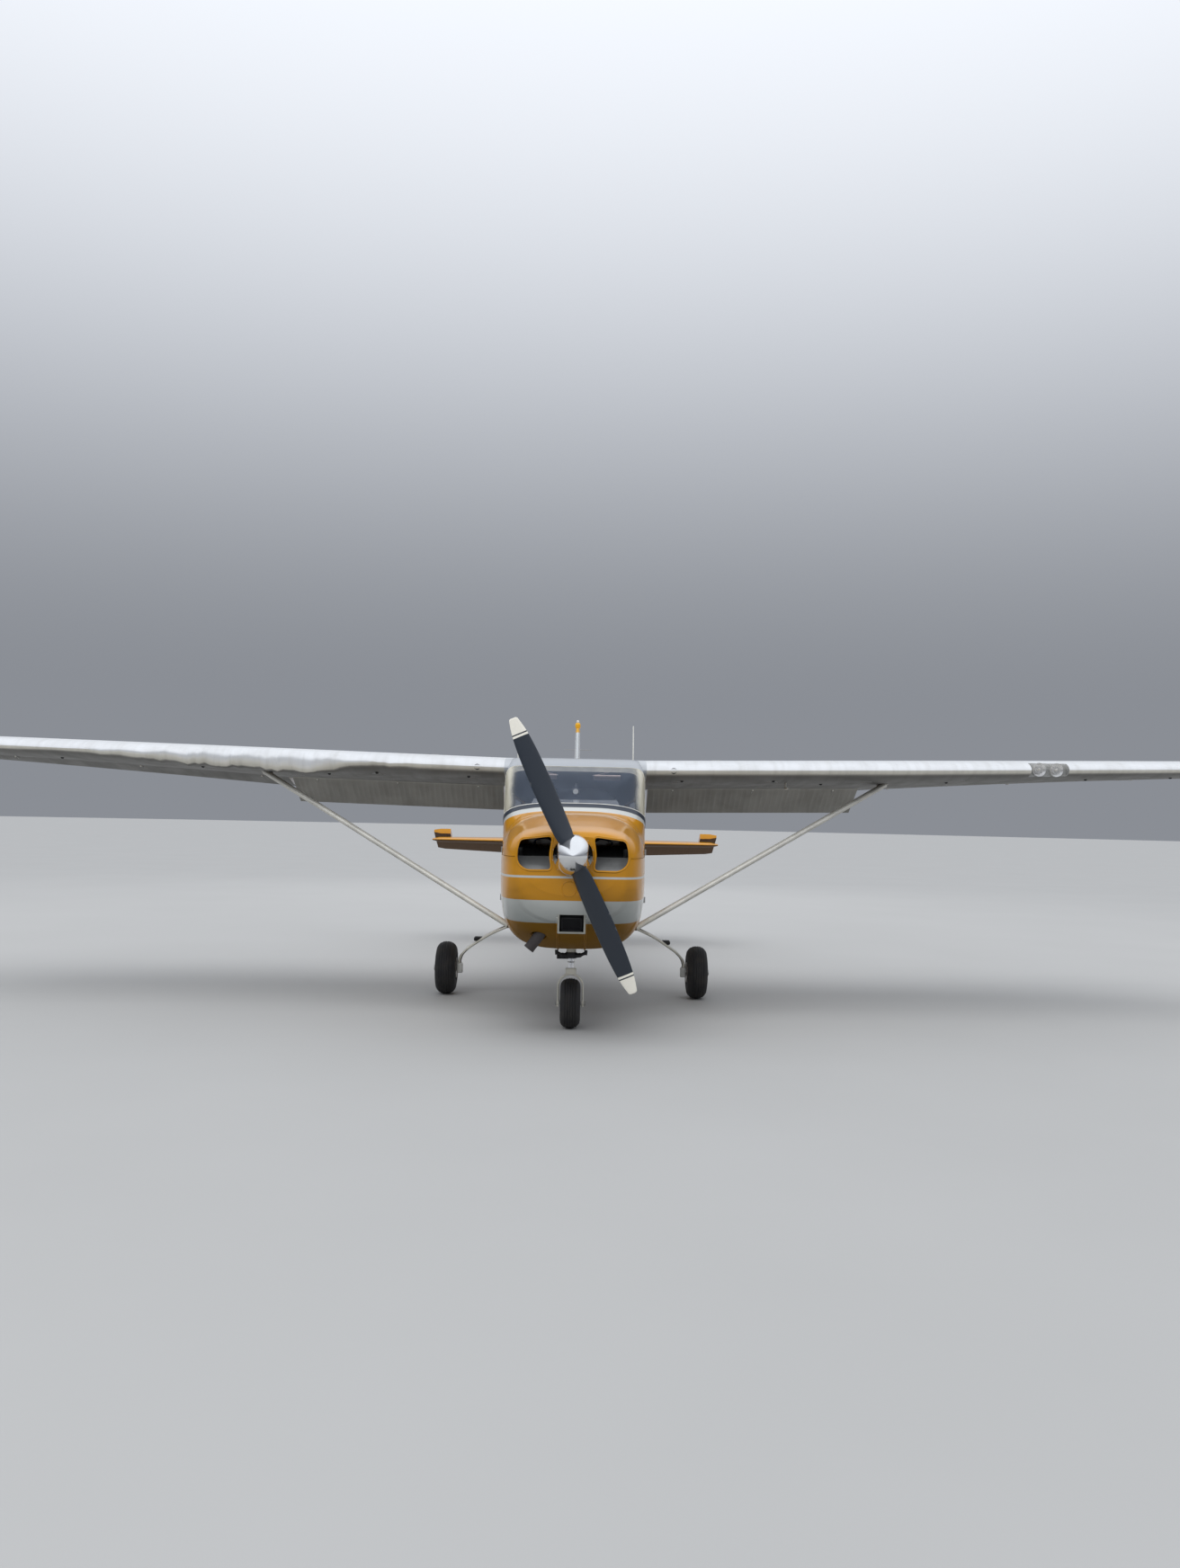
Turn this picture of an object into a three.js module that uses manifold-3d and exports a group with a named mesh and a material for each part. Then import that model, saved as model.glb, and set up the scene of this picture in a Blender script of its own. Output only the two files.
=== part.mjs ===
// A four-seat light aircraft: strut-braced high wing, one piston engine, fixed nosewheel gear.
// Millimetres, Z up, nose towards -Y, the aircraft's left towards +X, standing level on its tyres.
// Stations run aft from the firewall, and the last line shifts them so that Y is 0 at mid length.
import * as THREE from "three";
import { mergeVertices } from "three/addons/utils/BufferGeometryUtils.js";
import Module from "manifold-3d";

const wasm = await Module();
wasm.setup();

// Gaps between pieces
const seat = 0.3;
const boreFit = 0.6;
const clearance = 6;

// Stations of the main pieces, aft of the firewall
const spinnerTip = -1200;
const propStation = -1020;
const cowlFront = -925;
const aftCabinStart = 2345;
const tailConeStart = 3300;
const tailConeEnd = 6360;
const rudderEnd = 7000;

// Heights above the ground
const propHeight = 1280;
const cowlSplit = 1205;
const floorHeight = 710;

// Wheels
const mainWheel = { out: 1070, station: 1480, radius: 222.5, halfWidth: 85, rim: 80, bore: 19 };
const noseWheel = { out: 0, station: -170, radius: 180.5, halfWidth: 73, rim: 64, bore: 12 };
const wheelSides = 40;
const rimSides = 24;

// Fuselage and cowl sections. round is the exponent of the superellipse: 2 is an ellipse, 8 a box.
const bodyColumns = ["station", "half", "top", "bottom", "widest", "roundTop", "roundBottom"];
const cowlRows = [
  [-925, 330, 1405, 1010, 1240, 2.6, 2.4],
  [-900, 395, 1432, 930, 1230, 2.8, 2.6],
  [-820, 448, 1455, 800, 1210, 3.0, 2.8],
  [-640, 488, 1492, 675, 1180, 3.1, 3.1],
  [-300, 517, 1552, 588, 1155, 3.2, 3.4],
  [0, 527, 1610, 575, 1150, 3.2, 3.6],
];
const cabinRows = [
  [0, 527, 1610, 575, 1150, 3.2, 3.6],
  [180, 538, 1738, 577, 1180, 3.6, 4.2],
  [380, 545.5, 1872, 579, 1210, 6, 5],
  [600, 551, 1968, 581, 1240, 9, 5],
  [800, 555, 2006, 583, 1260, 10, 5],
  [1250, 555, 2012, 586, 1260, 9, 5],
  [1800, 545, 1968, 600, 1240, 7, 4.6],
  [2300, 505, 1868, 640, 1230, 4.4, 4],
  [2800, 435, 1748, 712, 1220, 3.2, 3.4],
  [3300, 352, 1640, 790, 1210, 2.6, 2.8],
];
const tailRows = [
  [3300, 352, 1640, 790, 1210, 2.6, 2.8],
  [4300, 232, 1522, 893, 1195, 2.3, 2.4],
  [5400, 126, 1398, 972, 1170, 2.1, 2.1],
  [6360, 44, 1292, 990, 1140, 2.1, 2.1],
];
const ringPoints = 28;
const cabinWallAt = (station) => 40 - 26 * Math.max(0, (station - 2300) / 1000);
const cabinFloorAt = (station) => 62 - 48 * Math.max(0, (station - 2300) / 1000);
const tailWall = 12;
const cowlWall = 16;

// Wing sections: chord line nose-up by pitch degrees to the ground
const wingColumns = ["out", "leading", "height", "chord", "pitch", "thick"];
const wingRows = [
  [565, 610, 1914, 1626, 4.4, 0.12],
  [2550, 610, 1957, 1626, 4.4, 0.12],
  [5330, 784, 2030, 1135, 1.5, 0.12],
  [5440, 800, 2034, 1090, 1.5, 0.095],
  [5485, 860, 2030, 960, 1.5, 0.045],
];
const wingCamber = 0.02;

// Dents in the right wing's leading edge: how far its nose is pushed back and its underside sags
const dentColumns = ["out", "push", "sag"];
const dentRows = [
  [1250, 0, 0],
  [1420, 10, -8],
  [1660, 6, -4],
  [1830, 16, 6],
  [2010, 48, 40],
  [2210, 62, 48],
  [2440, 44, 42],
  [2620, 40, 28],
  [2870, 52, 34],
  [3090, 36, 26],
  [3440, 18, 12],
  [3800, 8, 0],
  [4160, 0, -6],
  [4500, 0, 0],
];
const dentReach = 0.17;
const undented = { push: 0, sag: 0 };

// Tailplane sections, both sides, and the vertical tail by height
const tailplaneRows = [
  [0, 5560, 1228, 1200, 0.8, 0.08],
  [1640, 5795, 1226, 780, 0.8, 0.08],
  [1720, 5850, 1226, 690, 0.8, 0.045],
];
const finColumns = ["height", "leading", "trailing", "thick"];
const finRows = [
  [1010, 5350, 6800, 0.055],
  [1400, 5470, 6852, 0.06],
  [2560, 6215, 6994, 0.075],
  [2630, 6275, 7000, 0.06],
];

// Control surfaces: where the hinge line lies along the chord, and the travel in degrees
const flap = { from: 640, to: 2500, hinge: 0.72, down: 40, up: 0, rest: 28 };
const aileron = { from: 2560, to: 5180, hinge: 0.79, down: 15, up: 20, restLeft: 0, restRight: 12 };
const elevator = { hinge: 6270, height: 1213, inner: 95, down: 23, up: 28, rest: 23 };
const rudder = { lower: [1012, 6420], upper: [2556, 6690], swing: 22 };
const hingePin = 8;
const torqueTube = 20;

// Outlines seen from the side, as station and height, anticlockwise with +Y to the right
const doorOutline = [[460, 780], [1290, 780], [1385, 1240], [1340, 1778], [640, 1778], [460, 1440]];
const doorWindow = [[530, 1270], [1312, 1270], [1280, 1718], [690, 1718], [530, 1420]];
const rearWindow = [[1440, 1270], [2180, 1345], [2300, 1500], [2235, 1660], [1415, 1718]];
const windscreenOutline = [[-60, 1647], [350, 1475], [545, 1880], [600, 1950], [600, 2300], [-60, 2300]];
const rearGlassOutline = [[2440, 1630], [3150, 1600], [3150, 2300], [2440, 2300]];
const baggageOutline = [[2430, 1000], [2850, 1030], [2850, 1400], [2430, 1420]];
const glassDepth = [3, 11];

// Propeller
const propLean = 24.9;
const hubRadius = 68;
const bladeColumns = ["radius", "chord", "thick", "angle"];
const bladeRows = [
  [60, 96, 62, 52],
  [170, 118, 40, 44],
  [420, 152, 24, 30],
  [700, 142, 15, 21],
  [860, 116, 11, 18],
  [940, 86, 8, 16.5],
  [995, 58, 6, 16],
];

const paint = {
  amber: { color: 0xd98a12, roughness: 0.3, metalness: 0.1 },
  silver: { color: 0xc9cccd, roughness: 0.38, metalness: 0.7 },
  white: { color: 0xe4e4df, roughness: 0.4, metalness: 0.1 },
  black: { color: 0x1b1d1f, roughness: 0.55, metalness: 0.2 },
  chrome: { color: 0xd6d8da, roughness: 0.12, metalness: 1 },
  steel: { color: 0x8b8d8e, roughness: 0.45, metalness: 0.9 },
  tyre: { color: 0x1c1c1d, roughness: 0.85, metalness: 0 },
  glass: { color: 0x6f7f88, roughness: 0.05, metalness: 0, transparent: true, opacity: 0.35 },
  trim: { color: 0x3a3d42, roughness: 0.8, metalness: 0 },
  cloth: { color: 0x7b6a55, roughness: 0.9, metalness: 0 },
  rust: { color: 0x6a5a50, roughness: 0.75, metalness: 0.5 },
};

// Rows of a table as objects with the column names as keys
const named = (columns, rows) =>
  rows.map((row) => Object.fromEntries(columns.map((name, i) => [name, row[i]])));

// Value of every column at a place between two rows
function rowAt(rows, key, place) {
  let i = rows.findIndex((row) => row[key] >= place);
  if (i < 0) i = rows.length - 1;
  if (i === 0) i = 1;
  const [low, high] = [rows[i - 1], rows[i]];
  const t = (place - low[key]) / (high[key] - low[key]);
  const out = {};
  for (const name of Object.keys(low)) out[name] = low[name] + (high[name] - low[name]) * t;
  return out;
}

const cowlSections = named(bodyColumns, cowlRows);
const cabinSections = named(bodyColumns, cabinRows);
const tailSections = named(bodyColumns, tailRows);
const wingSections = named(wingColumns, wingRows);
const dents = named(dentColumns, dentRows);
const halfTailplane = named(wingColumns, tailplaneRows);
const finSections = named(finColumns, finRows);
const bladeSections = named(bladeColumns, bladeRows);

// Closed triangles as a solid, turned outwards if they face in
function solidFrom(vertices, triangles) {
  const build = (order) =>
    new wasm.Manifold(
      new wasm.Mesh({
        numProp: 3,
        vertProperties: new Float32Array(vertices),
        triVerts: new Uint32Array(order),
      }),
    );
  const made = build(triangles);
  if (made.volume() > 0) return made;
  const turned = [];
  for (let i = 0; i < triangles.length; i += 3)
    turned.push(triangles[i], triangles[i + 2], triangles[i + 1]);
  return build(turned);
}

// A three.js geometry as a solid
function solidOf(geometry) {
  const bare = geometry.index ? geometry.clone() : mergeVertices(geometry.clone());
  bare.deleteAttribute("normal");
  bare.deleteAttribute("uv");
  const merged = mergeVertices(bare, 1e-4);
  return solidFrom(Array.from(merged.attributes.position.array), Array.from(merged.index.array));
}

// A solid as a three.js geometry
function geometryOf(solid) {
  const mesh = solid.getMesh();
  const geometry = new THREE.BufferGeometry();
  const corners = new Float32Array(mesh.numVert * 3);
  for (let i = 0; i < mesh.numVert; i++)
    corners.set(mesh.vertProperties.subarray(i * mesh.numProp, i * mesh.numProp + 3), i * 3);
  geometry.setAttribute("position", new THREE.BufferAttribute(corners, 3));
  geometry.setIndex(new THREE.BufferAttribute(new Uint32Array(mesh.triVerts), 1));
  geometry.computeVertexNormals();
  return geometry;
}

// The same solid on the other side of the aircraft
const mirrored = (solid) => solidOf(geometryOf(solid).scale(-1, 1, 1));

const joined = (...solids) => solids.reduce((all, next) => all.add(next));

// Rings with equal counts of points, skinned and closed at both ends. A quad is split the other
// way where crossed says so, which keeps a symmetrical body symmetrical in its facets too.
function loft(rings, crossed = () => false) {
  const count = rings[0].length;
  const vertices = rings.flat(2);
  const triangles = [];
  for (let r = 0; r < rings.length - 1; r++)
    for (let i = 0; i < count; i++) {
      const a = r * count + i;
      const b = r * count + ((i + 1) % count);
      if (crossed(i)) triangles.push(a, b, a + count, b, b + count, a + count);
      else triangles.push(a, b, b + count, a, b + count, a + count);
    }
  for (const [ring, flip] of [[0, true], [rings.length - 1, false]]) {
    const middle = vertices.length / 3;
    for (let axis = 0; axis < 3; axis++)
      vertices.push(rings[ring].reduce((sum, p) => sum + p[axis], 0) / count);
    for (let i = 0; i < count; i++) {
      const a = ring * count + i;
      const b = ring * count + ((i + 1) % count);
      triangles.push(...(flip ? [b, a, middle] : [a, b, middle]));
    }
  }
  return solidFrom(vertices, triangles);
}

function box(x, y, z) {
  const size = [x[1] - x[0], y[1] - y[0], z[1] - z[0]];
  const shape = new THREE.BoxGeometry(...size);
  return solidOf(shape.translate((x[0] + x[1]) / 2, (y[0] + y[1]) / 2, (z[0] + z[1]) / 2));
}

// A round bar or cone between two points
function bar(from, to, radius, endRadius = radius, sides = 16) {
  const start = new THREE.Vector3(...from);
  const along = new THREE.Vector3(...to).sub(start);
  const shape = new THREE.CylinderGeometry(endRadius, radius, along.length(), sides);
  shape.translate(0, along.length() / 2, 0);
  const up = new THREE.Vector3(0, 1, 0);
  shape.applyQuaternion(new THREE.Quaternion().setFromUnitVectors(up, along.clone().normalize()));
  return solidOf(shape.translate(...from));
}

// A profile of radius and offset pairs turned about the line through a point along X
function turnedAboutX(profile, centre, sides) {
  const closed = [...profile, profile[0]].map(([radius, offset]) => new THREE.Vector2(radius, offset));
  const shape = new THREE.LatheGeometry(closed, sides);
  return solidOf(shape.rotateZ(-Math.PI / 2).translate(...centre));
}

// A profile of radius and station pairs turned about the propeller's axis
function turnedAboutShaft(profile, sides) {
  const shape = new THREE.LatheGeometry(profile.map((p) => new THREE.Vector2(...p)), sides);
  return solidOf(shape.translate(0, 0, propHeight));
}

// One section of the fuselage, drawn in by inset on the sides and top and by floor below
function bodyRing(section, inset, floor) {
  const ring = [];
  const power = (value, round) => Math.sign(value) * Math.abs(value) ** (2 / round);
  for (let i = 0; i < ringPoints; i++) {
    const angle = (2 * Math.PI * i) / ringPoints;
    const [c, s] = [Math.cos(angle), Math.sin(angle)];
    const round = s >= 0 ? section.roundTop : section.roundBottom;
    const rise = s >= 0 ? section.top - inset - section.widest : section.widest - section.bottom - floor;
    ring.push([
      (section.half - inset) * power(c, round),
      section.station,
      section.widest + rise * power(s, round),
    ]);
  }
  return ring;
}

// Fuselage body between two stations; inset and floor may change with the station
function bodyLoft(sections, from, to, inset = () => 0, floor = inset) {
  const inside = sections.filter((s) => s.station > from + 1 && s.station < to - 1);
  const all = [rowAt(sections, "station", from), ...inside, rowAt(sections, "station", to)];
  const rightHalf = (i) => i >= ringPoints / 4 && i < (3 * ringPoints) / 4;
  return loft(all.map((row) => bodyRing(row, inset(row.station), floor(row.station))), rightHalf);
}

// An outline moved outwards by a distance, or inwards if it is negative
function offsetOutline(points, distance) {
  const count = points.length;
  return points.map((point, i) => {
    const before = points[(i + count - 1) % count];
    const after = points[(i + 1) % count];
    const first = new THREE.Vector2(point[0] - before[0], point[1] - before[1]).normalize();
    const second = new THREE.Vector2(after[0] - point[0], after[1] - point[1]).normalize();
    const out = new THREE.Vector2(first.y + second.y, -first.x - second.x).normalize();
    const reach = distance / (out.x * first.y - out.y * first.x);
    return [point[0] + out.x * reach, point[1] + out.y * reach];
  });
}

// An outline with rounded corners
function roundedShape(points, radius) {
  const shape = new THREE.Shape();
  points.forEach((point, i) => {
    const here = new THREE.Vector2(...point);
    const towards = (other) => {
      const way = new THREE.Vector2(...other).sub(here);
      return here.clone().addScaledVector(way.normalize(), radius);
    };
    const start = towards(points[(i + points.length - 1) % points.length]);
    const end = towards(points[(i + 1) % points.length]);
    if (i === 0) shape.moveTo(start.x, start.y);
    else shape.lineTo(start.x, start.y);
    shape.quadraticCurveTo(here.x, here.y, end.x, end.y);
  });
  shape.closePath();
  return shape;
}

// A side outline cut through the aircraft from one X to another
function sidePrism(points, radius, x, grow = 0) {
  const outline = offsetOutline(points, grow);
  const shape = radius ? roundedShape(outline, radius + grow) : new THREE.Shape(
    outline.map((p) => new THREE.Vector2(...p)));
  const prism = new THREE.ExtrudeGeometry(shape, { depth: x[1] - x[0], bevelEnabled: false, curveSegments: 2 });
  prism.applyMatrix4(new THREE.Matrix4().makeBasis(
    new THREE.Vector3(0, 1, 0), new THREE.Vector3(0, 0, 1), new THREE.Vector3(1, 0, 0)));
  return solidOf(prism.translate(x[0], 0, 0));
}

// Half thickness and mean line of a four-digit aerofoil, as shares of the chord
function aerofoil(share, thick, camber) {
  const root = Math.sqrt(share);
  const half = 5 * thick * (0.2969 * root - 0.126 * share - 0.3516 * share ** 2
    + 0.2843 * share ** 3 - 0.1015 * share ** 4);
  const crest = 0.4;
  const line = share < crest
    ? (camber / crest ** 2) * (2 * crest * share - share ** 2)
    : (camber / (1 - crest) ** 2) * (1 - 2 * crest + 2 * crest * share - share ** 2);
  return { half, line };
}

// Place of a chord share on the mean line of a section, and the half thickness there
function onChord(section, share, camber) {
  const { half, line } = aerofoil(share, section.thick, camber);
  const pitch = THREE.MathUtils.degToRad(section.pitch);
  const along = share * section.chord;
  const up = line * section.chord;
  return {
    point: [
      section.out,
      section.leading + along * Math.cos(pitch) + up * Math.sin(pitch),
      section.height - along * Math.sin(pitch) + up * Math.cos(pitch),
    ],
    half: half * section.chord,
  };
}

// Ring of a lifting surface's section: back along the top from the nose, forward along the bottom
const chordSteps = 11;
function aerofoilRing(section, camber, dent = undented) {
  const ring = [];
  const pitch = THREE.MathUtils.degToRad(section.pitch);
  const place = (share, side) => {
    const { half, line } = aerofoil(share, section.thick, camber);
    const near = Math.max(0, 1 - share / dentReach);
    const sag = side < 0 ? dent.sag * Math.sin(Math.PI * Math.sqrt(1 - near)) : 0;
    const along = share * section.chord + dent.push * near ** 3;
    const up = (line + side * half) * section.chord - sag;
    return [
      section.out,
      section.leading + along * Math.cos(pitch) + up * Math.sin(pitch),
      section.height - along * Math.sin(pitch) + up * Math.cos(pitch),
    ];
  };
  for (let i = 0; i <= chordSteps; i++) ring.push(place((1 - Math.cos((Math.PI * i) / chordSteps)) / 2, 1));
  for (let i = chordSteps; i >= 1; i--) ring.push(place((1 - Math.cos((Math.PI * i) / chordSteps)) / 2, -1));
  return ring;
}

// A hinge line with nose radii at its ends
const along = (a, b, t) => a.map((value, i) => value + (b[i] - value) * t);
function hingeLine(from, to) {
  const length = Math.hypot(...from.point.map((v, i) => to.point[i] - v));
  const at = (distance) => along(from.point, to.point, distance / length);
  const radiusAt = (distance) => from.half + (to.half - from.half) * (distance / length);
  return { at, radiusAt, length, axis: at(1).map((v, i) => v - from.point[i]) };
}

// Round nose about a hinge line, longer by extra at both ends and fatter by grow
const nose = (hinge, extra, grow) =>
  bar(hinge.at(-extra), hinge.at(hinge.length + extra), hinge.radiusAt(-extra) + grow,
    hinge.radiusAt(hinge.length + extra) + grow, 24);

// Space behind a hinge line on one side of the surface or both; back is how far it starts ahead
function behind(hinge, extra, normal, sides, back) {
  const reach = 900;
  const deep = 260;
  const ring = (distance) => {
    const centre = hinge.at(distance);
    const ahead = back * hinge.radiusAt(distance) + (back ? clearance : 0);
    const low = sides.includes(-1) ? -deep : 0;
    const high = sides.includes(1) ? deep : 0;
    const corner = (y, n) => centre.map((v, i) => v + (i === 1 ? y : 0) + normal[i] * n);
    return [corner(-ahead, low), corner(reach, low), corner(reach, high), corner(-ahead, high)];
  };
  return loft([ring(-extra), ring(hinge.length + extra)]);
}

const sine = (degrees) => Math.sin(THREE.MathUtils.degToRad(degrees));

// Splits a surface at a hinge line into the fixed part and the part that moves
function hinged(surface, hinge, normal, travel) {
  const moving = joined(
    surface.intersect(behind(hinge, 0, normal, [-1, 1], 0)),
    surface.intersect(nose(hinge, 0, 0)),
    bar(hinge.at(seat - clearance), hinge.at(hinge.length + clearance - seat), hingePin),
  );
  const fixed = surface
    .subtract(nose(hinge, clearance, clearance))
    .subtract(behind(hinge, clearance, normal, [1], sine(travel.up)))
    .subtract(behind(hinge, clearance, normal, [-1], sine(travel.down)));
  return { moving, fixed };
}

const aircraft = new THREE.Group();

function addMesh(name, solid, finish, parent = aircraft) {
  const mesh = new THREE.Mesh(geometryOf(solid), new THREE.MeshStandardMaterial(paint[finish]));
  mesh.name = name;
  parent.add(mesh);
  return mesh;
}

// Adds a piece turned about its hinge by an angle in degrees
function addTurned(name, solid, finish, point, axis, degrees) {
  const pivot = new THREE.Group();
  pivot.position.set(...point);
  pivot.quaternion.setFromAxisAngle(new THREE.Vector3(...axis).normalize(), THREE.MathUtils.degToRad(degrees));
  aircraft.add(pivot);
  addMesh(name, solid, finish, pivot).position.set(...point.map((v) => -v));
}

const flipped = ([x, y, z]) => [-x, y, z];

// Fuselage shell with its openings
const wide = [-800, 800];
const leftSide = [200, 800];
const rightSide = [-800, -200];
const cabinOuter = bodyLoft(cabinSections, 0, tailConeStart);
const aboveFloor = box([-700, 700], [0, tailConeStart + 2], [floorHeight, 2300]);
const cabinInner = bodyLoft(cabinSections, 25, tailConeStart + 1, cabinWallAt, cabinFloorAt)
  .intersect(aboveFloor);
const cabinWall = cabinOuter.subtract(cabinInner);
const centreSection = { ...wingSections[0], out: 0 };
const wingRoot = loft([-1, 1].map((side) =>
  aerofoilRing({ ...centreSection, out: side * (wingRows[0][0] - seat) }, wingCamber)));
const glassLayer = bodyLoft(cabinSections, -1, tailConeStart + 1, () => glassDepth[0])
  .subtract(bodyLoft(cabinSections, -2, tailConeStart + 2, () => glassDepth[1]));

const openings = {
  door: { outline: doorOutline, radius: 60, sides: [leftSide, rightSide], gap: clearance },
  rearWindow: { outline: rearWindow, radius: 55, sides: [leftSide, rightSide], gap: 0 },
  windscreen: { outline: windscreenOutline, radius: 0, sides: [wide], gap: 0 },
  rearGlass: { outline: rearGlassOutline, radius: 40, sides: [wide], gap: 0 },
  baggage: { outline: baggageOutline, radius: 40, sides: [leftSide], gap: clearance },
};
let cabinShell = cabinOuter.add(wingRoot).subtract(cabinInner);
for (const { outline, radius, sides, gap } of Object.values(openings))
  for (const x of sides) cabinShell = cabinShell.subtract(sidePrism(outline, radius, x, gap));

// Knuckles of a door hinge on an upright axis: the door's below, the frame's above
const knuckle = { radius: 9, height: 46, reach: 36 };
function doorHinge(axisX, axisY, heights, skinX) {
  const make = (low, way) => joined(
    bar([axisX, axisY, low], [axisX, axisY, low + knuckle.height], knuckle.radius),
    box([skinX - 14, axisX + 3], way > 0 ? [axisY + 1, axisY + knuckle.reach] : [axisY - knuckle.reach, axisY - 1],
      [low, low + knuckle.height]),
  );
  return {
    leaf: heights.map((z) => make(z, 1)).reduce((a, b) => a.add(b)),
    frame: heights.map((z) => make(z + knuckle.height + seat, -1)).reduce((a, b) => a.add(b)),
  };
}
const doorAxis = [556, 457];
const baggageAxis = [498, 2427];
const doorHinges = doorHinge(...doorAxis, [900, 1270], 545);
const baggageHinges = doorHinge(...baggageAxis, [1060, 1300], 484);
cabinShell = joined(cabinShell, doorHinges.frame, mirrored(doorHinges.frame), baggageHinges.frame);

// The shell in three pieces: the belly pan up to the floor, the cabin above it, and the cabin's tail
const shellPiece = (stations, heights) => cabinShell.intersect(box([-700, 700], stations, heights));
const bellyPan = shellPiece([-10, aftCabinStart], [500, floorHeight - seat]);
const cabinUpper = shellPiece([-10, aftCabinStart], [floorHeight, 2300]);
const aftCabin = shellPiece([aftCabinStart + seat, tailConeStart + 10], [500, 2300]);

// Doors with their windows cut, and every pane
const pane = (outline, radius, x) => glassLayer.intersect(sidePrism(outline, radius, x, -seat));
const doorPanel = cabinWall
  .intersect(sidePrism(doorOutline, 60, leftSide))
  .subtract(sidePrism(doorWindow, 55, leftSide))
  .add(doorHinges.leaf);
const baggagePanel = cabinWall.intersect(sidePrism(baggageOutline, 40, leftSide)).add(baggageHinges.leaf);
const doorPane = pane(doorWindow, 55, leftSide);
const sidePane = pane(rearWindow, 55, leftSide);

// Landing gear legs: flat springs, each with its axle, step and brake housing
const legColumns = ["out", "height", "station", "width", "thick"];
const legRows = [
  [400, 640, 1400, 150, 26],
  [550, 592, 1405, 146, 25],
  [700, 520, 1425, 128, 24],
  [820, 430, 1448, 112, 23],
  [907, 330, 1468, 100, 22],
  [953, 250, 1478, 92, 22],
  [965, 195, 1480, 84, 22],
];
function legSolid() {
  const rows = named(legColumns, legRows);
  const rings = rows.map((row, i) => {
    const before = rows[Math.max(i - 1, 0)];
    const after = rows[Math.min(i + 1, rows.length - 1)];
    const run = new THREE.Vector2(after.out - before.out, after.height - before.height).normalize();
    const corner = (w, t) => [
      row.out - run.y * t * row.thick * 0.5,
      row.station + w * row.width * 0.5,
      row.height + run.x * t * row.thick * 0.5,
    ];
    return [corner(-1, -0.5), corner(-0.9, -1), corner(0.9, -1), corner(1, -0.5),
      corner(1, 0.5), corner(0.9, 1), corner(-0.9, 1), corner(-1, 0.5)];
  });
  const { out, station, radius, bore, halfWidth } = mainWheel;
  const wheelEnd = out + halfWidth + 14;
  return joined(
    loft(rings),
    bar([950, station, radius], [wheelEnd, station, radius], bore),
    bar([wheelEnd - 8, station, radius], [wheelEnd + 6, station, radius], 27, 27, 6),
    box([775, 870], [1395, 1500], [449, 461]),
    box([947, 967], [1500, 1575], [205, 262]),
    box([953, 971], [1545, 1580], [180, 290]),
  );
}
const skinGap = () => -0.35;
const bodyGrown = bodyLoft(cabinSections, -1, tailConeStart + 1, skinGap);
const mainLeg = legSolid().subtract(bodyGrown);

// Wheels: a tyre and a rim whose flanges hold it
function wheel({ out, station, radius, halfWidth, rim, bore }, disc) {
  const centre = [out, station, radius];
  const tread = [
    [rim + seat, 0.76], [rim + 0.3 * (radius - rim), 0.97], [rim + 0.6 * (radius - rim), 1],
    [rim + 0.86 * (radius - rim), 0.8], [rim + 0.97 * (radius - rim), 0.42],
  ].map(([r, share]) => [r, share * halfWidth]);
  const profile = [...tread, [radius, 0.12 * halfWidth]];
  const otherSide = [...profile].reverse().map(([r, x]) => [r, -x]);
  const tyre = turnedAboutX([...profile, ...otherSide], centre, wheelSides);
  const face = 0.76 * halfWidth;
  const hubFace = face + 4;
  const dish = 0.3 * halfWidth;
  const lip = rim - 8;
  const rimProfile = [
    [bore + boreFit, hubFace], [bore + 18, hubFace], [bore + 20, dish], [lip, dish], [lip, face], [rim, face],
    [rim, -face], [lip, -face], [lip, -dish], [bore + 20, -dish], [bore + 18, -hubFace], [bore + boreFit, -hubFace],
  ];
  let hub = turnedAboutX(rimProfile, centre, rimSides);
  if (disc) {
    const discProfile = [[bore + boreFit, -halfWidth - 2], [bore + boreFit, -hubFace + 1], [44, -hubFace + 1],
      [44, -halfWidth + 4], [86, -halfWidth + 4], [86, -halfWidth - 2]];
    hub = hub.add(turnedAboutX(discProfile, centre, rimSides));
  }
  return { tyre, hub };
}
const mainSet = wheel(mainWheel, true);
const noseSet = wheel(noseWheel, false);

// Nose gear about a steering axis that passes through the wheel's axle
const steerTop = [0, -120, 900];
const steerFoot = [0, noseWheel.station, noseWheel.radius];
const steerTilt = Math.atan2(steerTop[1] - steerFoot[1], steerTop[2] - steerFoot[2]);
function tilted(solid) {
  const shape = geometryOf(solid).translate(...steerFoot.map((v) => -v));
  return solidOf(shape.rotateX(-steerTilt).translate(...steerFoot));
}
const onSteer = (height) => [0, noseWheel.station, height];
const strutFoot = 548;
const piston = 23.5;
const noseStrut = tilted(
  joined(
    bar(onSteer(strutFoot), onSteer(900), 36, 36, 24),
    box([-30, 30], [noseWheel.station, noseWheel.station + 190], [700, 740]),
    box([-30, 30], [noseWheel.station, noseWheel.station + 190], [830, 870]),
  ).subtract(bar(onSteer(strutFoot - 1), onSteer(700), piston + seat, piston + seat, 24)),
).subtract(box([-200, 200], [-seat, 300], [500, 1000]));

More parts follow.
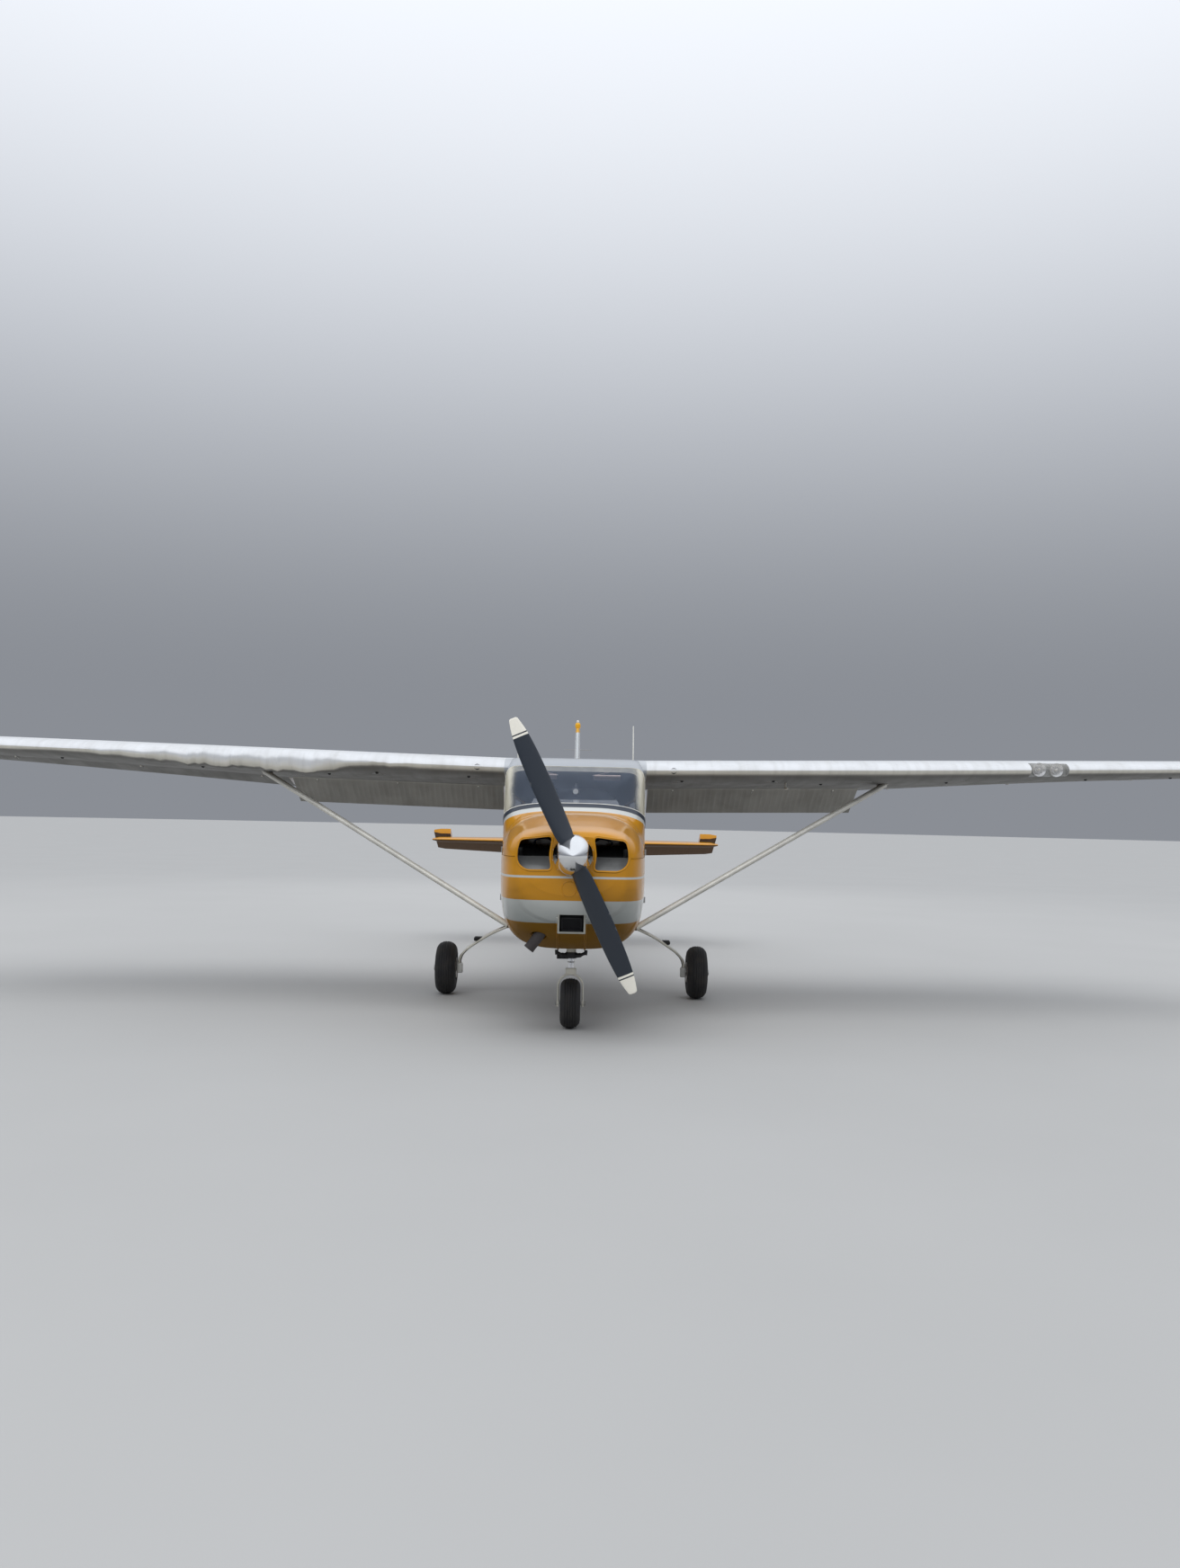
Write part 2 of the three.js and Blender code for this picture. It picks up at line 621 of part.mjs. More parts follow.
function forkSolid() {
  const [inner, outer] = [83, 97];
  const centre = 300;
  const foot = noseWheel.radius - 26;
  const arch = new THREE.Shape();
  arch.moveTo(outer, foot);
  arch.lineTo(outer, centre);
  arch.absarc(0, centre, outer, 0, Math.PI, false);
  arch.lineTo(-outer, foot);
  arch.lineTo(-inner, foot);
  arch.lineTo(-inner, centre);
  arch.absarc(0, centre, inner, Math.PI, 0, true);
  arch.lineTo(inner, foot);
  arch.closePath();
  const depth = 54;
  const shape = new THREE.ExtrudeGeometry(arch, { depth, bevelEnabled: false, curveSegments: 14 });
  shape.rotateX(Math.PI / 2).translate(0, noseWheel.station + depth / 2, 0);
  const axle = (x) => bar([-x, noseWheel.station, noseWheel.radius], [x, noseWheel.station, noseWheel.radius], 12);
  return joined(
    solidOf(shape),
    axle(outer + 14),
    bar(onSteer(centre + inner + 6), onSteer(446), 40, 38, 24),
    bar(onSteer(440), onSteer(692), piston, piston, 24),
  );
}
const noseFork = tilted(forkSolid());

// Cowl: a shell split at the height of the propeller shaft, with its intakes and outlets
const cowlEnd = -seat;
const cowlOuter = bodyLoft(cowlSections, cowlFront, cowlEnd);
const cowlInner = bodyLoft(cowlSections, cowlFront + 22, cowlEnd + 1, () => cowlWall);
function frontPrism(points, radius, y) {
  const shape = roundedShape(points, radius);
  const prism = new THREE.ExtrudeGeometry(shape, { depth: y[1] - y[0], bevelEnabled: false, curveSegments: 2 });
  return solidOf(prism.rotateX(Math.PI / 2).translate(0, y[1], 0));
}
const intake = [[140, 1185], [330, 1192], [376, 1262], [360, 1378], [140, 1400]];
const intakeCut = frontPrism(intake, 36, [-1000, -780]);
const shaftHole = bar([0, -1000, propHeight], [0, -800, propHeight], 62, 62, 24);
const airBox = { half: 95, low: 748, high: 888, frame: 14, front: -872, back: -640 };
const airBoxShape = box([-airBox.half, airBox.half], [airBox.front, airBox.back], [airBox.low, airBox.high]);
const airBoxHole = box(
  [-airBox.half + airBox.frame, airBox.half - airBox.frame], [airBox.front - 1, airBox.back - 14],
  [airBox.low + airBox.frame, airBox.high - airBox.frame]);
const cowlShell = cowlOuter
  .subtract(cowlInner)
  .subtract(intakeCut)
  .subtract(mirrored(intakeCut))
  .subtract(shaftHole);
const strutHole = tilted(bar(onSteer(480), onSteer(760), 62, 62, 24));
const exhaustHole = bar([-150, -650, 850], [-262, -700, 650], 54, 54, 24);
const coolingOutlet = box([-190, 190], [-90, 50], [500, 640]);
const above = box([-900, 900], [-1200, 100], [cowlSplit + seat / 2, 2000]);
const below = box([-900, 900], [-1200, 100], [300, cowlSplit - seat / 2]);
const cowlTop = cowlShell.intersect(above);
const cowlBottom = cowlShell
  .intersect(below)
  .add(airBoxShape.intersect(below))
  .subtract(airBoxHole)
  .subtract(strutHole)
  .subtract(exhaustHole)
  .subtract(coolingOutlet);

// Engine: crankcase, two banks of cylinders, shaft and mount legs, as one plain block
const engineBack = -200;
const shaftEnd = -952;
const engine = joined(
  box([-170, 170], [-760, engineBack], [1060, 1380]),
  box([-400, 400], [-740, -260], [1150, 1340]),
  box([-150, 150], [-640, -260], [960, 1070]),
  bar([0, -740, propHeight], [0, shaftEnd, propHeight], 45, 45, 24),
  ...[[-150, 1080], [150, 1080], [-150, 1350], [150, 1350]].map(([x, z]) =>
    bar([x, engineBack - 20, z], [x * 1.5, 10, z + (z > 1200 ? 50 : -80)], 16, 16, 12)),
).subtract(box([-500, 500], [-seat, 100], [800, 1600]));

// Exhaust pipe from the engine's underside to its open end
const exhaustPath = new THREE.CatmullRomCurve3([
  new THREE.Vector3(-115, -560, 965),
  new THREE.Vector3(-140, -615, 870),
  new THREE.Vector3(-185, -675, 775),
  new THREE.Vector3(-238, -690, 694),
  new THREE.Vector3(-292, -695, 622),
]);
const pipeRound = new THREE.Shape().absarc(0, 0, 38, 0, 2 * Math.PI);
const exhaustTube = solidOf(new THREE.ExtrudeGeometry(pipeRound, {
  extrudePath: exhaustPath, steps: 9, bevelEnabled: false, curveSegments: 5,
}));
const exhaust = exhaustTube
  .subtract(bar([-256, -692, 670], [-316, -696, 590], 34))
  .subtract(box([-400, 0], [-700, -200], [960 - seat, 1100]));

// Propeller and spinner
const hubFront = propStation - 52;
const hubSides = 24;
function bladeRing(section, side) {
  const twist = THREE.MathUtils.degToRad(section.angle) * side;
  const lean = THREE.MathUtils.degToRad(propLean);
  const points = [];
  const count = 14;
  for (let i = 0; i < count; i++) {
    const angle = (2 * Math.PI * i) / count;
    const across = (section.chord / 2) * Math.cos(angle);
    const deep = (section.thick / 2) * Math.sin(angle) * (Math.sin(angle) > 0 ? 0.55 : 1.45);
    const x = across * Math.cos(twist) - deep * Math.sin(twist);
    const y = across * Math.sin(twist) + deep * Math.cos(twist);
    const z = section.radius * side;
    points.push([
      x * Math.cos(lean) - z * Math.sin(lean),
      propStation + y,
      propHeight + x * Math.sin(lean) + z * Math.cos(lean),
    ]);
  }
  return points;
}
function propellerSolid() {
  const blades = [1, -1].map((side) =>
    loft([{ ...bladeSections[0], radius: 0 }, ...bladeSections].map((section) => bladeRing(section, side))));
  return joined(...blades, bar([0, shaftEnd - seat, propHeight], [0, hubFront, propHeight],
    hubRadius, hubRadius, hubSides));
}
const propeller = propellerSolid();
const spinnerBack = cowlFront - clearance - 4;
const spinnerProfile = [
  [0, spinnerTip], [18, spinnerTip + 4], [48, spinnerTip + 30], [82, spinnerTip + 78],
  [112, spinnerTip + 140], [132, spinnerTip + 205], [140, spinnerBack - 8], [140, spinnerBack], [0, spinnerBack],
];
const slotMargin = 5;
const bladeSlots = [1, -1].map((side) =>
  loft([0, 60, 118, 170].map((radius) => {
    const section = rowAt(bladeSections, "radius", Math.max(radius, 60));
    const wider = { ...section, radius, chord: section.chord + 2 * slotMargin, thick: section.thick + 3 * slotMargin };
    return bladeRing(wider, side);
  })));
const spinner = turnedAboutShaft(spinnerProfile, 24)
  .subtract(bladeSlots[0])
  .subtract(bladeSlots[1])
  .subtract(bar([0, shaftEnd - 1, propHeight], [0, spinnerBack + 1, propHeight], 45 + clearance, 45 + clearance, 24))
  .subtract(bar([0, spinnerBack + 1, propHeight], [0, hubFront - seat, propHeight],
    hubRadius + seat, hubRadius + seat, hubSides));

// Wings with flap and aileron split off
const wingFull = loft(wingSections.map((section) => aerofoilRing(section, wingCamber)));
const wingHinge = (surface) => {
  const end = (out) => onChord(rowAt(wingSections, "out", out), surface.hinge, wingCamber);
  return hingeLine(end(surface.from), end(surface.to));
};
const flapHinge = wingHinge(flap);
const aileronHinge = wingHinge(aileron);
const upward = [0, 0, 1];
const flapSplit = hinged(wingFull, flapHinge, upward, flap);
const aileronSplit = hinged(flapSplit.fixed, aileronHinge, upward, aileron);
const wingFixed = aileronSplit.fixed;

// The right wing's fixed part, with its dents
const dentAt = (out) =>
  out > dents[0].out && out < dents.at(-1).out ? rowAt(dents, "out", out) : undented;
const dentedOuts = [...wingSections, ...dents].map((row) => row.out).sort((a, b) => a - b);
const wingDented = loft(dentedOuts.map((out) =>
  aerofoilRing(rowAt(wingSections, "out", out), wingCamber, dentAt(out))));
const wingFixedRight = mirrored(hinged(hinged(wingDented, flapHinge, upward, flap).fixed,
  aileronHinge, upward, aileron).fixed);

// Wing struts, trimmed at the fuselage and under the wing
const strutFrom = [480, 385, 684];
const strutTo = [2580, 1058, 1866];
function strutSolid() {
  const direction = new THREE.Vector3(...strutTo).sub(new THREE.Vector3(...strutFrom)).normalize();
  const fore = new THREE.Vector3(0, 1, 0).addScaledVector(direction, -direction.y).normalize();
  const up = new THREE.Vector3().crossVectors(direction, fore);
  const section = [[-58, 0], [-46, 17], [-18, 23], [20, 18], [58, 4], [62, 0], [58, -4], [20, -18], [-18, -23], [-46, -17]];
  const ring = (t) => section.map(([f, u]) => {
    const centre = new THREE.Vector3(...along(strutFrom, strutTo, t));
    return centre.addScaledVector(fore, f).addScaledVector(up, u).toArray();
  });
  return loft([-0.02, 1].map(ring));
}
const wingLowered = solidOf(geometryOf(wingFixed).translate(0, 0, -0.4));
const strut = strutSolid().subtract(bodyGrown).subtract(wingLowered).subtract(wingFixed);

// Tailplane, elevator, fin and rudder
const bothSides = [...halfTailplane.slice(1)].reverse().map((s) => ({ ...s, out: -s.out })).concat(halfTailplane);
const tailplane = loft(bothSides.map((section) => aerofoilRing(section, 0)));
const tailEnd = (out) => ({
  point: [out, elevator.hinge, elevator.height],
  half: onChord(rowAt(halfTailplane, "out", Math.abs(out)), 0.6, 0).half - 1,
});
const elevatorHinge = hingeLine(tailEnd(elevator.inner), tailEnd(1640));
const hornStart = 1513;
const hornReach = 262;
const aroundHinge = (from, radius) =>
  bar([from, elevator.hinge, elevator.height], [1800, elevator.hinge, elevator.height], radius, radius, 72);
const elevatorHalf = joined(
  tailplane.intersect(behind(elevatorHinge, 0, upward, [-1, 1], 0)),
  tailplane.intersect(nose(elevatorHinge, 0, 0)),
  tailplane.intersect(box([hornStart + clearance, 1800], [elevator.hinge - 1, 7200], [1000, 1400])),
  tailplane.intersect(aroundHinge(hornStart + clearance, hornReach)),
).subtract(loft([1000, 1400].map((z) => [[0, 6150, z], [98, 6290, z], [205, 6800, z], [0, 6800, z]])));
const elevatorSolid = joined(
  elevatorHalf,
  mirrored(elevatorHalf),
  bar([-140, elevator.hinge, elevator.height], [140, elevator.hinge, elevator.height], torqueTube, torqueTube, 20),
);
const stabilizerHalfCut = joined(
  nose(elevatorHinge, 200, clearance),
  behind(elevatorHinge, 200, upward, [1], sine(elevator.up + 8)),
  behind(elevatorHinge, 200, upward, [-1], sine(elevator.down)),
);

// Hollow of a tail surface ahead of its hinge line, five corners a section, open at its ends
const surfaceWall = 9;
function surfaceHollow(section, hinge, across) {
  const thickness = (station) =>
    aerofoil((station - section.leading) / section.chord, section.thick, 0).half * section.chord - surfaceWall;
  const front = section.leading + 0.2 * section.chord;
  const back = hinge - 85;
  return [
    [section.leading + 70, 0], [front, thickness(front)], [back, thickness(back)],
    [back, -thickness(back)], [front, -thickness(front)],
  ].map(([station, off]) => across(station, off));
}
const stabilizerHollow = loft([-1, 0, 1].map((side) => {
  const out = side * (hornStart + 2);
  const section = rowAt(halfTailplane, "out", Math.abs(out));
  const tilt = Math.tan(THREE.MathUtils.degToRad(section.pitch));
  return surfaceHollow(section, elevator.hinge, (station, off) =>
    [out, station, section.height - (station - section.leading) * tilt + off]);
}));
const hornBay = aroundHinge(hornStart, hornReach + clearance)
  .add(box([hornStart, 1800], [elevator.hinge, 7200], [1000, 1500]));
const stabilizer = tailplane
  .subtract(hornBay)
  .subtract(mirrored(hornBay))
  .subtract(stabilizerHollow)
  .subtract(stabilizerHalfCut)
  .subtract(mirrored(stabilizerHalfCut));

const finRing = (section) => {
  const flat = { out: 0, leading: section.leading, height: 0, chord: section.trailing - section.leading,
    pitch: 0, thick: section.thick };
  return aerofoilRing(flat, 0).map(([, y, x]) => [x, y, section.height]);
};
const verticalTail = loft(finSections.map(finRing));
const rudderEndAt = ([height, station], share) => {
  const section = rowAt(finSections, "height", height);
  return { point: [0, station, height],
    half: aerofoil(share, section.thick, 0).half * (section.trailing - section.leading) - 1 };
};
const rudderHinge = hingeLine(rudderEndAt(rudder.lower, 0.74), rudderEndAt(rudder.upper, 0.62));
const sideways = [1, 0, 0];
const rudderSplit = hinged(verticalTail, rudderHinge, sideways, { up: rudder.swing, down: rudder.swing });
const tailOuter = bodyLoft(tailSections, tailConeStart + seat, tailConeEnd);
const tailGrown = bodyLoft(tailSections, tailConeStart, tailConeEnd + 1, skinGap);
const finHollow = loft([1100, 1400, 2480].map((height) => {
  const section = rowAt(finSections, "height", height);
  const chord = section.trailing - section.leading;
  return surfaceHollow({ ...section, chord }, rudderHinge.at(height - rudder.lower[0])[1], (station, off) =>
    [off, station, height]);
}));
const beacon = { station: 6480, radius: 38, top: 2745 };
const fin = rudderSplit.fixed
  .intersect(box([-200, 200], [4000, 7200], [1240, 2700]))
  .subtract(tailGrown)
  .subtract(finHollow)
  .subtract(box([-200, 200], [tailConeEnd - 20, 7200], [900, 1300]))
  .add(bar([0, beacon.station, 2600], [0, beacon.station, beacon.top], beacon.radius, beacon.radius * 0.7, 20));
const slotSteps = [[0, 0], [0.4, 0.4], [0.4, -0.4], [-0.4, 0.4], [-0.4, -0.4]];
const stabilizerGrown = slotSteps
  .map(([y, z]) => solidOf(geometryOf(stabilizer).translate(0, y, z)))
  .reduce((all, next) => all.add(next))
  .add(stabilizerHollow.intersect(box([-300, 300], [5000, 7000], [1000, 1400])));
const rudderLug = { half: 18, from: 6300, to: 6448, low: 980, high: rudder.lower[0] - clearance - 1.3 };
const tailCone = tailOuter
  .subtract(bodyLoft(tailSections, tailConeStart - 1, 6190, () => tailWall))
  .subtract(stabilizerGrown)
  .subtract(bar([-200, elevator.hinge, elevator.height], [200, elevator.hinge, elevator.height],
    torqueTube + boreFit, torqueTube + boreFit, 20))
  .add(box([-rudderLug.half, rudderLug.half], [rudderLug.from, rudderLug.to], [rudderLug.low, rudderLug.high]));

// Cabin fittings: each seat is a narrow base under a cushion and back seen from the side
const seatSide = [[1000, 860], [1420, 860], [1500, 1000], [1640, 1440], [1580, 1465], [1455, 1120], [1400, 1010], [985, 1000]];
const benchSide = [[1850, 860], [2230, 860], [2330, 1000], [2430, 1400], [2375, 1415], [2260, 1100], [2210, 1010], [1835, 1000]];
const seatOut = 262;
const cabinFit = bodyLoft(cabinSections, 25, tailConeStart, (y) => cabinWallAt(y) + 0.4, (y) => cabinFloorAt(y) + 0.4)
  .intersect(aboveFloor);
const seatSolid = (outline, x, base) =>
  sidePrism(outline, 24, x).add(box(base[0], base[1], [floorHeight - 10, 880])).intersect(cabinFit);
const frontSeat = seatSolid(seatSide, [seatOut - 212, seatOut + 212], [[seatOut - 130, seatOut + 130], [1040, 1380]]);
const rearSeat = seatSolid(benchSide, [-438, 438], [[-330, 330], [1890, 2200]]);
const panelBack = 400;
const yoke = (x) => joined(
  bar([x, panelBack - 20, 1240], [x, 560, 1250], 11, 11, 12),
  box([x - 120, x + 120], [552, 574], [1236, 1262]),
  box([x - 128, x - 104], [552, 574], [1240, 1350]),
  box([x + 104, x + 128], [552, 574], [1240, 1350]),
);
const instrumentPanel = joined(
  box([-600, 600], [330, panelBack], [1070, 1480]),
  box([-600, 600], [60, 345], [1452, 1482]),
).intersect(cabinFit).add(yoke(-262)).add(yoke(262));

// Pitot tube under the left wing
const pitot = joined(
  box([1711, 1725], [900, 946], [1795, 1900]),
  bar([1718, 930, 1800], [1718, 790, 1800], 9, 8, 12),
).subtract(wingLowered).subtract(wingFixed);

// Assembly
addMesh("cabin_shell", cabinUpper, "amber");
addMesh("cabin_floor", bellyPan, "amber");
addMesh("aft_cabin", aftCabin, "amber");
addMesh("tail_cone", tailCone, "amber");
addMesh("cowl_top", cowlTop, "amber");
addMesh("cowl_bottom", cowlBottom, "amber");
addMesh("engine", engine, "steel");
addMesh("exhaust_pipe", exhaust, "rust");
addMesh("windscreen", pane(windscreenOutline, 0, wide), "glass");
addMesh("rear_glass", pane(rearGlassOutline, 40, wide), "glass");
addMesh("instrument_panel", instrumentPanel, "trim");
addMesh("rear_seat", rearSeat, "cloth");
addMesh("stabilizer", stabilizer, "amber");
addMesh("fin", fin, "white");
addMesh("propeller", propeller, "black");
addMesh("spinner", spinner, "chrome");
addMesh("nose_strut", noseStrut, "steel");
addMesh("nose_fork", noseFork, "white");
addMesh("nose_tyre", noseSet.tyre, "tyre");
addMesh("nose_rim", noseSet.hub, "silver");
addMesh("pitot_tube", pitot, "silver");
addMesh("baggage_door", baggagePanel, "amber");
addMesh("rudder", rudderSplit.moving, "white");
addTurned("elevator", elevatorSolid, "amber", elevatorHinge.at(0), [1, 0, 0], -elevator.rest);

const pairs = {
  wing_strut: [strut, "silver"],
  door: [doorPanel, "amber"],
  door_glass: [doorPane, "glass"],
  side_glass: [sidePane, "glass"],
  main_leg: [mainLeg, "steel"],
  main_tyre: [mainSet.tyre, "tyre"],
  main_rim: [mainSet.hub, "silver"],
  front_seat: [frontSeat, "cloth"],
};
for (const [name, [solid, finish]] of Object.entries(pairs)) {
  addMesh(name + "_left", solid, finish);
  addMesh(name + "_right", mirrored(solid), finish);
}
addMesh("wing_left", wingFixed, "silver");
addMesh("wing_right", wingFixedRight, "silver");
const surfaces = {
  flap: [flapSplit.moving, flapHinge, flap.rest, flap.rest],
  aileron: [aileronSplit.moving, aileronHinge, aileron.restLeft, aileron.restRight],
};
for (const [name, [solid, hinge, left, right]] of Object.entries(surfaces)) {
  addTurned(name + "_left", solid, "silver", hinge.at(0), hinge.axis, -left);
  addTurned(name + "_right", mirrored(solid), "silver", flipped(hinge.at(0)),
    flipped(hinge.axis).map((v) => -v), -right);
}

aircraft.position.y = -(spinnerTip + rudderEnd) / 2;

export default aircraft;
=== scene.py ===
# %% [markdown]
# A four-seat light aircraft, dressed for its portrait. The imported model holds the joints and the
# plain solids. This lesson builds the visible aircraft around them, in metres, in the same frame:
# nose towards -Y, the aircraft's left towards +X, standing on Z = 0.

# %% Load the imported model
import math

import bmesh
import bpy
import numpy as np
from mathutils import Matrix, Vector


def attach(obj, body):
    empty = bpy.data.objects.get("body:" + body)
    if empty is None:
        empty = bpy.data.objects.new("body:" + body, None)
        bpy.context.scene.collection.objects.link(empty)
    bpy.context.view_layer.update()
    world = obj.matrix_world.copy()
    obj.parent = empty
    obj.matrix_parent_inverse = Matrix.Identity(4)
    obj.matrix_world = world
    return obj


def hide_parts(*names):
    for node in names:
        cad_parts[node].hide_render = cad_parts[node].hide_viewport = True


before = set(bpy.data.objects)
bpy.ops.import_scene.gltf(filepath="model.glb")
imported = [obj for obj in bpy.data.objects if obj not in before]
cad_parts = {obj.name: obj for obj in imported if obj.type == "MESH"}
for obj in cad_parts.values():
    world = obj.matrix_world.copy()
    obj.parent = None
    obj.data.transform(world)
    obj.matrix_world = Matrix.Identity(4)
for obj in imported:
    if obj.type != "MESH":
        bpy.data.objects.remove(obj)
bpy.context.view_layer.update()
FIREWALL = -2.9


def at(x, station, height):
    """A point of the shared frame, given by its station: metres behind the firewall."""
    return x, station + FIREWALL, height


# %% [markdown]
# The camera stands ten metres ahead of the spinner at eye height, where the photograph was taken.
# Its place, tilt and roll come from a fit to the wheels, propeller tips, struts, roof and tail.

# %% Camera
FOCAL_PIXELS = 1410
PHOTO_HEIGHT = 1744
SENSOR = 36.0
camera_place = Vector((0.031, -12.329, 1.543))
pitch, yaw, roll = (math.radians(a) for a in (1.451, 0.492, 1.220))
forward = Vector((math.sin(yaw) * math.cos(pitch), math.cos(yaw) * math.cos(pitch), math.sin(pitch)))
level = Vector((math.cos(yaw), -math.sin(yaw), 0))
upright = level.cross(forward)
right = math.cos(roll) * level + math.sin(roll) * upright
top = math.cos(roll) * upright - math.sin(roll) * level
camera = bpy.data.objects.new("camera", bpy.data.cameras.new("camera"))
camera.data.sensor_fit = "VERTICAL"
camera.data.sensor_height = SENSOR
camera.data.lens = FOCAL_PIXELS / PHOTO_HEIGHT * SENSOR
camera.data.clip_end = 500
camera.matrix_world = Matrix.Translation(camera_place) @ Matrix((right, top, -forward)).transposed().to_4x4()
bpy.context.scene.collection.objects.link(camera)
bpy.context.scene.camera = camera
print("lens", round(camera.data.lens, 2))

# %% [markdown]
# Shader maths reads best as sums. This class wraps one output of a node, and each operator adds the
# Math node that it stands for. Any other node comes from the method node(), which sets the node's own
# settings first and then the values or links of its sockets.

# %% Shader sums
class Signal:
    """An output of a material's node that can stand in a sum."""

    def __init__(self, tree, socket):
        self.tree = tree
        self.socket = socket

    def node(self, kind, settings, inputs, output=0):
        made = self.tree.nodes.new(kind)
        for name, value in settings.items():
            if name == "stops":
                elements = made.color_ramp.elements
                while len(elements) < len(value):
                    elements.new(0.5)
                for element, (place, grey) in zip(elements, value):
                    element.position = place
                    element.color = (grey, grey, grey, 1)
            else:
                setattr(made, name, value)
        for key, value in inputs.items():
            if isinstance(value, Signal):
                self.tree.links.new(value.socket, made.inputs[key])
            else:
                made.inputs[key].default_value = value
        return Signal(self.tree, made.outputs[output])

    def maths(self, operation, *values):
        return self.node("ShaderNodeMath", {"operation": operation}, dict(enumerate(values)))

    def __add__(self, other): return self.maths("ADD", self, other)
    def __radd__(self, other): return self.maths("ADD", other, self)
    def __sub__(self, other): return self.maths("SUBTRACT", self, other)
    def __rsub__(self, other): return self.maths("SUBTRACT", other, self)
    def __mul__(self, other): return self.maths("MULTIPLY", self, other)
    def __rmul__(self, other): return self.maths("MULTIPLY", other, self)
    def __truediv__(self, other): return self.maths("DIVIDE", self, other)
    def __pow__(self, other): return self.maths("POWER", self, other)
    def __gt__(self, other): return self.maths("GREATER_THAN", self, other)
    def __lt__(self, other): return self.maths("LESS_THAN", self, other)
    def __abs__(self): return self.maths("ABSOLUTE", self)
    def most(self, other): return self.maths("MAXIMUM", self, other)
    def least(self, other): return self.maths("MINIMUM", self, other)
    def fract(self): return self.maths("FRACT", self)
    def sine(self): return self.maths("SINE", self)

    def axes(self):
        split = self.node("ShaderNodeSeparateXYZ", {}, {0: self})
        node = split.socket.node
        return [Signal(self.tree, node.outputs[i]) for i in range(3)]

    def times(self, stretch):
        return self.node("ShaderNodeVectorMath", {"operation": "MULTIPLY"}, {0: self, 1: stretch})

    def noise(self, scale, detail=3.0):
        return self.node("ShaderNodeTexNoise", {}, {"Vector": self, "Scale": scale, "Detail": detail})

    def rise(self, low, high):
        inputs = {"Value": self, "From Min": low, "From Max": high}
        return self.node("ShaderNodeMapRange", {"interpolation_type": "SMOOTHSTEP"}, inputs)

    def colours(self, low, high):
        pick = {0: self, 6: padded_colour(low), 7: padded_colour(high)}
        return self.node("ShaderNodeMix", {"data_type": "RGBA"}, pick, 2)

    def bump(self, depth, strength=1.0):
        return self.node("ShaderNodeBump", {}, {"Height": self, "Distance": depth, "Strength": strength})


def padded_colour(value):
    return value if isinstance(value, Signal) else (*value, 1)


def start_finish(name):
    """A new material and the place of the shaded point, in the object's own metres."""
    made = bpy.data.materials.new(name)
    made.use_nodes = True
    place = made.node_tree.nodes.new("ShaderNodeTexCoord").outputs["Object"]
    return made, Signal(made.node_tree, place)


def facing_down(place, low=0.0, high=0.8):
    """How far a surface faces the ground, by its own normal. Finishes use it to paint shade on undersides and, on the
    wing, a reflection of the ground.
    """
    normal = Signal(place.tree, place.socket.node.outputs["Normal"])
    return (normal.axes()[2] * -1).rise(low, high)


def set_finish(made, **sockets):
    """Links what changes over the surface, and sets what is the same all over it."""
    shader = made.node_tree.nodes["Principled BSDF"]
    for name, value in sockets.items():
        socket = shader.inputs[name.replace("_", " ").title().replace("Ior", "IOR")]
        if isinstance(value, Signal):
            made.node_tree.links.new(value.socket, socket)
        elif isinstance(value, tuple):
            socket.default_value = padded_colour(value)
        else:
            socket.default_value = value
    return made

# %% [markdown]
# The studio: a plain pale floor that runs to the horizon under a pale sky. One wide, soft sun stands
# nearly overhead, as on the photograph's overcast day, so tops are bright and undersides dark. Area
# lights add soft fill from the front, sides and back; no lamp shows in reflections.

# %% Floor and light
HORIZON = (0.255, 0.270, 0.300)
ZENITH = (1.00, 1.04, 1.11)


def add_light(kind, name, place, aim, strength, **settings):
    lamp = bpy.data.lights.new(name, kind)
    lamp.energy = strength
    for setting, value in settings.items():
        setattr(lamp, setting, value)
    light = bpy.data.objects.new(name, lamp)
    light.matrix_world = Matrix.Translation(place) @ (
        (Vector(place) - Vector(aim)).to_track_quat("Z", "Y").to_matrix().to_4x4())
    light.visible_glossy = False
    bpy.context.scene.collection.objects.link(light)


add_light("SUN", "sun", (-1.5, -4.5, 12), (0, 0, 0), 1.4, angle=math.radians(60))
for name, place, size, watts in (("front", (-5, -15, 8), (9, 5), 260), ("side_left", (14, 1, 7), (8, 4), 170),
                                 ("side_right", (-14, 2, 7), (8, 4), 170), ("behind", (0, 15, 8), (10, 5), 260)):
    add_light("AREA", name, place, (0, -1, 1.2), watts, shape="RECTANGLE", size=size[0], size_y=size[1])
world = bpy.data.worlds.new("studio")
bpy.context.scene.world = world
world.use_nodes = True
background = world.node_tree.nodes["Background"]
way = world.node_tree.nodes.new("ShaderNodeTexCoord").outputs["Generated"]
rise = Signal(world.node_tree, way).axes()[2].rise(0.08, 0.66)
world.node_tree.links.new(rise.colours(HORIZON, ZENITH).socket, background.inputs["Color"])
bpy.context.scene.view_settings.view_transform = "Standard"

bpy.ops.mesh.primitive_circle_add(vertices=96, radius=160, fill_type="NGON")
floor = bpy.context.object
floor.name = "floor"
floor_finish, place = start_finish("pale_floor")
floor.data.materials.append(set_finish(
    floor_finish, base_color=place.noise(0.6).colours((0.345, 0.345, 0.34), (0.37, 0.37, 0.365)), roughness=0.85))
print("lights", len(bpy.data.lights))

# %% [markdown]
# Nearly every outside surface of an aircraft is a skin stretched over frames, so nearly every piece
# here is a loft: rings of points, one per frame, joined by quads.

# %% Mesh helpers
def make(name, points, faces, *finishes):
    """A new object with outward faces and smooth shading that stays sharp at real corners."""
    mesh = bpy.data.meshes.new(name)
    mesh.from_pydata([tuple(p) for p in np.asarray(points, float).reshape(-1, 3)], [], faces)
    for finish in finishes:
        mesh.materials.append(finish)
    piece = bpy.data.objects.new(name, mesh)
    bpy.context.scene.collection.objects.link(piece)
    return smoothed(piece)


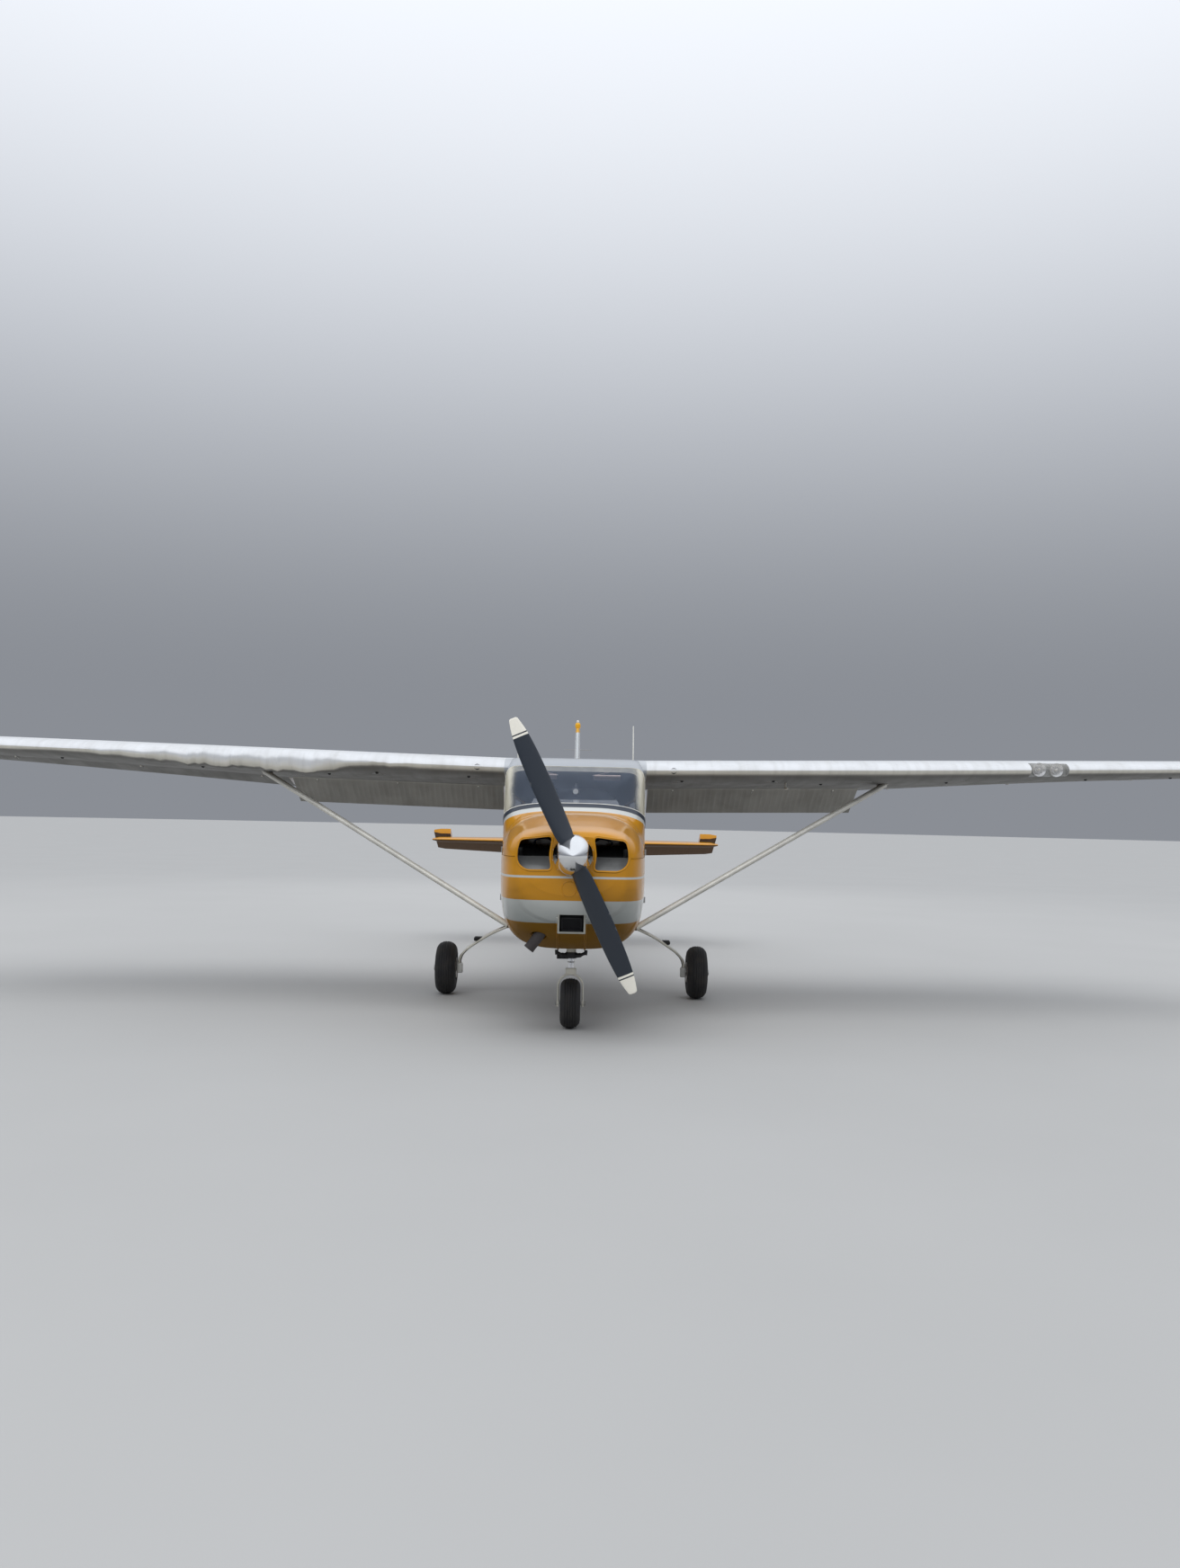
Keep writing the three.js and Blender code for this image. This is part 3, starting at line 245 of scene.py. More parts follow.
def smoothed(piece, angle=32):
    work = bmesh.new()
    work.from_mesh(piece.data)
    bmesh.ops.recalc_face_normals(work, faces=work.faces)
    work.to_mesh(piece.data)
    work.free()
    piece.data.shade_smooth()
    piece.data.set_sharp_from_angle(angle=math.radians(angle))
    return piece


def loft(name, rings, *finishes, closed=True, caps=True, joined_ends=False):
    """Skins rings of equal counts of points."""
    rings = np.asarray(rings, float)
    rows, count = rings.shape[:2]
    turns = rows if joined_ends else rows - 1
    span = count if closed else count - 1
    faces = []
    for r in range(turns):
        low, high = r * count, ((r + 1) % rows) * count
        for i in range(span):
            k = (i + 1) % count
            faces.append((low + i, low + k, high + k, high + i))
    if caps and not joined_ends:
        faces += [tuple(range(count))[::-1], tuple(range((rows - 1) * count, rows * count))]
    return make(name, rings, faces, *finishes)

# %% [markdown]
# Solids are cut from one another, joined, mirrored and turned with a few more helpers.

# %% Cutting and joining
def evaluated(piece):
    """Applies the piece's modifiers."""
    graph = bpy.context.evaluated_depsgraph_get()
    mesh = bpy.data.meshes.new_from_object(piece.evaluated_get(graph))
    piece.modifiers.clear()
    piece.data = mesh
    return piece


def carve(piece, cutters, operation="DIFFERENCE", angle=32):
    """Cuts the cutters out of a piece, or keeps only what they share, and removes the cutters."""
    for cutter in cutters:
        change = piece.modifiers.new("cut", "BOOLEAN")
        change.operation = operation
        change.object = cutter
        change.solver = "MANIFOLD"
        change.material_mode = "TRANSFER"
    evaluated(piece)
    for cutter in cutters:
        bpy.data.objects.remove(cutter)
    return smoothed(piece, angle)


def weld(name, *pieces):
    """One object made of several, which keep their own finishes."""
    with bpy.context.temp_override(active_object=pieces[0], selected_editable_objects=list(pieces)):
        bpy.ops.object.join()
    pieces[0].name = name
    return pieces[0]


def flipped(piece):
    """Moves a piece to the other side of the aircraft, as its mirror image."""
    piece.data.transform(Matrix.Scale(-1, 4, (1, 0, 0)))
    piece.data.flip_normals()
    return piece


def mirror(piece, name=None):
    """A mirrored copy, named as the other hand's piece."""
    other = piece.copy()
    other.data = piece.data.copy()
    other.name = name or piece.name.replace("left", "right")
    bpy.context.scene.collection.objects.link(other)
    return flipped(other)


def turned(piece, point, axis, degrees):
    """Turns a piece's mesh about a line."""
    point = Vector(point)
    spin = Matrix.Rotation(math.radians(degrees), 4, Vector(axis).normalized())
    piece.data.transform(Matrix.Translation(point) @ spin @ Matrix.Translation(-point))
    return piece

# %% [markdown]
# Most pieces belong to the airframe, and many exist on both sides.

# %% Who carries what
made_pieces = []


def belongs(piece, slot, *nodes, body="airframe"):
    """Says which plain solids a piece stands for, by hiding them, and which body carries it. The slot is not used."""
    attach(piece, body)
    if nodes:
        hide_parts(*nodes)
    made_pieces.append(piece)
    return piece


def both_sides(piece, slot, *nodes, body="airframe"):
    """The same for a left-hand piece and its mirror image."""
    belongs(mirror(piece), slot, *(n.replace("left", "right") for n in nodes), body=body.replace("left", "right"))
    return belongs(piece, slot, *nodes, body=body)


# %% [markdown]
# Small fittings come from a few workshop shapes: a tube along a path, a part turned on a lathe and a
# block with rounded edges.

# %% Workshop shapes
def round_angles(count):
    return np.linspace(0, 2 * np.pi, count, endpoint=False)


def frame_along(path):
    """Two directions square to a path at each of its points, without twist."""
    path = np.asarray(path, float)
    way = np.gradient(path, axis=0)
    way /= np.linalg.norm(way, axis=1)[:, None]
    side = np.cross(way[0], (0, 0, 1) if abs(way[0][2]) < 0.9 else (0, 1, 0))
    sides = []
    for direction in way:
        side = side - direction * side.dot(direction)
        side = side / np.linalg.norm(side)
        sides.append(side)
    sides = np.array(sides)
    return sides, np.cross(way, sides)


def curve_through(points, steps=8):
    """A smooth path through a few points."""
    p = np.asarray(points, float)
    padded = np.vstack([2 * p[0] - p[1], p, 2 * p[-1] - p[-2]])
    path = []
    for a, b, c, d in zip(padded, padded[1:], padded[2:], padded[3:]):
        for t in np.arange(steps) / steps:
            path.append(0.5 * (2 * b + (c - a) * t + (2 * a - 5 * b + 4 * c - d) * t ** 2
                               + (3 * b - a - 3 * c + d) * t ** 3))
    return np.vstack([path, p[-1]])


def tube(name, path, radius, *finishes, sides=12, closed=False):
    """A round bar along a path; radius may be a list, one for each point."""
    path = np.asarray(path, float)
    side, up = frame_along(path)
    radius = np.broadcast_to(radius, len(path))
    angles = round_angles(sides)
    rings = [p + r * (np.cos(angles)[:, None] * s + np.sin(angles)[:, None] * u)
             for p, r, s, u in zip(path, radius, side, up)]
    return loft(name, rings, *finishes, joined_ends=closed)


def turned_part(name, profile, centre, axis, *finishes, sides=48):
    """A part turned on a lathe: its profile is pairs of radius and distance along the axis."""
    axis = np.asarray(axis, float) / np.linalg.norm(axis)
    side = np.cross(axis, (0, 0, 1) if abs(axis[2]) < 0.9 else (0, 1, 0))
    side /= np.linalg.norm(side)
    up = np.cross(axis, side)
    angles = round_angles(sides)[:, None]
    rings = [np.asarray(centre) + axis * d + r * (np.cos(angles) * side + np.sin(angles) * up)
             for r, d in profile]
    return loft(name, rings, *finishes)


def block(name, low, high, *finishes, edge=0.004, steps=2):
    """A block between two corners, with its edges rounded."""
    work = bmesh.new()
    bmesh.ops.create_cube(work, size=1)
    low, high = Vector(low), Vector(high)
    for corner in work.verts:
        corner.co = Vector((low[i] + (corner.co[i] + 0.5) * (high[i] - low[i]) for i in range(3)))
    if edge:
        bmesh.ops.bevel(work, geom=work.edges, offset=edge, segments=steps, affect="EDGES", profile=0.5)
    mesh = bpy.data.meshes.new(name)
    work.to_mesh(mesh)
    work.free()
    for finish in finishes:
        mesh.materials.append(finish)
    piece = bpy.data.objects.new(name, mesh)
    bpy.context.scene.collection.objects.link(piece)
    return smoothed(piece)

# %% [markdown]
# Windows, doors and intakes are outlines with round corners, seen from the side or the front. A cutter
# is such an outline carried through the body as a solid.

# %% Outlines and cutters
def rounded(outline, radius, steps=5):
    """An outline with its corners rounded."""
    points = []
    count = len(outline)
    for i in range(count):
        here = np.array(outline[i], float)
        ends = []
        for other in (outline[i - 1], outline[(i + 1) % count]):
            way = np.array(other, float) - here
            ends.append(here + way / np.linalg.norm(way) * radius)
        for t in np.linspace(0, 1, steps):
            points.append((1 - t) ** 2 * ends[0] + 2 * t * (1 - t) * here + t ** 2 * ends[1])
    return np.array(points)


def grown(outline, distance):
    """An outline, given anticlockwise, moved outwards."""
    points = np.array(outline, float)
    before, after = np.roll(points, 1, axis=0), np.roll(points, -1, axis=0)
    first, second = points - before, after - points
    first /= np.linalg.norm(first, axis=1)[:, None]
    second /= np.linalg.norm(second, axis=1)[:, None]
    out = np.stack([first[:, 1] + second[:, 1], -first[:, 0] - second[:, 0]], 1)
    out /= np.linalg.norm(out, axis=1)[:, None]
    reach = distance / (out[:, 0] * first[:, 1] - out[:, 1] * first[:, 0])
    return points + out * reach[:, None]


def side_cutter(outline, radius, x, grow=0.0, *finishes):
    """A side outline, as station and height, carried from one X to another."""
    points = grown(outline, grow) if grow else np.array(outline, float)
    points = rounded(points, radius + grow) if radius else points
    rings = [[at(out, station, height) for station, height in points] for out in x]
    return loft("cutter", rings, *finishes)


def front_cutter(outline, radius, y, *finishes):
    """A front outline, as X and height, carried from one station to another."""
    points = rounded(outline, radius) if radius else np.array(outline, float)
    return loft("cutter", [[at(x, station, z) for x, z in points] for station in y], *finishes)

# %% [markdown]
# Most finishes on a working aircraft are one colour with faint patches and a fine grain. One recipe
# makes those, and the paint, bare metal, blades and tyres get their own.

# %% Plain worn finishes
def worn(name, colour, roughness, metallic=0.0, grain=60, change=0.15, depth=0.0003, **constants):
    """One colour with patches of wear, uneven gloss and a fine grain."""
    made, place = start_finish(name)
    patches = place.noise(grain * 0.12, 4.0)
    fine = place.noise(grain * 8, 2.0)
    darker = tuple(c * (1 - change) for c in colour)
    return set_finish(
        made, base_color=patches.rise(0.35, 0.65).colours(darker, colour),
        roughness=roughness + (patches - 0.5) * 0.25 + (fine - 0.5) * 0.1,
        metallic=metallic, normal=fine.bump(depth, 0.5), **constants)


def seam(distance, half):
    """1 on a line and 0 away from it."""
    return 1 - abs(distance).rise(half * 0.4, half)


def every(value, step, shift=0.0):
    """Signed distance to the nearest of many evenly spaced lines."""
    return (((value + shift) / step).fract() - 0.5) * step


def rivets(along, across, pitch=0.032, radius=0.0042):
    """Low round heads along a line."""
    step = every(along, pitch)
    return (1 - (step * step + across * across) / radius ** 2).most(0)


white_gear = worn("gear_cream", (0.66, 0.64, 0.56), 0.45, change=0.25)
strip_white = worn("strip_white", (0.62, 0.61, 0.56), 0.35, change=0.12)
frame_paint = worn("frame_paint", (0.33, 0.33, 0.29), 0.4, change=0.3)
beacon_amber = worn("beacon_amber", (0.80, 0.42, 0.01), 0.25, change=0.1)
silver_tube = worn("strut_silver", (0.64, 0.625, 0.57), 0.42, 0.35, change=0.15)
black_steel = worn("black_steel", (0.018, 0.018, 0.02), 0.5, 0.3)
plain_steel = worn("steel", (0.42, 0.42, 0.41), 0.35, 0.9)
chrome = worn("piston_chrome", (0.86, 0.86, 0.87), 0.22, 0.85, change=0.05, depth=0.0001)
wheel_alloy = worn("wheel_alloy", (0.55, 0.55, 0.52), 0.45, 0.3, change=0.35)
disc_steel = worn("brake_disc", (0.35, 0.32, 0.29), 0.4, 0.85, change=0.3)
exhaust_steel = worn("exhaust_steel", (0.060, 0.052, 0.052), 0.62, 0.4, change=0.45, depth=0.0008)
engine_grey = worn("engine_casting", (0.05, 0.052, 0.055), 0.6, 0.4, change=0.4)
baffle_grey = worn("baffle_sheet", (0.42, 0.43, 0.43), 0.55, 0.3, change=0.3)
dark_trim = worn("panel_vinyl", (0.02, 0.022, 0.027), 0.7, grain=90, depth=0.0006)
# The cabin's lining is dark navy: painted shade for the unlit cabin.
shaded_lining = worn("shaded_lining", (0.050, 0.055, 0.070), 0.8, grain=90, depth=0.0006)
NAVY = (0.020, 0.028, 0.045)
screen_navy = worn("screen_navy", NAVY, 0.35)
visor_pink = worn("visor_vinyl", (0.66, 0.52, 0.47), 0.6, grain=80, depth=0.0004)
post_cream = worn("post_cream", (0.74, 0.71, 0.61), 0.6, grain=90, depth=0.0004)
carpet = worn("carpet", (0.09, 0.075, 0.06), 0.95, grain=120, change=0.35, depth=0.003)
black_rubber = worn("seal_rubber", (0.012, 0.012, 0.013), 0.75)
knob_plastic = worn("knob_plastic", (0.03, 0.03, 0.032), 0.35)
print("plain finishes", len(bpy.data.materials))

# %% [markdown]
# The cowl and cabin are amber with a white band and a thin white pinstripe above it. The band lies level
# round the nose and climbs gently towards the tail. White and then navy lie along the windscreen's foot,
# the posts beside it are cream and the roof is silver. Thin skin also shows its lap joints, rivets and a
# slight waviness, which one bump carries. Faces that turn to the ground are painted darker as painted
# shade, and a little real dirt is mixed in.

# %% Fuselage paint
AMBER = (0.49, 0.212, 0.0)
# Darker amber and white for faces that turn to the ground: painted shade, with a little real dirt.
SHADED_DIRTY_AMBER = (0.150, 0.072, 0.004)
WHITE = (0.47, 0.48, 0.46)
SHADED_DIRTY_WHITE = (0.26, 0.28, 0.27)
ROOF_SILVER = (0.28, 0.30, 0.325)
POST_CREAM = (0.42, 0.40, 0.33)
BAND = (0.813, 0.972)
PINSTRIPE = (1.122, 1.137)
BAND_CLIMB = 0.052
FRAME_STEP = 0.46
UPPER_LAP, LOWER_LAP = 1.255, 0.76
SCREEN_FOOT = (-0.06, 1.647)
SCREEN_SLOPE = 0.42


def struck(place, waviness=2.5):
    """Slight hollows between frames and the tooth of old paint, as a height."""
    return place.noise(2.4, 1.0) * waviness + place.noise(420, 1.0) * 0.04


fuselage_paint, place = start_finish("fuselage_paint")
x, y, z = place.axes()
station = y - FIREWALL
height = z - station.most(0) * BAND_CLIMB
band = (height > BAND[0]) * (height < BAND[1])
pinstripe = (height > PINSTRIPE[0]) * (height < PINSTRIPE[1])
screen_foot = z - (SCREEN_FOOT[1] - (station - SCREEN_FOOT[0]) * SCREEN_SLOPE)
foot_strip = (screen_foot > station * 0.08 - 0.066) * (screen_foot < -0.010) * (station < 0.37)
navy = (screen_foot > -0.010) * (screen_foot < 0.05) * (station < 0.37)
white = (band + pinstripe + foot_strip).least(1)
dirt = place.times((1.2, 0.5, 4.0)).noise(3.0, 5.0).rise(0.52, 0.85)
roof = (station > 0.30) * (station < 2.30) * (z > 1.862 + abs(x).rise(0.30, 0.50) * 0.022)
# Painted shade: faces that turn to the ground are darkened, and so is the cowl's front outside a U round the chin,
# where it falls away. The noise adds real dirt.
below = facing_down(place, 0.10, 0.90)
chin = (x * x / 0.137 + ((1.0 - z).most(0) / 0.19) ** 2).rise(0.86, 1.14) * (station < -0.5)
shade_and_dirt = (below + dirt * 0.20 + chin * 0.10).least(1)
post = (station > 0.22) * (station < 0.66) * (screen_foot > 0.02) * (z > 1.5)
lit_and_clean = roof.colours(post.colours(navy.colours(white.colours(AMBER, WHITE), NAVY), POST_CREAM), ROOF_SILVER)
shaded_and_dirty = white.colours(SHADED_DIRTY_AMBER, SHADED_DIRTY_WHITE)
aft = station > 0.02
frame_gap = every(station, FRAME_STEP, 0.1)
laps = rivets(y, z - UPPER_LAP, 0.034) + rivets(y, z - LOWER_LAP, 0.034)
heads = (rivets(z, frame_gap, 0.034) + laps) * aft
joints = (seam(frame_gap, 0.0018) + seam(z - UPPER_LAP, 0.0018)) * aft + seam(station + 0.70, 0.0014)
set_finish(fuselage_paint, base_color=shade_and_dirt.colours(lit_and_clean, shaded_and_dirty), specular_ior_level=0.1,
           roughness=0.35 + shade_and_dirt * 0.3, coat_weight=(0.75 - shade_and_dirt * 0.7).most(0),
           normal=(struck(place) + heads - joints * 0.6 - chin * 12).bump(0.0011, 0.8))

amber_paint, place = start_finish("amber_paint")
dirt = place.times((2.0, 2.0, 3.0)).noise(2.5, 5.0).rise(0.52, 0.85)
# Painted shade: faces that turn to the ground go dark brown; the noise adds real dirt.
shade_and_dirt = (facing_down(place, 0.0, 0.6) + dirt * 0.25).least(1)
set_finish(amber_paint, base_color=shade_and_dirt.colours(AMBER, (0.095, 0.048, 0.018)), specular_ior_level=0.15,
           roughness=0.30 + shade_and_dirt * 0.3, coat_weight=(0.6 - shade_and_dirt).most(0),
           normal=struck(place).bump(0.0011, 0.7))
print("nodes in the fuselage paint", len(fuselage_paint.node_tree.nodes))

# %% [markdown]
# The wings, flaps and ailerons are bare aluminium gone dull: a grey metal with streaks that run back
# from the leading edge. Faces that turn to the ground are painted nearly black as painted shade, and
# faces that turn partly down are tinted beige as a painted reflection of the ground. Ribs lie every 0.38 m
# along the span, and spars run at fixed shares of the chord, so the finish first works out that share.

# %% Bare aluminium
WING_ROOT = 0.565
WING_LEADING = 0.61
WING_CHORD = 1.626
TAPER_FROM = 2.55
LEADING_TAPER = 0.0626
CHORD_TAPER = 0.1766
RIB_STEP = 0.3836

wing_metal, place = start_finish("weathered_aluminium")
x, y, z = place.axes()
out = abs(x)
taper = (out - TAPER_FROM).most(0)
share = (y - FIREWALL - WING_LEADING - taper * LEADING_TAPER) / (WING_CHORD - taper * CHORD_TAPER)
rib_gap = every(out, RIB_STEP, -TAPER_FROM)
spars = (rivets(x, (share - 0.285) * WING_CHORD) + rivets(x, (share - 0.62) * WING_CHORD)
         + rivets(x, (share - 0.055) * WING_CHORD, 0.05))
panels = seam(every(out, 2 * RIB_STEP, -TAPER_FROM), 0.0016) + seam((share - 0.29) * WING_CHORD, 0.0016)
heads = rivets(y, rib_gap) + spars
streaks = place.times((9.0, 0.7, 2.0)).noise(2.0, 5.0).rise(0.40, 0.75)
blotch = place.noise(5.0, 6.0).rise(0.35, 0.7)
# Painted shade: faces that turn to the ground go nearly black. Painted reflection: faces that turn partly down are
# tinted beige, as the ground would show in them.
below = facing_down(place, 0.72, 0.955)
reflects_ground = facing_down(place, -0.15, 0.45)
oxide = (streaks * 0.35 + blotch * 0.25).colours((0.78, 0.79, 0.80), (0.60, 0.595, 0.58))
beige_ground_reflection = (streaks * 0.4 + blotch * 0.3).colours((0.70, 0.675, 0.60), (0.50, 0.48, 0.42))
set_finish(wing_metal, base_color=(below * 0.9).colours(reflects_ground.colours(oxide, beige_ground_reflection), (0.088, 0.087, 0.083)),
           metallic=0.70 - reflects_ground * 0.25 - below * 0.2,
           roughness=0.36 + blotch * 0.12 + streaks * 0.06 + below * 0.15,
           normal=(struck(place, 3.5) + heads - panels * 0.8).bump(0.0011, 0.8))
print("nodes in the aluminium", len(wing_metal.node_tree.nodes))

# %% [markdown]
# White paint on the fin and rudder has chalked. The blades are painted matt charcoal with white tips
# behind a thin line, and their leading edges are rubbed bare by grit.

# %% White paint, blades, spinner and tyres
PROP_HEIGHT = 1.280
TIP_FROM = 0.886
TIP_LINE = (0.862, 0.877)
PROP_LEAN = math.radians(24.9)

fin_paint, place = start_finish("fin_paint")
x, y, z = place.axes()
cap = z > 2.575
chalk = place.times((2, 1, 3)).noise(4.0, 5.0).rise(0.4, 0.75)
rows = rivets(z, every(y + z * -0.36, 0.33), 0.034) + rivets(y, every(z, 0.29), 0.034)
chalky = (chalk * 0.3).colours((0.56, 0.59, 0.61), (0.46, 0.47, 0.46))
set_finish(fin_paint, base_color=cap.colours(chalky, (0.72, 0.37, 0.01)),
           roughness=0.36 + chalk * 0.2, coat_weight=0.25 - chalk * 0.2,
           normal=(struck(place) + rows).bump(0.0010, 0.8))

blade_paint, place = start_finish("blade_paint")
x, y, z = place.axes()
across = x * math.cos(PROP_LEAN) + (z - PROP_HEIGHT) * math.sin(PROP_LEAN)
along = (z - PROP_HEIGHT) * math.cos(PROP_LEAN) - x * math.sin(PROP_LEAN)
reach = abs(along)
tip = (reach > TIP_FROM) + (reach > TIP_LINE[0]) * (reach < TIP_LINE[1])
rubbed = (place.noise(30, 5.0) + (abs(across) - 0.075) * 9).rise(0.52, 0.72) * (reach > 0.2)
paint = tip.least(1).colours((0.014, 0.020, 0.030), (0.80, 0.77, 0.68))
chipped = place.noise(140, 3.0).rise(0.60, 0.70) * 0.35
set_finish(blade_paint, base_color=(rubbed * 0.6 + chipped * rubbed).least(1).colours(paint, (0.30, 0.30, 0.30)),
           metallic=rubbed * 0.5, roughness=0.36 - rubbed * 0.05,
           normal=(place.noise(260, 2.0) - chipped).bump(0.0004, 0.6))

spinner_polish, place = start_finish("spinner_polish")
rings = place.times((1, 60, 1)).noise(3.0, 2.0)
set_finish(spinner_polish, base_color=place.noise(9, 4.0).colours((0.88, 0.89, 0.90), (0.74, 0.75, 0.76)),
           metallic=1.0, roughness=0.09 + rings * 0.08, normal=place.noise(26, 3.0).bump(0.0004, 0.2))

tyre_rubber, place = start_finish("tyre_rubber")
dust = place.noise(14, 5.0).rise(0.42, 0.72)
set_finish(tyre_rubber, base_color=(dust * 0.5).colours((0.013, 0.013, 0.014), (0.055, 0.05, 0.044)),
           roughness=0.72 + dust * 0.2, normal=place.noise(320, 3.0).bump(0.0006, 0.7))
print("finishes so far", len(bpy.data.materials))

# %% [markdown]
# Clear acrylic is a thin sheet, so a plain mix of see-through and gloss shows it well: it stays cheap
# to light, and dust makes it hazier and less glossy.

# %% Clear acrylic and lamp glass
def clear_sheet(name, tint, haze, colour=(0.085, 0.120, 0.185), shade=None, glare_sides=None):
    """A see-through sheet: hazy with dust, glossier at a slant, darker above the height of its shade, and cream at its
    sides when asked, as a painted reflection.
    """
    made, place = start_finish(name)
    dust = place.noise(7.0, 5.0).rise(0.45, 0.75)
    slant = place.node("ShaderNodeLayerWeight", {}, {"Blend": 0.5}, 1) ** 4
    cover = haze + dust * tint + slant * 0.5
    if shade:
        cover = cover.most(place.axes()[2].rise(shade - 0.01, shade + 0.01) * 0.9)
    # Painted reflection: towards its curved sides the sheet turns cream and nearly opaque.
    if glare_sides:
        edge = (abs(place.axes()[0]) + place.noise(6.0, 2.0) * 0.03).rise(*glare_sides)
        cover, colour = cover.most(edge * 0.78), edge.colours(colour, (0.56, 0.53, 0.43))
    return set_finish(made, base_color=colour, roughness=0.04 + dust * 0.10, alpha=cover.least(1), ior=1.9)


acrylic = clear_sheet("clear_acrylic", 0.06, 0.15)
screen_acrylic = clear_sheet("screen_acrylic", 0.06, 0.17, glare_sides=(0.455, 0.525))
dark_acrylic = clear_sheet("dark_acrylic", 0.05, 0.04, (0.05, 0.06, 0.08), 1.70)
lamp_cover = clear_sheet("lamp_cover", 0.35, 0.14, (0.34, 0.33, 0.30))
red_glass = worn("red_lens", (0.45, 0.01, 0.01), 0.12, depth=0.0001)
green_glass = worn("green_lens", (0.01, 0.25, 0.06), 0.12, depth=0.0001)
white_glass = worn("white_lens", (0.75, 0.72, 0.68), 0.15, depth=0.0001)
dial_white = worn("dial_white", (0.7, 0.7, 0.68), 0.5, depth=0.0001)
print("finishes so far", len(bpy.data.materials))

# %% [markdown]
# The seats are covered in ribbed vinyl and cloth. A weave is two crossed waves, and the fade of years
# in the sun is a slow change of tone.

# %% Seat cloth
seat_cloth, place = start_finish("seat_cloth")
x, y, z = place.axes()
weave = (x * 900).sine() * ((y + z) * 900).sine()
fade = place.noise(3.0, 4.0)
set_finish(seat_cloth, base_color=fade.rise(0.35, 0.65).colours((0.17, 0.115, 0.07), (0.24, 0.175, 0.11)),
           roughness=0.9, sheen_weight=0.25, normal=(weave * 0.5 + place.noise(600, 2.0)).bump(0.0006, 0.7))
print("nodes in the cloth", len(seat_cloth.node_tree.nodes))

# %% [markdown]
# Fuselage and cowl are one family of sections. Each row of the table gives a section's half width, top,
# bottom, height of its widest place, and how square its upper and lower corners are: a superellipse
# runs from an ellipse at 2 to nearly a box at 8. Between rows a curve that never overshoots gives the
# smooth skin, and each ring's points are spread evenly along it, so tight corners stay round.

# %% Body sections
BODY_ROWS = np.array([
    # station, half, top, bottom, widest, round_top, round_bottom
    (-0.925, 0.330, 1.405, 1.010, 1.240, 2.6, 2.4),
    (-0.900, 0.395, 1.432, 0.930, 1.230, 2.8, 2.6),
    (-0.820, 0.448, 1.455, 0.800, 1.210, 3.0, 2.8),
    (-0.640, 0.488, 1.488, 0.675, 1.180, 3.1, 3.1),
    (-0.300, 0.517, 1.545, 0.588, 1.155, 3.2, 3.4),
    (-0.080, 0.525, 1.572, 0.577, 1.150, 3.2, 3.6),
    (0.000, 0.527, 1.602, 0.575, 1.150, 3.2, 3.6),
    (0.180, 0.538, 1.732, 0.577, 1.180, 3.8, 4.2),
    (0.380, 0.5455, 1.872, 0.579, 1.210, 9.0, 5.0),
    (0.480, 0.549, 1.921, 0.580, 1.225, 15.0, 5.0),
    (0.600, 0.551, 1.968, 0.581, 1.240, 14.0, 5.0),
    (0.800, 0.555, 2.006, 0.583, 1.260, 16.0, 5.0),
    (1.250, 0.555, 2.012, 0.586, 1.260, 14.0, 5.0),
    (1.800, 0.545, 1.968, 0.600, 1.240, 8.0, 4.6),
    (2.300, 0.505, 1.868, 0.640, 1.230, 4.4, 4.0),
    (2.800, 0.435, 1.748, 0.712, 1.220, 3.2, 3.4),
    (3.300, 0.352, 1.640, 0.790, 1.210, 2.6, 2.8),
    (4.300, 0.232, 1.522, 0.893, 1.195, 2.3, 2.4),
    (5.400, 0.126, 1.398, 0.972, 1.170, 2.1, 2.1),
    (6.360, 0.044, 1.292, 0.990, 1.140, 2.1, 2.1)])
BODY_QUARTER = 32
CORNER_SHARES = np.linspace(0, 1, 240)
CORNER_WEIGHT = 0.22


def smooth_rows(rows, places):
    """Rows of a table at other values of its first column, smooth and without overshoot."""
    rows = np.asarray(rows, float)
    places = np.atleast_1d(np.asarray(places, float))
    start, values = rows[:, 0], rows[:, 1:]
    step = np.diff(start)[:, None]
    slope = np.diff(values, axis=0) / step
    near, far = 2 * step[1:] + step[:-1], step[1:] + 2 * step[:-1]
    with np.errstate(divide="ignore", invalid="ignore"):
        middle = (near + far) / (near / slope[:-1] + far / slope[1:])
    tangent = np.vstack([slope[:1], np.where(slope[:-1] * slope[1:] > 0, middle, 0), slope[-1:]])
    k = np.clip(np.searchsorted(start, places) - 1, 0, len(start) - 2)
    t = (places - start[k])[:, None] / step[k]
    return (values[k] * (1 + 2 * t) * (1 - t) ** 2 + tangent[k] * step[k] * t * (1 - t) ** 2
            + values[k + 1] * t ** 2 * (3 - 2 * t) - tangent[k + 1] * step[k] * t ** 2 * (1 - t))

print("half width and top at the doors", smooth_rows(BODY_ROWS, 1.0)[0][:2].round(3))

# %% [markdown]
# A ring is four quarters of a superellipse, each from the side to the crest or the keel. All rings have
# the same count of points, so they join in rows from nose to tail.

# %% Body rings
def quarter(half, rise, square):
    """A quarter of a superellipse from its side to its crest, in even steps that are shorter where it turns."""
    angle = CORNER_SHARES * np.pi / 2
    x, z = half * np.cos(angle) ** (2 / square), rise * np.sin(angle) ** (2 / square)
    way = np.unwrap(np.arctan2(np.diff(z), np.diff(x)))
    bends = np.append(0, np.abs(np.diff(way)))
    run = np.append(0, np.cumsum(np.hypot(np.diff(x), np.diff(z)) + CORNER_WEIGHT * bends))
    even = np.linspace(0, run[-1], BODY_QUARTER + 1)
    return np.interp(even, run, x), np.interp(even, run, z)


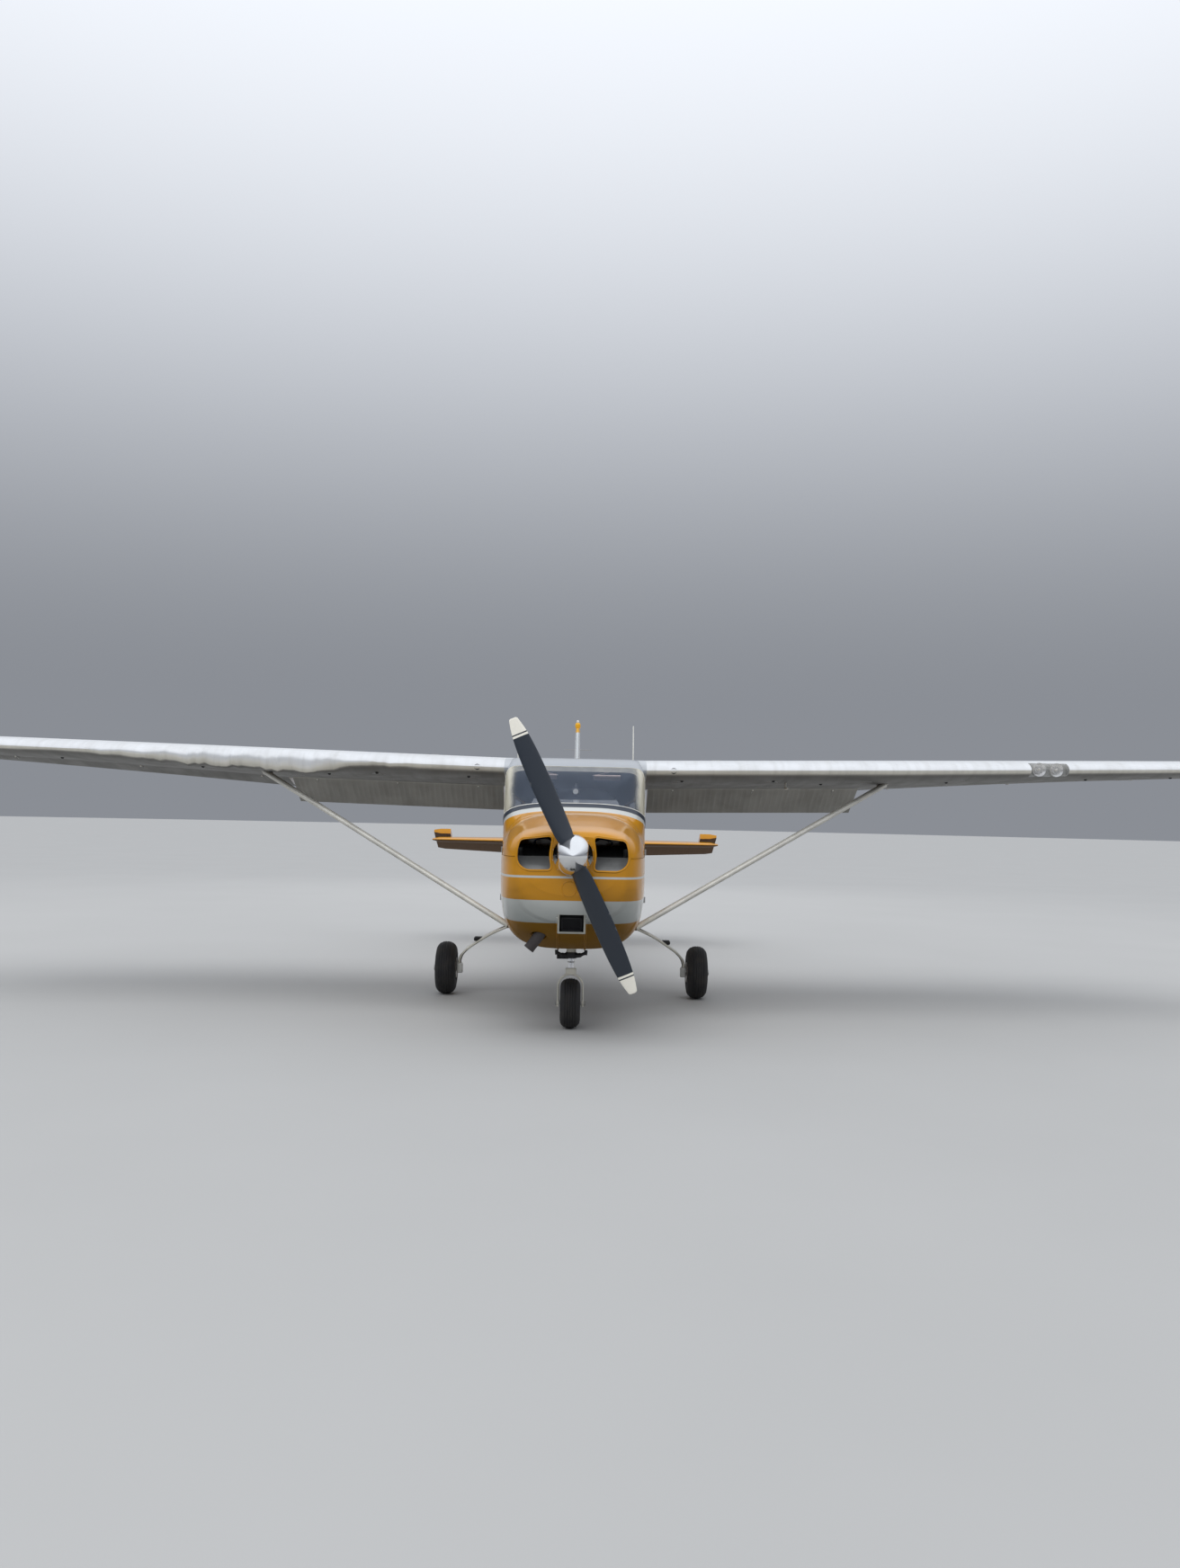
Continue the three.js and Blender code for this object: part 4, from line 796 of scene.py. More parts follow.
def body_ring(station, inset=0.0, floor=None):
    """The section at a station, drawn in on its sides and top by inset and below by floor."""
    floor = inset if floor is None else floor
    half, top, bottom, widest, round_top, round_bottom = smooth_rows(BODY_ROWS, station)[0]
    x, up = quarter(half - inset, top - inset - widest, round_top)
    below, down = quarter(half - inset, widest - bottom - floor, round_bottom)
    xs = np.concatenate([x[:-1], -x[::-1][:-1], -below[:-1], below[::-1][:-1]])
    zs = widest + np.concatenate([up[:-1], up[::-1][:-1], -down[:-1], -down[::-1][:-1]])
    return np.stack([xs, np.full(len(xs), station + FIREWALL), zs], 1)


def body_loft(name, stations, inset=0.0, floor=None, finish=None):
    rings = [body_ring(s, inset(s) if callable(inset) else inset, floor(s) if callable(floor) else floor)
             for s in stations]
    return loft(name, rings, *([finish] if finish else []))


print("points in a ring", len(body_ring(1.0)))

# %% [markdown]
# Doors and windows are side outlines, as station and height. The wall is as deep as its frames, and
# gets thinner towards the tail.

# %% Openings and walls
DOOR = [(0.460, 0.780), (1.290, 0.780), (1.385, 1.240), (1.340, 1.778), (0.640, 1.778), (0.460, 1.440)]
DOOR_WINDOW = [(0.530, 1.270), (1.312, 1.270), (1.280, 1.718), (0.690, 1.718), (0.530, 1.420)]
REAR_WINDOW = [(1.440, 1.270), (2.180, 1.345), (2.300, 1.500), (2.235, 1.660), (1.415, 1.718)]
WINDSCREEN = [(-0.060, 1.647), (0.350, 1.475), (0.488, 1.770), (0.500, 1.880), (0.500, 2.300), (-0.060, 2.300)]
REAR_GLASS = [(2.440, 1.630), (3.150, 1.600), (3.150, 2.300), (2.440, 2.300)]
BAGGAGE_DOOR = [(2.430, 1.000), (2.850, 1.030), (2.850, 1.400), (2.430, 1.420)]
LEFT, RIGHT, BOTH = (0.2, 0.8), (-0.8, -0.2), (-0.8, 0.8)
DOOR_GAP = 0.006
FLOOR_HEIGHT = 0.71
THINNER_FROM = 2.3
TAIL_START = 3.3
TAIL_END = 6.36
WINDOW_CORNER = 0.055
DOOR_CORNER = 0.06
HATCH_CORNER = 0.04


def wall_at(station):
    return 0.040 - 0.026 * max(0, station - THINNER_FROM)


def floor_at(station):
    return 0.062 - 0.048 * max(0, station - THINNER_FROM)


print("door width", round(DOOR[2][0] - DOOR[0][0], 3), "wall", wall_at(1.0), round(wall_at(3.0), 4))

# %% [markdown]
# A wing section is a standard aerofoil shape, placed by a row of a table. Wings, tailplane and fin all
# use it. A row between two others is read off the straight line that joins them.

# %% Wing sections
WING_CAMBER = 0.02


def aerofoil(share, thick, camber):
    """Half thickness and height of the mean line, as shares of the chord."""
    half = 5 * thick * (0.2969 * np.sqrt(share) - 0.126 * share - 0.3516 * share ** 2
                        + 0.2843 * share ** 3 - 0.1015 * share ** 4)
    fore = camber / 0.16 * (0.8 * share - share ** 2)
    aft = camber / 0.36 * (0.2 + 0.8 * share - share ** 2)
    return half, np.where(share < 0.4, fore, aft)


def chord_place(section, share, up):
    """Points at shares of the chord and heights over it. A section is out, leading edge, height,
    chord, pitch in degrees and thickness."""
    out, leading, height, chord, pitch, _ = section
    c, s = math.cos(math.radians(pitch)), math.sin(math.radians(pitch))
    along = np.asarray(share) * chord
    return np.stack([np.full(np.shape(along), out), leading + FIREWALL + along * c + up * s,
                     height - along * s + up * c], -1)


def aerofoil_ring(section, camber, push=0.0, sag=0.0, fold=0.0, steps=30):
    """A wing section: aft along the top from the nose, then forward underneath. A dent pushes the
    nose back and lets the skin under it sag, and a fold moves the nose up or down."""
    shares = (1 - np.cos(np.pi * np.arange(steps + 1) / steps)) / 2
    half, line = aerofoil(shares, section[5], camber)
    near = np.clip(1 - shares / DENT_REACH, 0, 1)
    pushed = shares + push * near ** 3 / section[3]
    over = chord_place(section, pushed, (line + half) * section[3])
    under = chord_place(section, pushed, (line - half) * section[3] - sag * np.sin(np.pi * np.sqrt(1 - near)))
    for skin in (over, under):
        skin[:, 2] += fold * near ** 2
    return np.vstack([over, under[1:][::-1]])


DENT_REACH = 0.17
WING_ROWS = np.array([
    # out, leading, height, chord, pitch, thick
    (0.565, 0.610, 1.914, 1.626, 4.4, 0.12),
    (2.550, 0.610, 1.957, 1.626, 4.4, 0.12),
    (5.330, 0.784, 2.030, 1.135, 1.5, 0.12),
    (5.440, 0.800, 2.034, 1.090, 1.5, 0.095),
    (5.485, 0.860, 2.030, 0.960, 1.5, 0.045)])


def section_at(rows, out):
    return np.array([np.interp(out, rows[:, 0], rows[:, i]) for i in range(rows.shape[1])])


print("chord at the root", WING_ROWS[0][3], "and near the tip", WING_ROWS[3][3])

# %% [markdown]
# The fuselage skin is one loft from the firewall to the sternpost. The cabin inside is a second loft,
# drawn in by the depth of the frames and lined in dark navy, which is painted shade for the unlit cabin,
# with carpet where the floor box cuts it. The wing's centre section lies across the roof. Windows and
# doors are then cut out.

# %% Fuselage skin
roof_silver = worn("roof_silver", (0.52, 0.54, 0.56), 0.42, 0.35, grain=30, change=0.2)
frames_along = np.unique(np.concatenate([np.arange(0, 3.3, 0.05), np.arange(3.3, TAIL_END, 0.1), [TAIL_END]]))
fuselage = body_loft("fuselage_skin", frames_along, finish=fuselage_paint)
centre = WING_ROWS[0].copy()
centre_rings = []
for out in (-WING_ROOT + 0.0003, WING_ROOT - 0.0003):
    centre[0] = out
    centre_rings.append(aerofoil_ring(centre, WING_CAMBER))
carve(fuselage, [loft("centre_section", centre_rings, roof_silver)], "UNION")
cavity = body_loft("cavity", np.arange(0.025, TAIL_START + 0.01, 0.08), wall_at, floor_at, shaded_lining)
carve(cavity, [block("floor_box", (-1, -3.2, FLOOR_HEIGHT), (1, 1.2, 3), carpet, edge=0)], "INTERSECT")
cuts = [cavity, side_cutter(WINDSCREEN, 0, BOTH, 0, post_cream),
        side_cutter(REAR_GLASS, HATCH_CORNER, BOTH, 0, shaded_lining),
        side_cutter(BAGGAGE_DOOR, HATCH_CORNER, LEFT, DOOR_GAP)]
for side in (LEFT, RIGHT):
    cuts += [side_cutter(DOOR, DOOR_CORNER, side, DOOR_GAP, shaded_lining),
             side_cutter(REAR_WINDOW, WINDOW_CORNER, side)]
carve(fuselage, cuts)
belongs(fuselage, "amber_skin", "cabin_shell", "cabin_floor", "aft_cabin", "tail_cone")
print("fuselage faces", len(fuselage.data.polygons))

# %% [markdown]
# The cowl is two thin shells that meet on a line at shaft height. They come from the same sections,
# cut above and below that line with a narrow gap.

# %% Cowl
COWL_FRONT = -0.925
COWL_SPLIT = 1.262
COWL_WALL = 0.016
INTAKE = [(0.146, 1.180), (0.315, 1.178), (0.368, 1.222), (0.374, 1.290), (0.357, 1.376), (0.142, 1.402),
          (0.161, 1.275)]
STEER_TOP = Vector(at(0, -0.120, 0.900))
STEER_FOOT = Vector(at(0, -0.170, 0.1805))
EXHAUST_HOLE = [at(-0.150, -0.650, 0.850), at(-0.262, -0.700, 0.650)]


def front_station(x, z, nearest=COWL_FRONT, furthest=0.0):
    """The station where the nose's skin passes through a point of the front view."""
    for station in np.linspace(nearest, furthest, 400):
        half, top, bottom, widest, round_top, round_bottom = smooth_rows(BODY_ROWS, station)[0]
        rise, square = (top - widest, round_top) if z > widest else (widest - bottom, round_bottom)
        if (abs(x) / half) ** square + (abs(z - widest) / rise) ** square <= 1:
            return station
    return furthest


def on_steer(height, x=0.0, aft=0.0):
    """A point of the nose gear, given as if its leg stood upright, tilted back as the leg is."""
    lean = (STEER_TOP - STEER_FOOT).normalized()
    back = Vector((0, lean.z, -lean.y))
    return STEER_FOOT + lean * (height - STEER_FOOT.z) + back * aft + Vector((x, 0, 0))


nose_frames = np.concatenate([[-0.925, -0.9235, -0.919, -0.912, -0.900], np.arange(-0.885, -0.01, 0.035), [-0.0003]])
cowl = body_loft("cowl_outer", nose_frames, finish=fuselage_paint)
hollow = body_loft("cowl_hollow", np.append(np.arange(-0.903, 0.0, 0.06), 0.001), COWL_WALL, finish=engine_grey)
shaft_hole = tube("shaft_hole", [at(0, -1.0, PROP_HEIGHT), at(0, -0.8, PROP_HEIGHT)], 0.062, sides=48)
mirrored_intake = [(-x, z) for x, z in INTAKE][::-1]
carve(cowl, [hollow, shaft_hole, front_cutter(INTAKE, 0.030, (-1.0, -0.78)),
             front_cutter(mirrored_intake, 0.030, (-1.0, -0.78))])
cowl_top, cowl_bottom = cowl, mirror(cowl, "cowl_bottom_skin")
cowl_top.name = "cowl_top_skin"
SPLIT_GAP = 0.0015
carve(cowl_top, [block("below", (-1, -4.2, 0.3), (1, -2.8, COWL_SPLIT + SPLIT_GAP), edge=0)])
carve(cowl_bottom, [
    block("above", (-1, -4.2, COWL_SPLIT - SPLIT_GAP), (1, -2.8, 2), edge=0),
    tube("leg_hole", [on_steer(0.48), on_steer(0.76)], 0.062, sides=48),
    tube("pipe_hole", EXHAUST_HOLE, 0.054, sides=40),
    block("outlet", at(-0.19, -0.09, 0.5), at(0.19, 0.05, 0.64), edge=0),
    block("air_box_room", at(-0.095, -0.872, 0.748), at(0.095, -0.7, 0.888), edge=0)])
belongs(cowl_top, "amber_skin", "cowl_top")
belongs(cowl_bottom, "amber_skin", "cowl_bottom")
print("cowl faces", len(cowl_top.data.polygons), len(cowl_bottom.data.polygons))

# %% [markdown]
# A raised lip runs round each cooling intake. Its path is laid on the nose by finding, for every point
# of the outline, the first station whose section holds it.

# %% Intake lips
LIP = 0.0075
for outline, name in ((INTAKE, "intake_lip_left"), (mirrored_intake, "intake_lip_right")):
    outer = rounded(grown(outline, 0.008), 0.040, 9)
    dense = []
    for a, b in zip(outer, np.roll(outer, -1, axis=0)):
        parts = max(1, int(np.linalg.norm(b - a) / 0.012))
        dense += [a + (b - a) * i / parts for i in range(parts)]
    path = np.array([(x, front_station(x, z) + FIREWALL + 0.0035, z) for x, z in dense])
    for _ in range(3):
        path[:, 1] = (np.roll(path[:, 1], 1) + 2 * path[:, 1] + np.roll(path[:, 1], -1)) / 4
    belongs(tube(name, path, LIP, fuselage_paint, sides=14, closed=True), "amber_skin")
    print(name, "path points", len(path))

# %% [markdown]
# Flaps, ailerons, elevator and rudder all hinge the same way: the moving surface has a round nose on
# the hinge line, and the fixed one has a bay round it. The bay is cut from the wing as a tapered bar
# and two blocks, exactly where the plain solids have it, so each surface swings free.

# %% Hinge lines and bays
CLEARANCE = 0.006
OVERLAP = 0.001
UP = np.array((0.0, 0.0, 1.0))
SIDEWAYS = np.array((1.0, 0.0, 0.0))


def hinge_end(section, share, camber):
    """A point on the mean line and the half thickness there."""
    half, line = aerofoil(np.array(share), section[5], camber)
    return chord_place(section, np.array(share), line * section[3]), float(half * section[3])


def at_hinge(hinge, distance):
    (start, near), (end, far) = hinge
    t = distance / np.linalg.norm(end - start)
    return start + (end - start) * t, near + (far - near) * t


def hinge_length(hinge):
    return np.linalg.norm(hinge[1][0] - hinge[0][0])


def bay_cutters(hinge, normal, up_travel, down_travel):
    """The room that a hinged surface needs: round its nose, and behind its lips above and below."""
    length = hinge_length(hinge) + CLEARANCE
    (start, near), (end, far) = at_hinge(hinge, -CLEARANCE), at_hinge(hinge, length)
    cutters = [tube("bay", [start, end], [near + CLEARANCE, far + CLEARANCE], sides=48)]
    for travel, low, high in ((up_travel, -OVERLAP, 0.26), (down_travel, -0.26, OVERLAP)):
        rings = []
        for distance in (-CLEARANCE, length):
            point, radius = at_hinge(hinge, distance)
            ahead = math.sin(math.radians(travel)) * radius + (CLEARANCE if travel else 0)
            rings.append([point + (0, a, 0) + normal * n for a, n in
                          ((-ahead, low), (0.9, low), (0.9, high), (-ahead, high))])
        cutters.append(loft("lip", rings))
    return cutters


WING_SURFACES = {
    # hinge's share of the chord, inner end, outer end, degrees down at rest on the left and on the right
    "flap": (0.72, 0.64, 2.5, 28, 28), "aileron": (0.79, 2.56, 5.18, 0, 12)}
wing_hinge = {
    kind: tuple(hinge_end(section_at(WING_ROWS, out), share, WING_CAMBER) for out in (inner, outer))
    for kind, (share, inner, outer, *_) in WING_SURFACES.items()}
FLAP_TRAVEL = (0, 40)
AILERON_TRAVEL = (20, 15)
print({name: round(float(hinge_length(hinge)), 3) for name, hinge in wing_hinge.items()})

# %% [markdown]
# Each wing is a loft of aerofoil sections. The right one has met something hard: between one and four
# metres out its nose is pushed back and the skin below sags in hollows, so its sections are taken
# closer together and moved by a table, with small creases where the skin buckled between ribs.

# %% Wings
DENT_ROWS = np.array([
    # out, push, sag
    (1.250, 0, 0), (1.420, 0.010, -0.008), (1.660, 0.006, -0.004), (1.830, 0.016, 0.006),
    (2.010, 0.048, 0.040), (2.210, 0.062, 0.048), (2.440, 0.044, 0.042), (2.620, 0.040, 0.028),
    (2.870, 0.052, 0.034), (3.090, 0.036, 0.026), (3.440, 0.018, 0.012), (3.800, 0.008, 0),
    (4.160, 0, -0.006), (4.500, 0, 0)])
LAMP_BAY = (3.65, 3.96)
outs = np.unique(np.concatenate([np.arange(WING_ROOT, 5.33, 0.19), WING_ROWS[:, 0]]))
wing_left = loft("wing_left_skin", [aerofoil_ring(section_at(WING_ROWS, o), WING_CAMBER) for o in outs], wing_metal)
dented_outs = np.unique(np.concatenate([outs, np.arange(1.25, 4.5, 0.045)]))
rings = []
for o in dented_outs:
    push, sag = smooth_rows(DENT_ROWS, o)[0] if 1.25 < o < 4.5 else (0, 0)
    depth = min(1, 40 * max(0, push))
    crease = 0.011 * depth * math.sin(o * 27) ** 3 + 0.006 * depth * math.sin(o * 61 + 1)
    fold = 0.012 * depth * math.sin(o * 19 + 2) ** 3 + 0.004 * depth * math.sin(o * 71)
    rings.append(aerofoil_ring(section_at(WING_ROWS, o), WING_CAMBER, push + crease, sag + crease * 0.6, fold))
wing_right = flipped(loft("wing_right_skin", rings, wing_metal))


def wing_bays():
    return bay_cutters(wing_hinge["flap"], UP, *FLAP_TRAVEL) + bay_cutters(wing_hinge["aileron"], UP, *AILERON_TRAVEL)


carve(wing_left, wing_bays())
carve(wing_right, [flipped(cutter) for cutter in wing_bays()])
belongs(wing_left, "silver_skin", "wing_left")
belongs(wing_right, "silver_skin", "wing_right")
print("wing faces", len(wing_left.data.polygons), len(wing_right.data.polygons))

# %% [markdown]
# The thin skins of the moving surfaces are stiffened with pressed beads that run fore and aft. Bump
# can't show those at the trailing edge, so the rings follow the beads, a few to each.

# %% Flaps and ailerons
BEAD_PITCH = 0.046
BEAD_HEIGHT = 0.0016
RINGS_PER_BEAD = 6
NOSE_STEPS = 11


def bead(place):
    """Height of the pressed beads at a distance along the surface."""
    return BEAD_HEIGHT * max(0.0, math.cos(2 * math.pi * place / BEAD_PITCH)) ** 1.5


def hinged_ring(section, camber, share, centre, radius, height, steps=12):
    """A moving surface's section: the skin behind the hinge and a round nose ahead of it."""
    shares = np.linspace(1, share, steps)
    half, line = aerofoil(shares, section[5], camber)
    rise = height * np.sin(np.pi * np.clip((shares - share) / (1 - share), 0, 1)) ** 0.5
    over = chord_place(section, shares, (line + half) * section[3] + rise)
    under = chord_place(section, shares, (line - half) * section[3] - rise)
    lean = math.radians(section[4])
    angles = np.linspace(np.pi / 2, 3 * np.pi / 2, NOSE_STEPS)[1:-1] - lean
    nose = np.stack([np.full(len(angles), section[0]), centre[1] + radius * np.cos(angles),
                     centre[2] + radius * np.sin(angles)], -1)
    return np.vstack([over, nose, under[::-1]])


def wing_surface(name, share, inner, outer, finish):
    rings = []
    for out in np.arange(inner, outer + 0.001, BEAD_PITCH / RINGS_PER_BEAD):
        section = section_at(WING_ROWS, out)
        centre, radius = hinge_end(section, share, WING_CAMBER)
        edge = min(1.0, (out - inner) / 0.04, (outer - out) / 0.04)
        rings.append(hinged_ring(section, WING_CAMBER, share, centre, radius, bead(out) * max(0, edge)))
    return loft(name, rings, finish)


def hung(kind, left, slot, *nodes):
    """Hangs a left-hand piece and its mirror image from the hinge lines, at their angles of rest."""
    (start, _), (end, _) = wing_hinge[kind]
    left_rest, right_rest = WING_SURFACES[kind][3:]
    turned(left, start, end - start, -left_rest)
    right = turned(mirror(left), start * (-1, 1, 1), (end - start) * (-1, 1, 1), right_rest - left_rest)
    belongs(left, slot, *nodes, body=f"{kind}_body_left")
    belongs(right, slot, *(n.replace("left", "right") for n in nodes), body=f"{kind}_body_right")


for kind, (share, inner, outer, *_) in WING_SURFACES.items():
    surface = wing_surface(kind + "_left_skin", share, inner, outer, wing_metal)
    hung(kind, surface, "silver_skin", f"{kind}_left")
    print(kind, "faces", len(surface.data.polygons))

# %% [markdown]
# A strut is a streamlined tube with a light cuff where it meets the body and a fairing where it meets
# the wing. Its ends simply run into the skins, as the real one's fittings do.

# %% Wing struts
STRUT_FROM = np.array(at(0.480, 0.385, 0.684))
STRUT_TO = np.array(at(2.580, 1.058, 1.866))
STRUT_SECTION = (0.060, 0.024)


def streamlined(start, end, half_chord, half_thick, shares, swell=None, count=36):
    """Rings of a teardrop bar between two points, blunt end ahead."""
    way = (end - start) / np.linalg.norm(end - start)
    fore = np.array((0, 1, 0)) - way * way[1]
    fore /= np.linalg.norm(fore)
    over = np.cross(way, fore)
    angles = round_angles(count)
    along = -np.cos(angles)
    across = np.sin(angles) * (1 - 0.42 * along) * 0.86
    rings = []
    for i, t in enumerate(shares):
        fat = swell[i] if swell else 1
        rings.append(start + (end - start) * t + (along * half_chord * fat)[:, None] * fore
                     + (across * half_thick * fat)[:, None] * over)
    return rings


def strut_part(name, half_chord, half_thick, shares, finish, swell=None):
    return loft(name, streamlined(STRUT_FROM, STRUT_TO, half_chord, half_thick, shares, swell), finish)


strut = weld("wing_strut_left_skin",
             strut_part("strut_tube", *STRUT_SECTION, [0, 0.985], silver_tube),
             strut_part("strut_tip", 0.034, 0.014, [0.97, 0.9995], silver_tube),
             strut_part("strut_cuff", 0.062, 0.0225, [0.0, 0.055, 0.068, 0.07], white_gear, [1.04, 1.03, 1.0, 0.94]),
             strut_part("strut_head", 0.061, 0.0215, [0.955, 0.958, 0.985, 0.992], silver_tube, [0.97, 1.03, 1.0, 0.7]))
both_sides(strut, "silver_strut", "wing_strut_left")
print("strut", round(float(np.linalg.norm(STRUT_TO - STRUT_FROM)), 3), "m long")

# %% [markdown]
# The tailplane is one symmetrical wing through the tail cone. Its bays leave room for an elevator with a
# horn ahead of the hinge at each tip.

# %% Tailplane
TAILPLANE_ROWS = np.array([
    # out, leading, height, chord, pitch, thick
    (0.000, 5.560, 1.228, 1.200, 0.8, 0.08),
    (1.640, 5.795, 1.226, 0.780, 0.8, 0.08),
    (1.720, 5.850, 1.226, 0.690, 0.8, 0.045)])
ELEVATOR_HINGE = (6.270, 1.213)
ELEVATOR_INNER = 0.095
ELEVATOR_REST = 23
HORN_START = 1.513
HORN_REACH = 0.262
TAIL_SPAN = 1.72
elevator_hinge = tuple(
    (np.array(at(out, *ELEVATOR_HINGE)),
     hinge_end(section_at(TAILPLANE_ROWS, out), 0.6, 0)[1] - 0.001) for out in (ELEVATOR_INNER, 1.640))


def tailplane_ring(out):
    section = section_at(TAILPLANE_ROWS, abs(out))
    section[0] = out
    return aerofoil_ring(section, 0)


def round_hinge(radius, start, end=1.8):
    """A bar about the elevator's hinge line, from one X to another."""
    return tube("round_hinge", [at(out, *ELEVATOR_HINGE) for out in (start, end)], radius, sides=96)


def behind_hinge(start):
    return block("behind_hinge", at(start, ELEVATOR_HINGE[0], 1.0), (1.8, 4.3, 1.5), edge=0)


tail_outs = np.concatenate([np.arange(0, 1.61, 0.1), [1.64, 1.66, 1.68, 1.70, 1.71, TAIL_SPAN]])
both_outs = np.concatenate([-tail_outs[::-1], tail_outs[1:]])
stabilizer = loft("stabilizer_skin", [tailplane_ring(o) for o in both_outs], amber_paint)
wide_hinge = tuple(at_hinge(elevator_hinge, d) for d in (-0.2, hinge_length(elevator_hinge) + 0.2))
ELEVATOR_UP = 36


def tail_bays():
    return (bay_cutters(wide_hinge, UP, ELEVATOR_UP, ELEVATOR_REST)
            + [round_hinge(HORN_REACH + CLEARANCE, HORN_START), behind_hinge(HORN_START)])


carve(stabilizer, tail_bays())
carve(stabilizer, [flipped(cutter) for cutter in tail_bays()])
belongs(stabilizer, "amber_skin", "stabilizer")
print("tailplane faces", len(stabilizer.data.polygons))

# %% [markdown]
# The elevator is made for one side, mirrored, and joined by a torque tube through the tail cone. It
# rests on its lower stop, where the photo shows it.

# %% Elevator
rings = []
for out in np.arange(ELEVATOR_INNER + 0.004, 1.634, BEAD_PITCH / RINGS_PER_BEAD):
    section = section_at(TAILPLANE_ROWS, out)
    t = (out - ELEVATOR_INNER) / (1.640 - ELEVATOR_INNER)
    centre = np.array(at(out, *ELEVATOR_HINGE))
    radius = elevator_hinge[0][1] + (elevator_hinge[1][1] - elevator_hinge[0][1]) * t
    share = (ELEVATOR_HINGE[0] - section[1]) / section[3]
    ends = min(1, (out - ELEVATOR_INNER) / 0.05, (HORN_START - out) / 0.05)
    rings.append(hinged_ring(section, 0, share, centre, radius, bead(out) * max(0, ends)))
elevator = loft("elevator_skin", rings, amber_paint)
horn_outs = (HORN_START + CLEARANCE, 1.58, 1.64, 1.66, 1.68, 1.70, 1.71, TAIL_SPAN)
horn = loft("horn", [tailplane_ring(o) for o in horn_outs], amber_paint)
horn_room = carve(round_hinge(HORN_REACH, HORN_START), [behind_hinge(HORN_START)], "UNION")
carve(horn, [horn_room], "INTERSECT")
carve(elevator, [horn], "UNION")
RUDDER_ROOM = ((0, 6.15), (0.098, 6.29), (0.205, 6.8), (0, 6.8))
carve(elevator, [loft("rudder_room", [[at(x, station, z) for x, station in RUDDER_ROOM] for z in (1.0, 1.4)])])
other = mirror(elevator, "elevator_other")
torque_ends = [at(out, *ELEVATOR_HINGE) for out in (-0.14, 0.14)]
torque_tube = tube("torque_tube", torque_ends, 0.0197, plain_steel, sides=28)
elevator = weld("elevator_skin", elevator, other, torque_tube)
turned(elevator, elevator_hinge[0][0], (1, 0, 0), -ELEVATOR_REST)
belongs(elevator, "amber_skin", "elevator", body="elevator_body")
print("elevator faces", len(elevator.data.polygons))

# %% [markdown]
# The fin is the same kind of shape stood on end. Its rings lie level, one above the other, and its foot
# is a little inside the tail cone.

# %% Fin
FIN_ROWS = np.array([
    # height, leading, trailing, thick
    (1.010, 5.350, 6.800, 0.055),
    (1.400, 5.470, 6.852, 0.060),
    (2.560, 6.215, 6.994, 0.075),
    (2.630, 6.275, 7.000, 0.060)])
RUDDER_LOWER = (1.012, 6.420, 0.74)
RUDDER_UPPER = (2.556, 6.690, 0.62)
RUDDER_SWING = 22
FIN_FOOT = 1.24


def fin_section(height):
    row = section_at(FIN_ROWS, height)
    return np.array((0, row[1], 0, row[2] - row[1], 0, row[3])), row[0]


def stood_up(points, height):
    """A flat section turned to lie level at a height."""
    return np.stack([points[:, 2], points[:, 1], np.full(len(points), height)], 1)


def fin_ring(height):
    section, height = fin_section(height)
    return stood_up(aerofoil_ring(section, 0), height)


rudder_ends = []
for height, station, share in (RUDDER_LOWER, RUDDER_UPPER):
    section, _ = fin_section(height)
    half, _ = aerofoil(np.array(share), section[5], 0)
    rudder_ends.append((np.array(at(0, station, height)), float(half * section[3]) - 0.001))
rudder_hinge = tuple(rudder_ends)
fin_heights = np.concatenate([np.arange(FIN_FOOT, 2.56, 0.08), [2.56, 2.58, 2.60, 2.615, 2.63]])
fin = loft("fin_skin", [fin_ring(h) for h in fin_heights], fin_paint)
carve(fin, bay_cutters(rudder_hinge, SIDEWAYS, RUDDER_SWING, RUDDER_SWING)
      + [block("sternpost", at(-0.2, TAIL_END - 0.02, 0.9), (0.2, 4.3, 1.3), edge=0)])
belongs(fin, "white_skin", "fin")
print("fin faces", len(fin.data.polygons))

# %% [markdown]
# The rudder hangs behind the fin on one leaning hinge line, and stays under the fin's cap.

# %% Rudder
rings = []
for height in np.arange(RUDDER_LOWER[0], RUDDER_UPPER[0] + 0.001, BEAD_PITCH / RINGS_PER_BEAD):
    section, _ = fin_section(height)
    t = (height - RUDDER_LOWER[0]) / (RUDDER_UPPER[0] - RUDDER_LOWER[0])
    centre, radius = at_hinge(rudder_hinge, t * hinge_length(rudder_hinge))
    share = (centre[1] - FIREWALL - section[1]) / section[3]
    ends = min(1, (height - RUDDER_LOWER[0]) / 0.05, (RUDDER_UPPER[0] - height) / 0.05)
    flat_centre = np.array((0, centre[1], 0))
    rings.append(stood_up(hinged_ring(section, 0, share, flat_centre, radius, bead(height) * max(0, ends)), height))
rudder = loft("rudder_skin", rings, fin_paint)
belongs(rudder, "white_skin", "rudder", body="rudder_body")
print("rudder faces", len(rudder.data.polygons))

# %% [markdown]
# Propeller sections twist and thin towards the tip, so a blade is a loft of cambered sections, each
# turned by its own angle. The spinner is turned on a lathe, then slotted for the blades.

# %% Propeller and spinner
PROP_Y = -1.020 + FIREWALL
HUB_RADIUS = 0.068
BLADE_ROWS = np.array([
    # radius, chord, thick, angle
    (0.060, 0.112, 0.062, 44), (0.170, 0.150, 0.040, 36), (0.420, 0.157, 0.024, 28),
    (0.700, 0.142, 0.015, 21), (0.860, 0.116, 0.011, 18), (0.940, 0.086, 0.008, 16.5),
    (0.995, 0.058, 0.006, 16)])

FLAT_FACE, ROUND_BACK = 0.55, 1.45


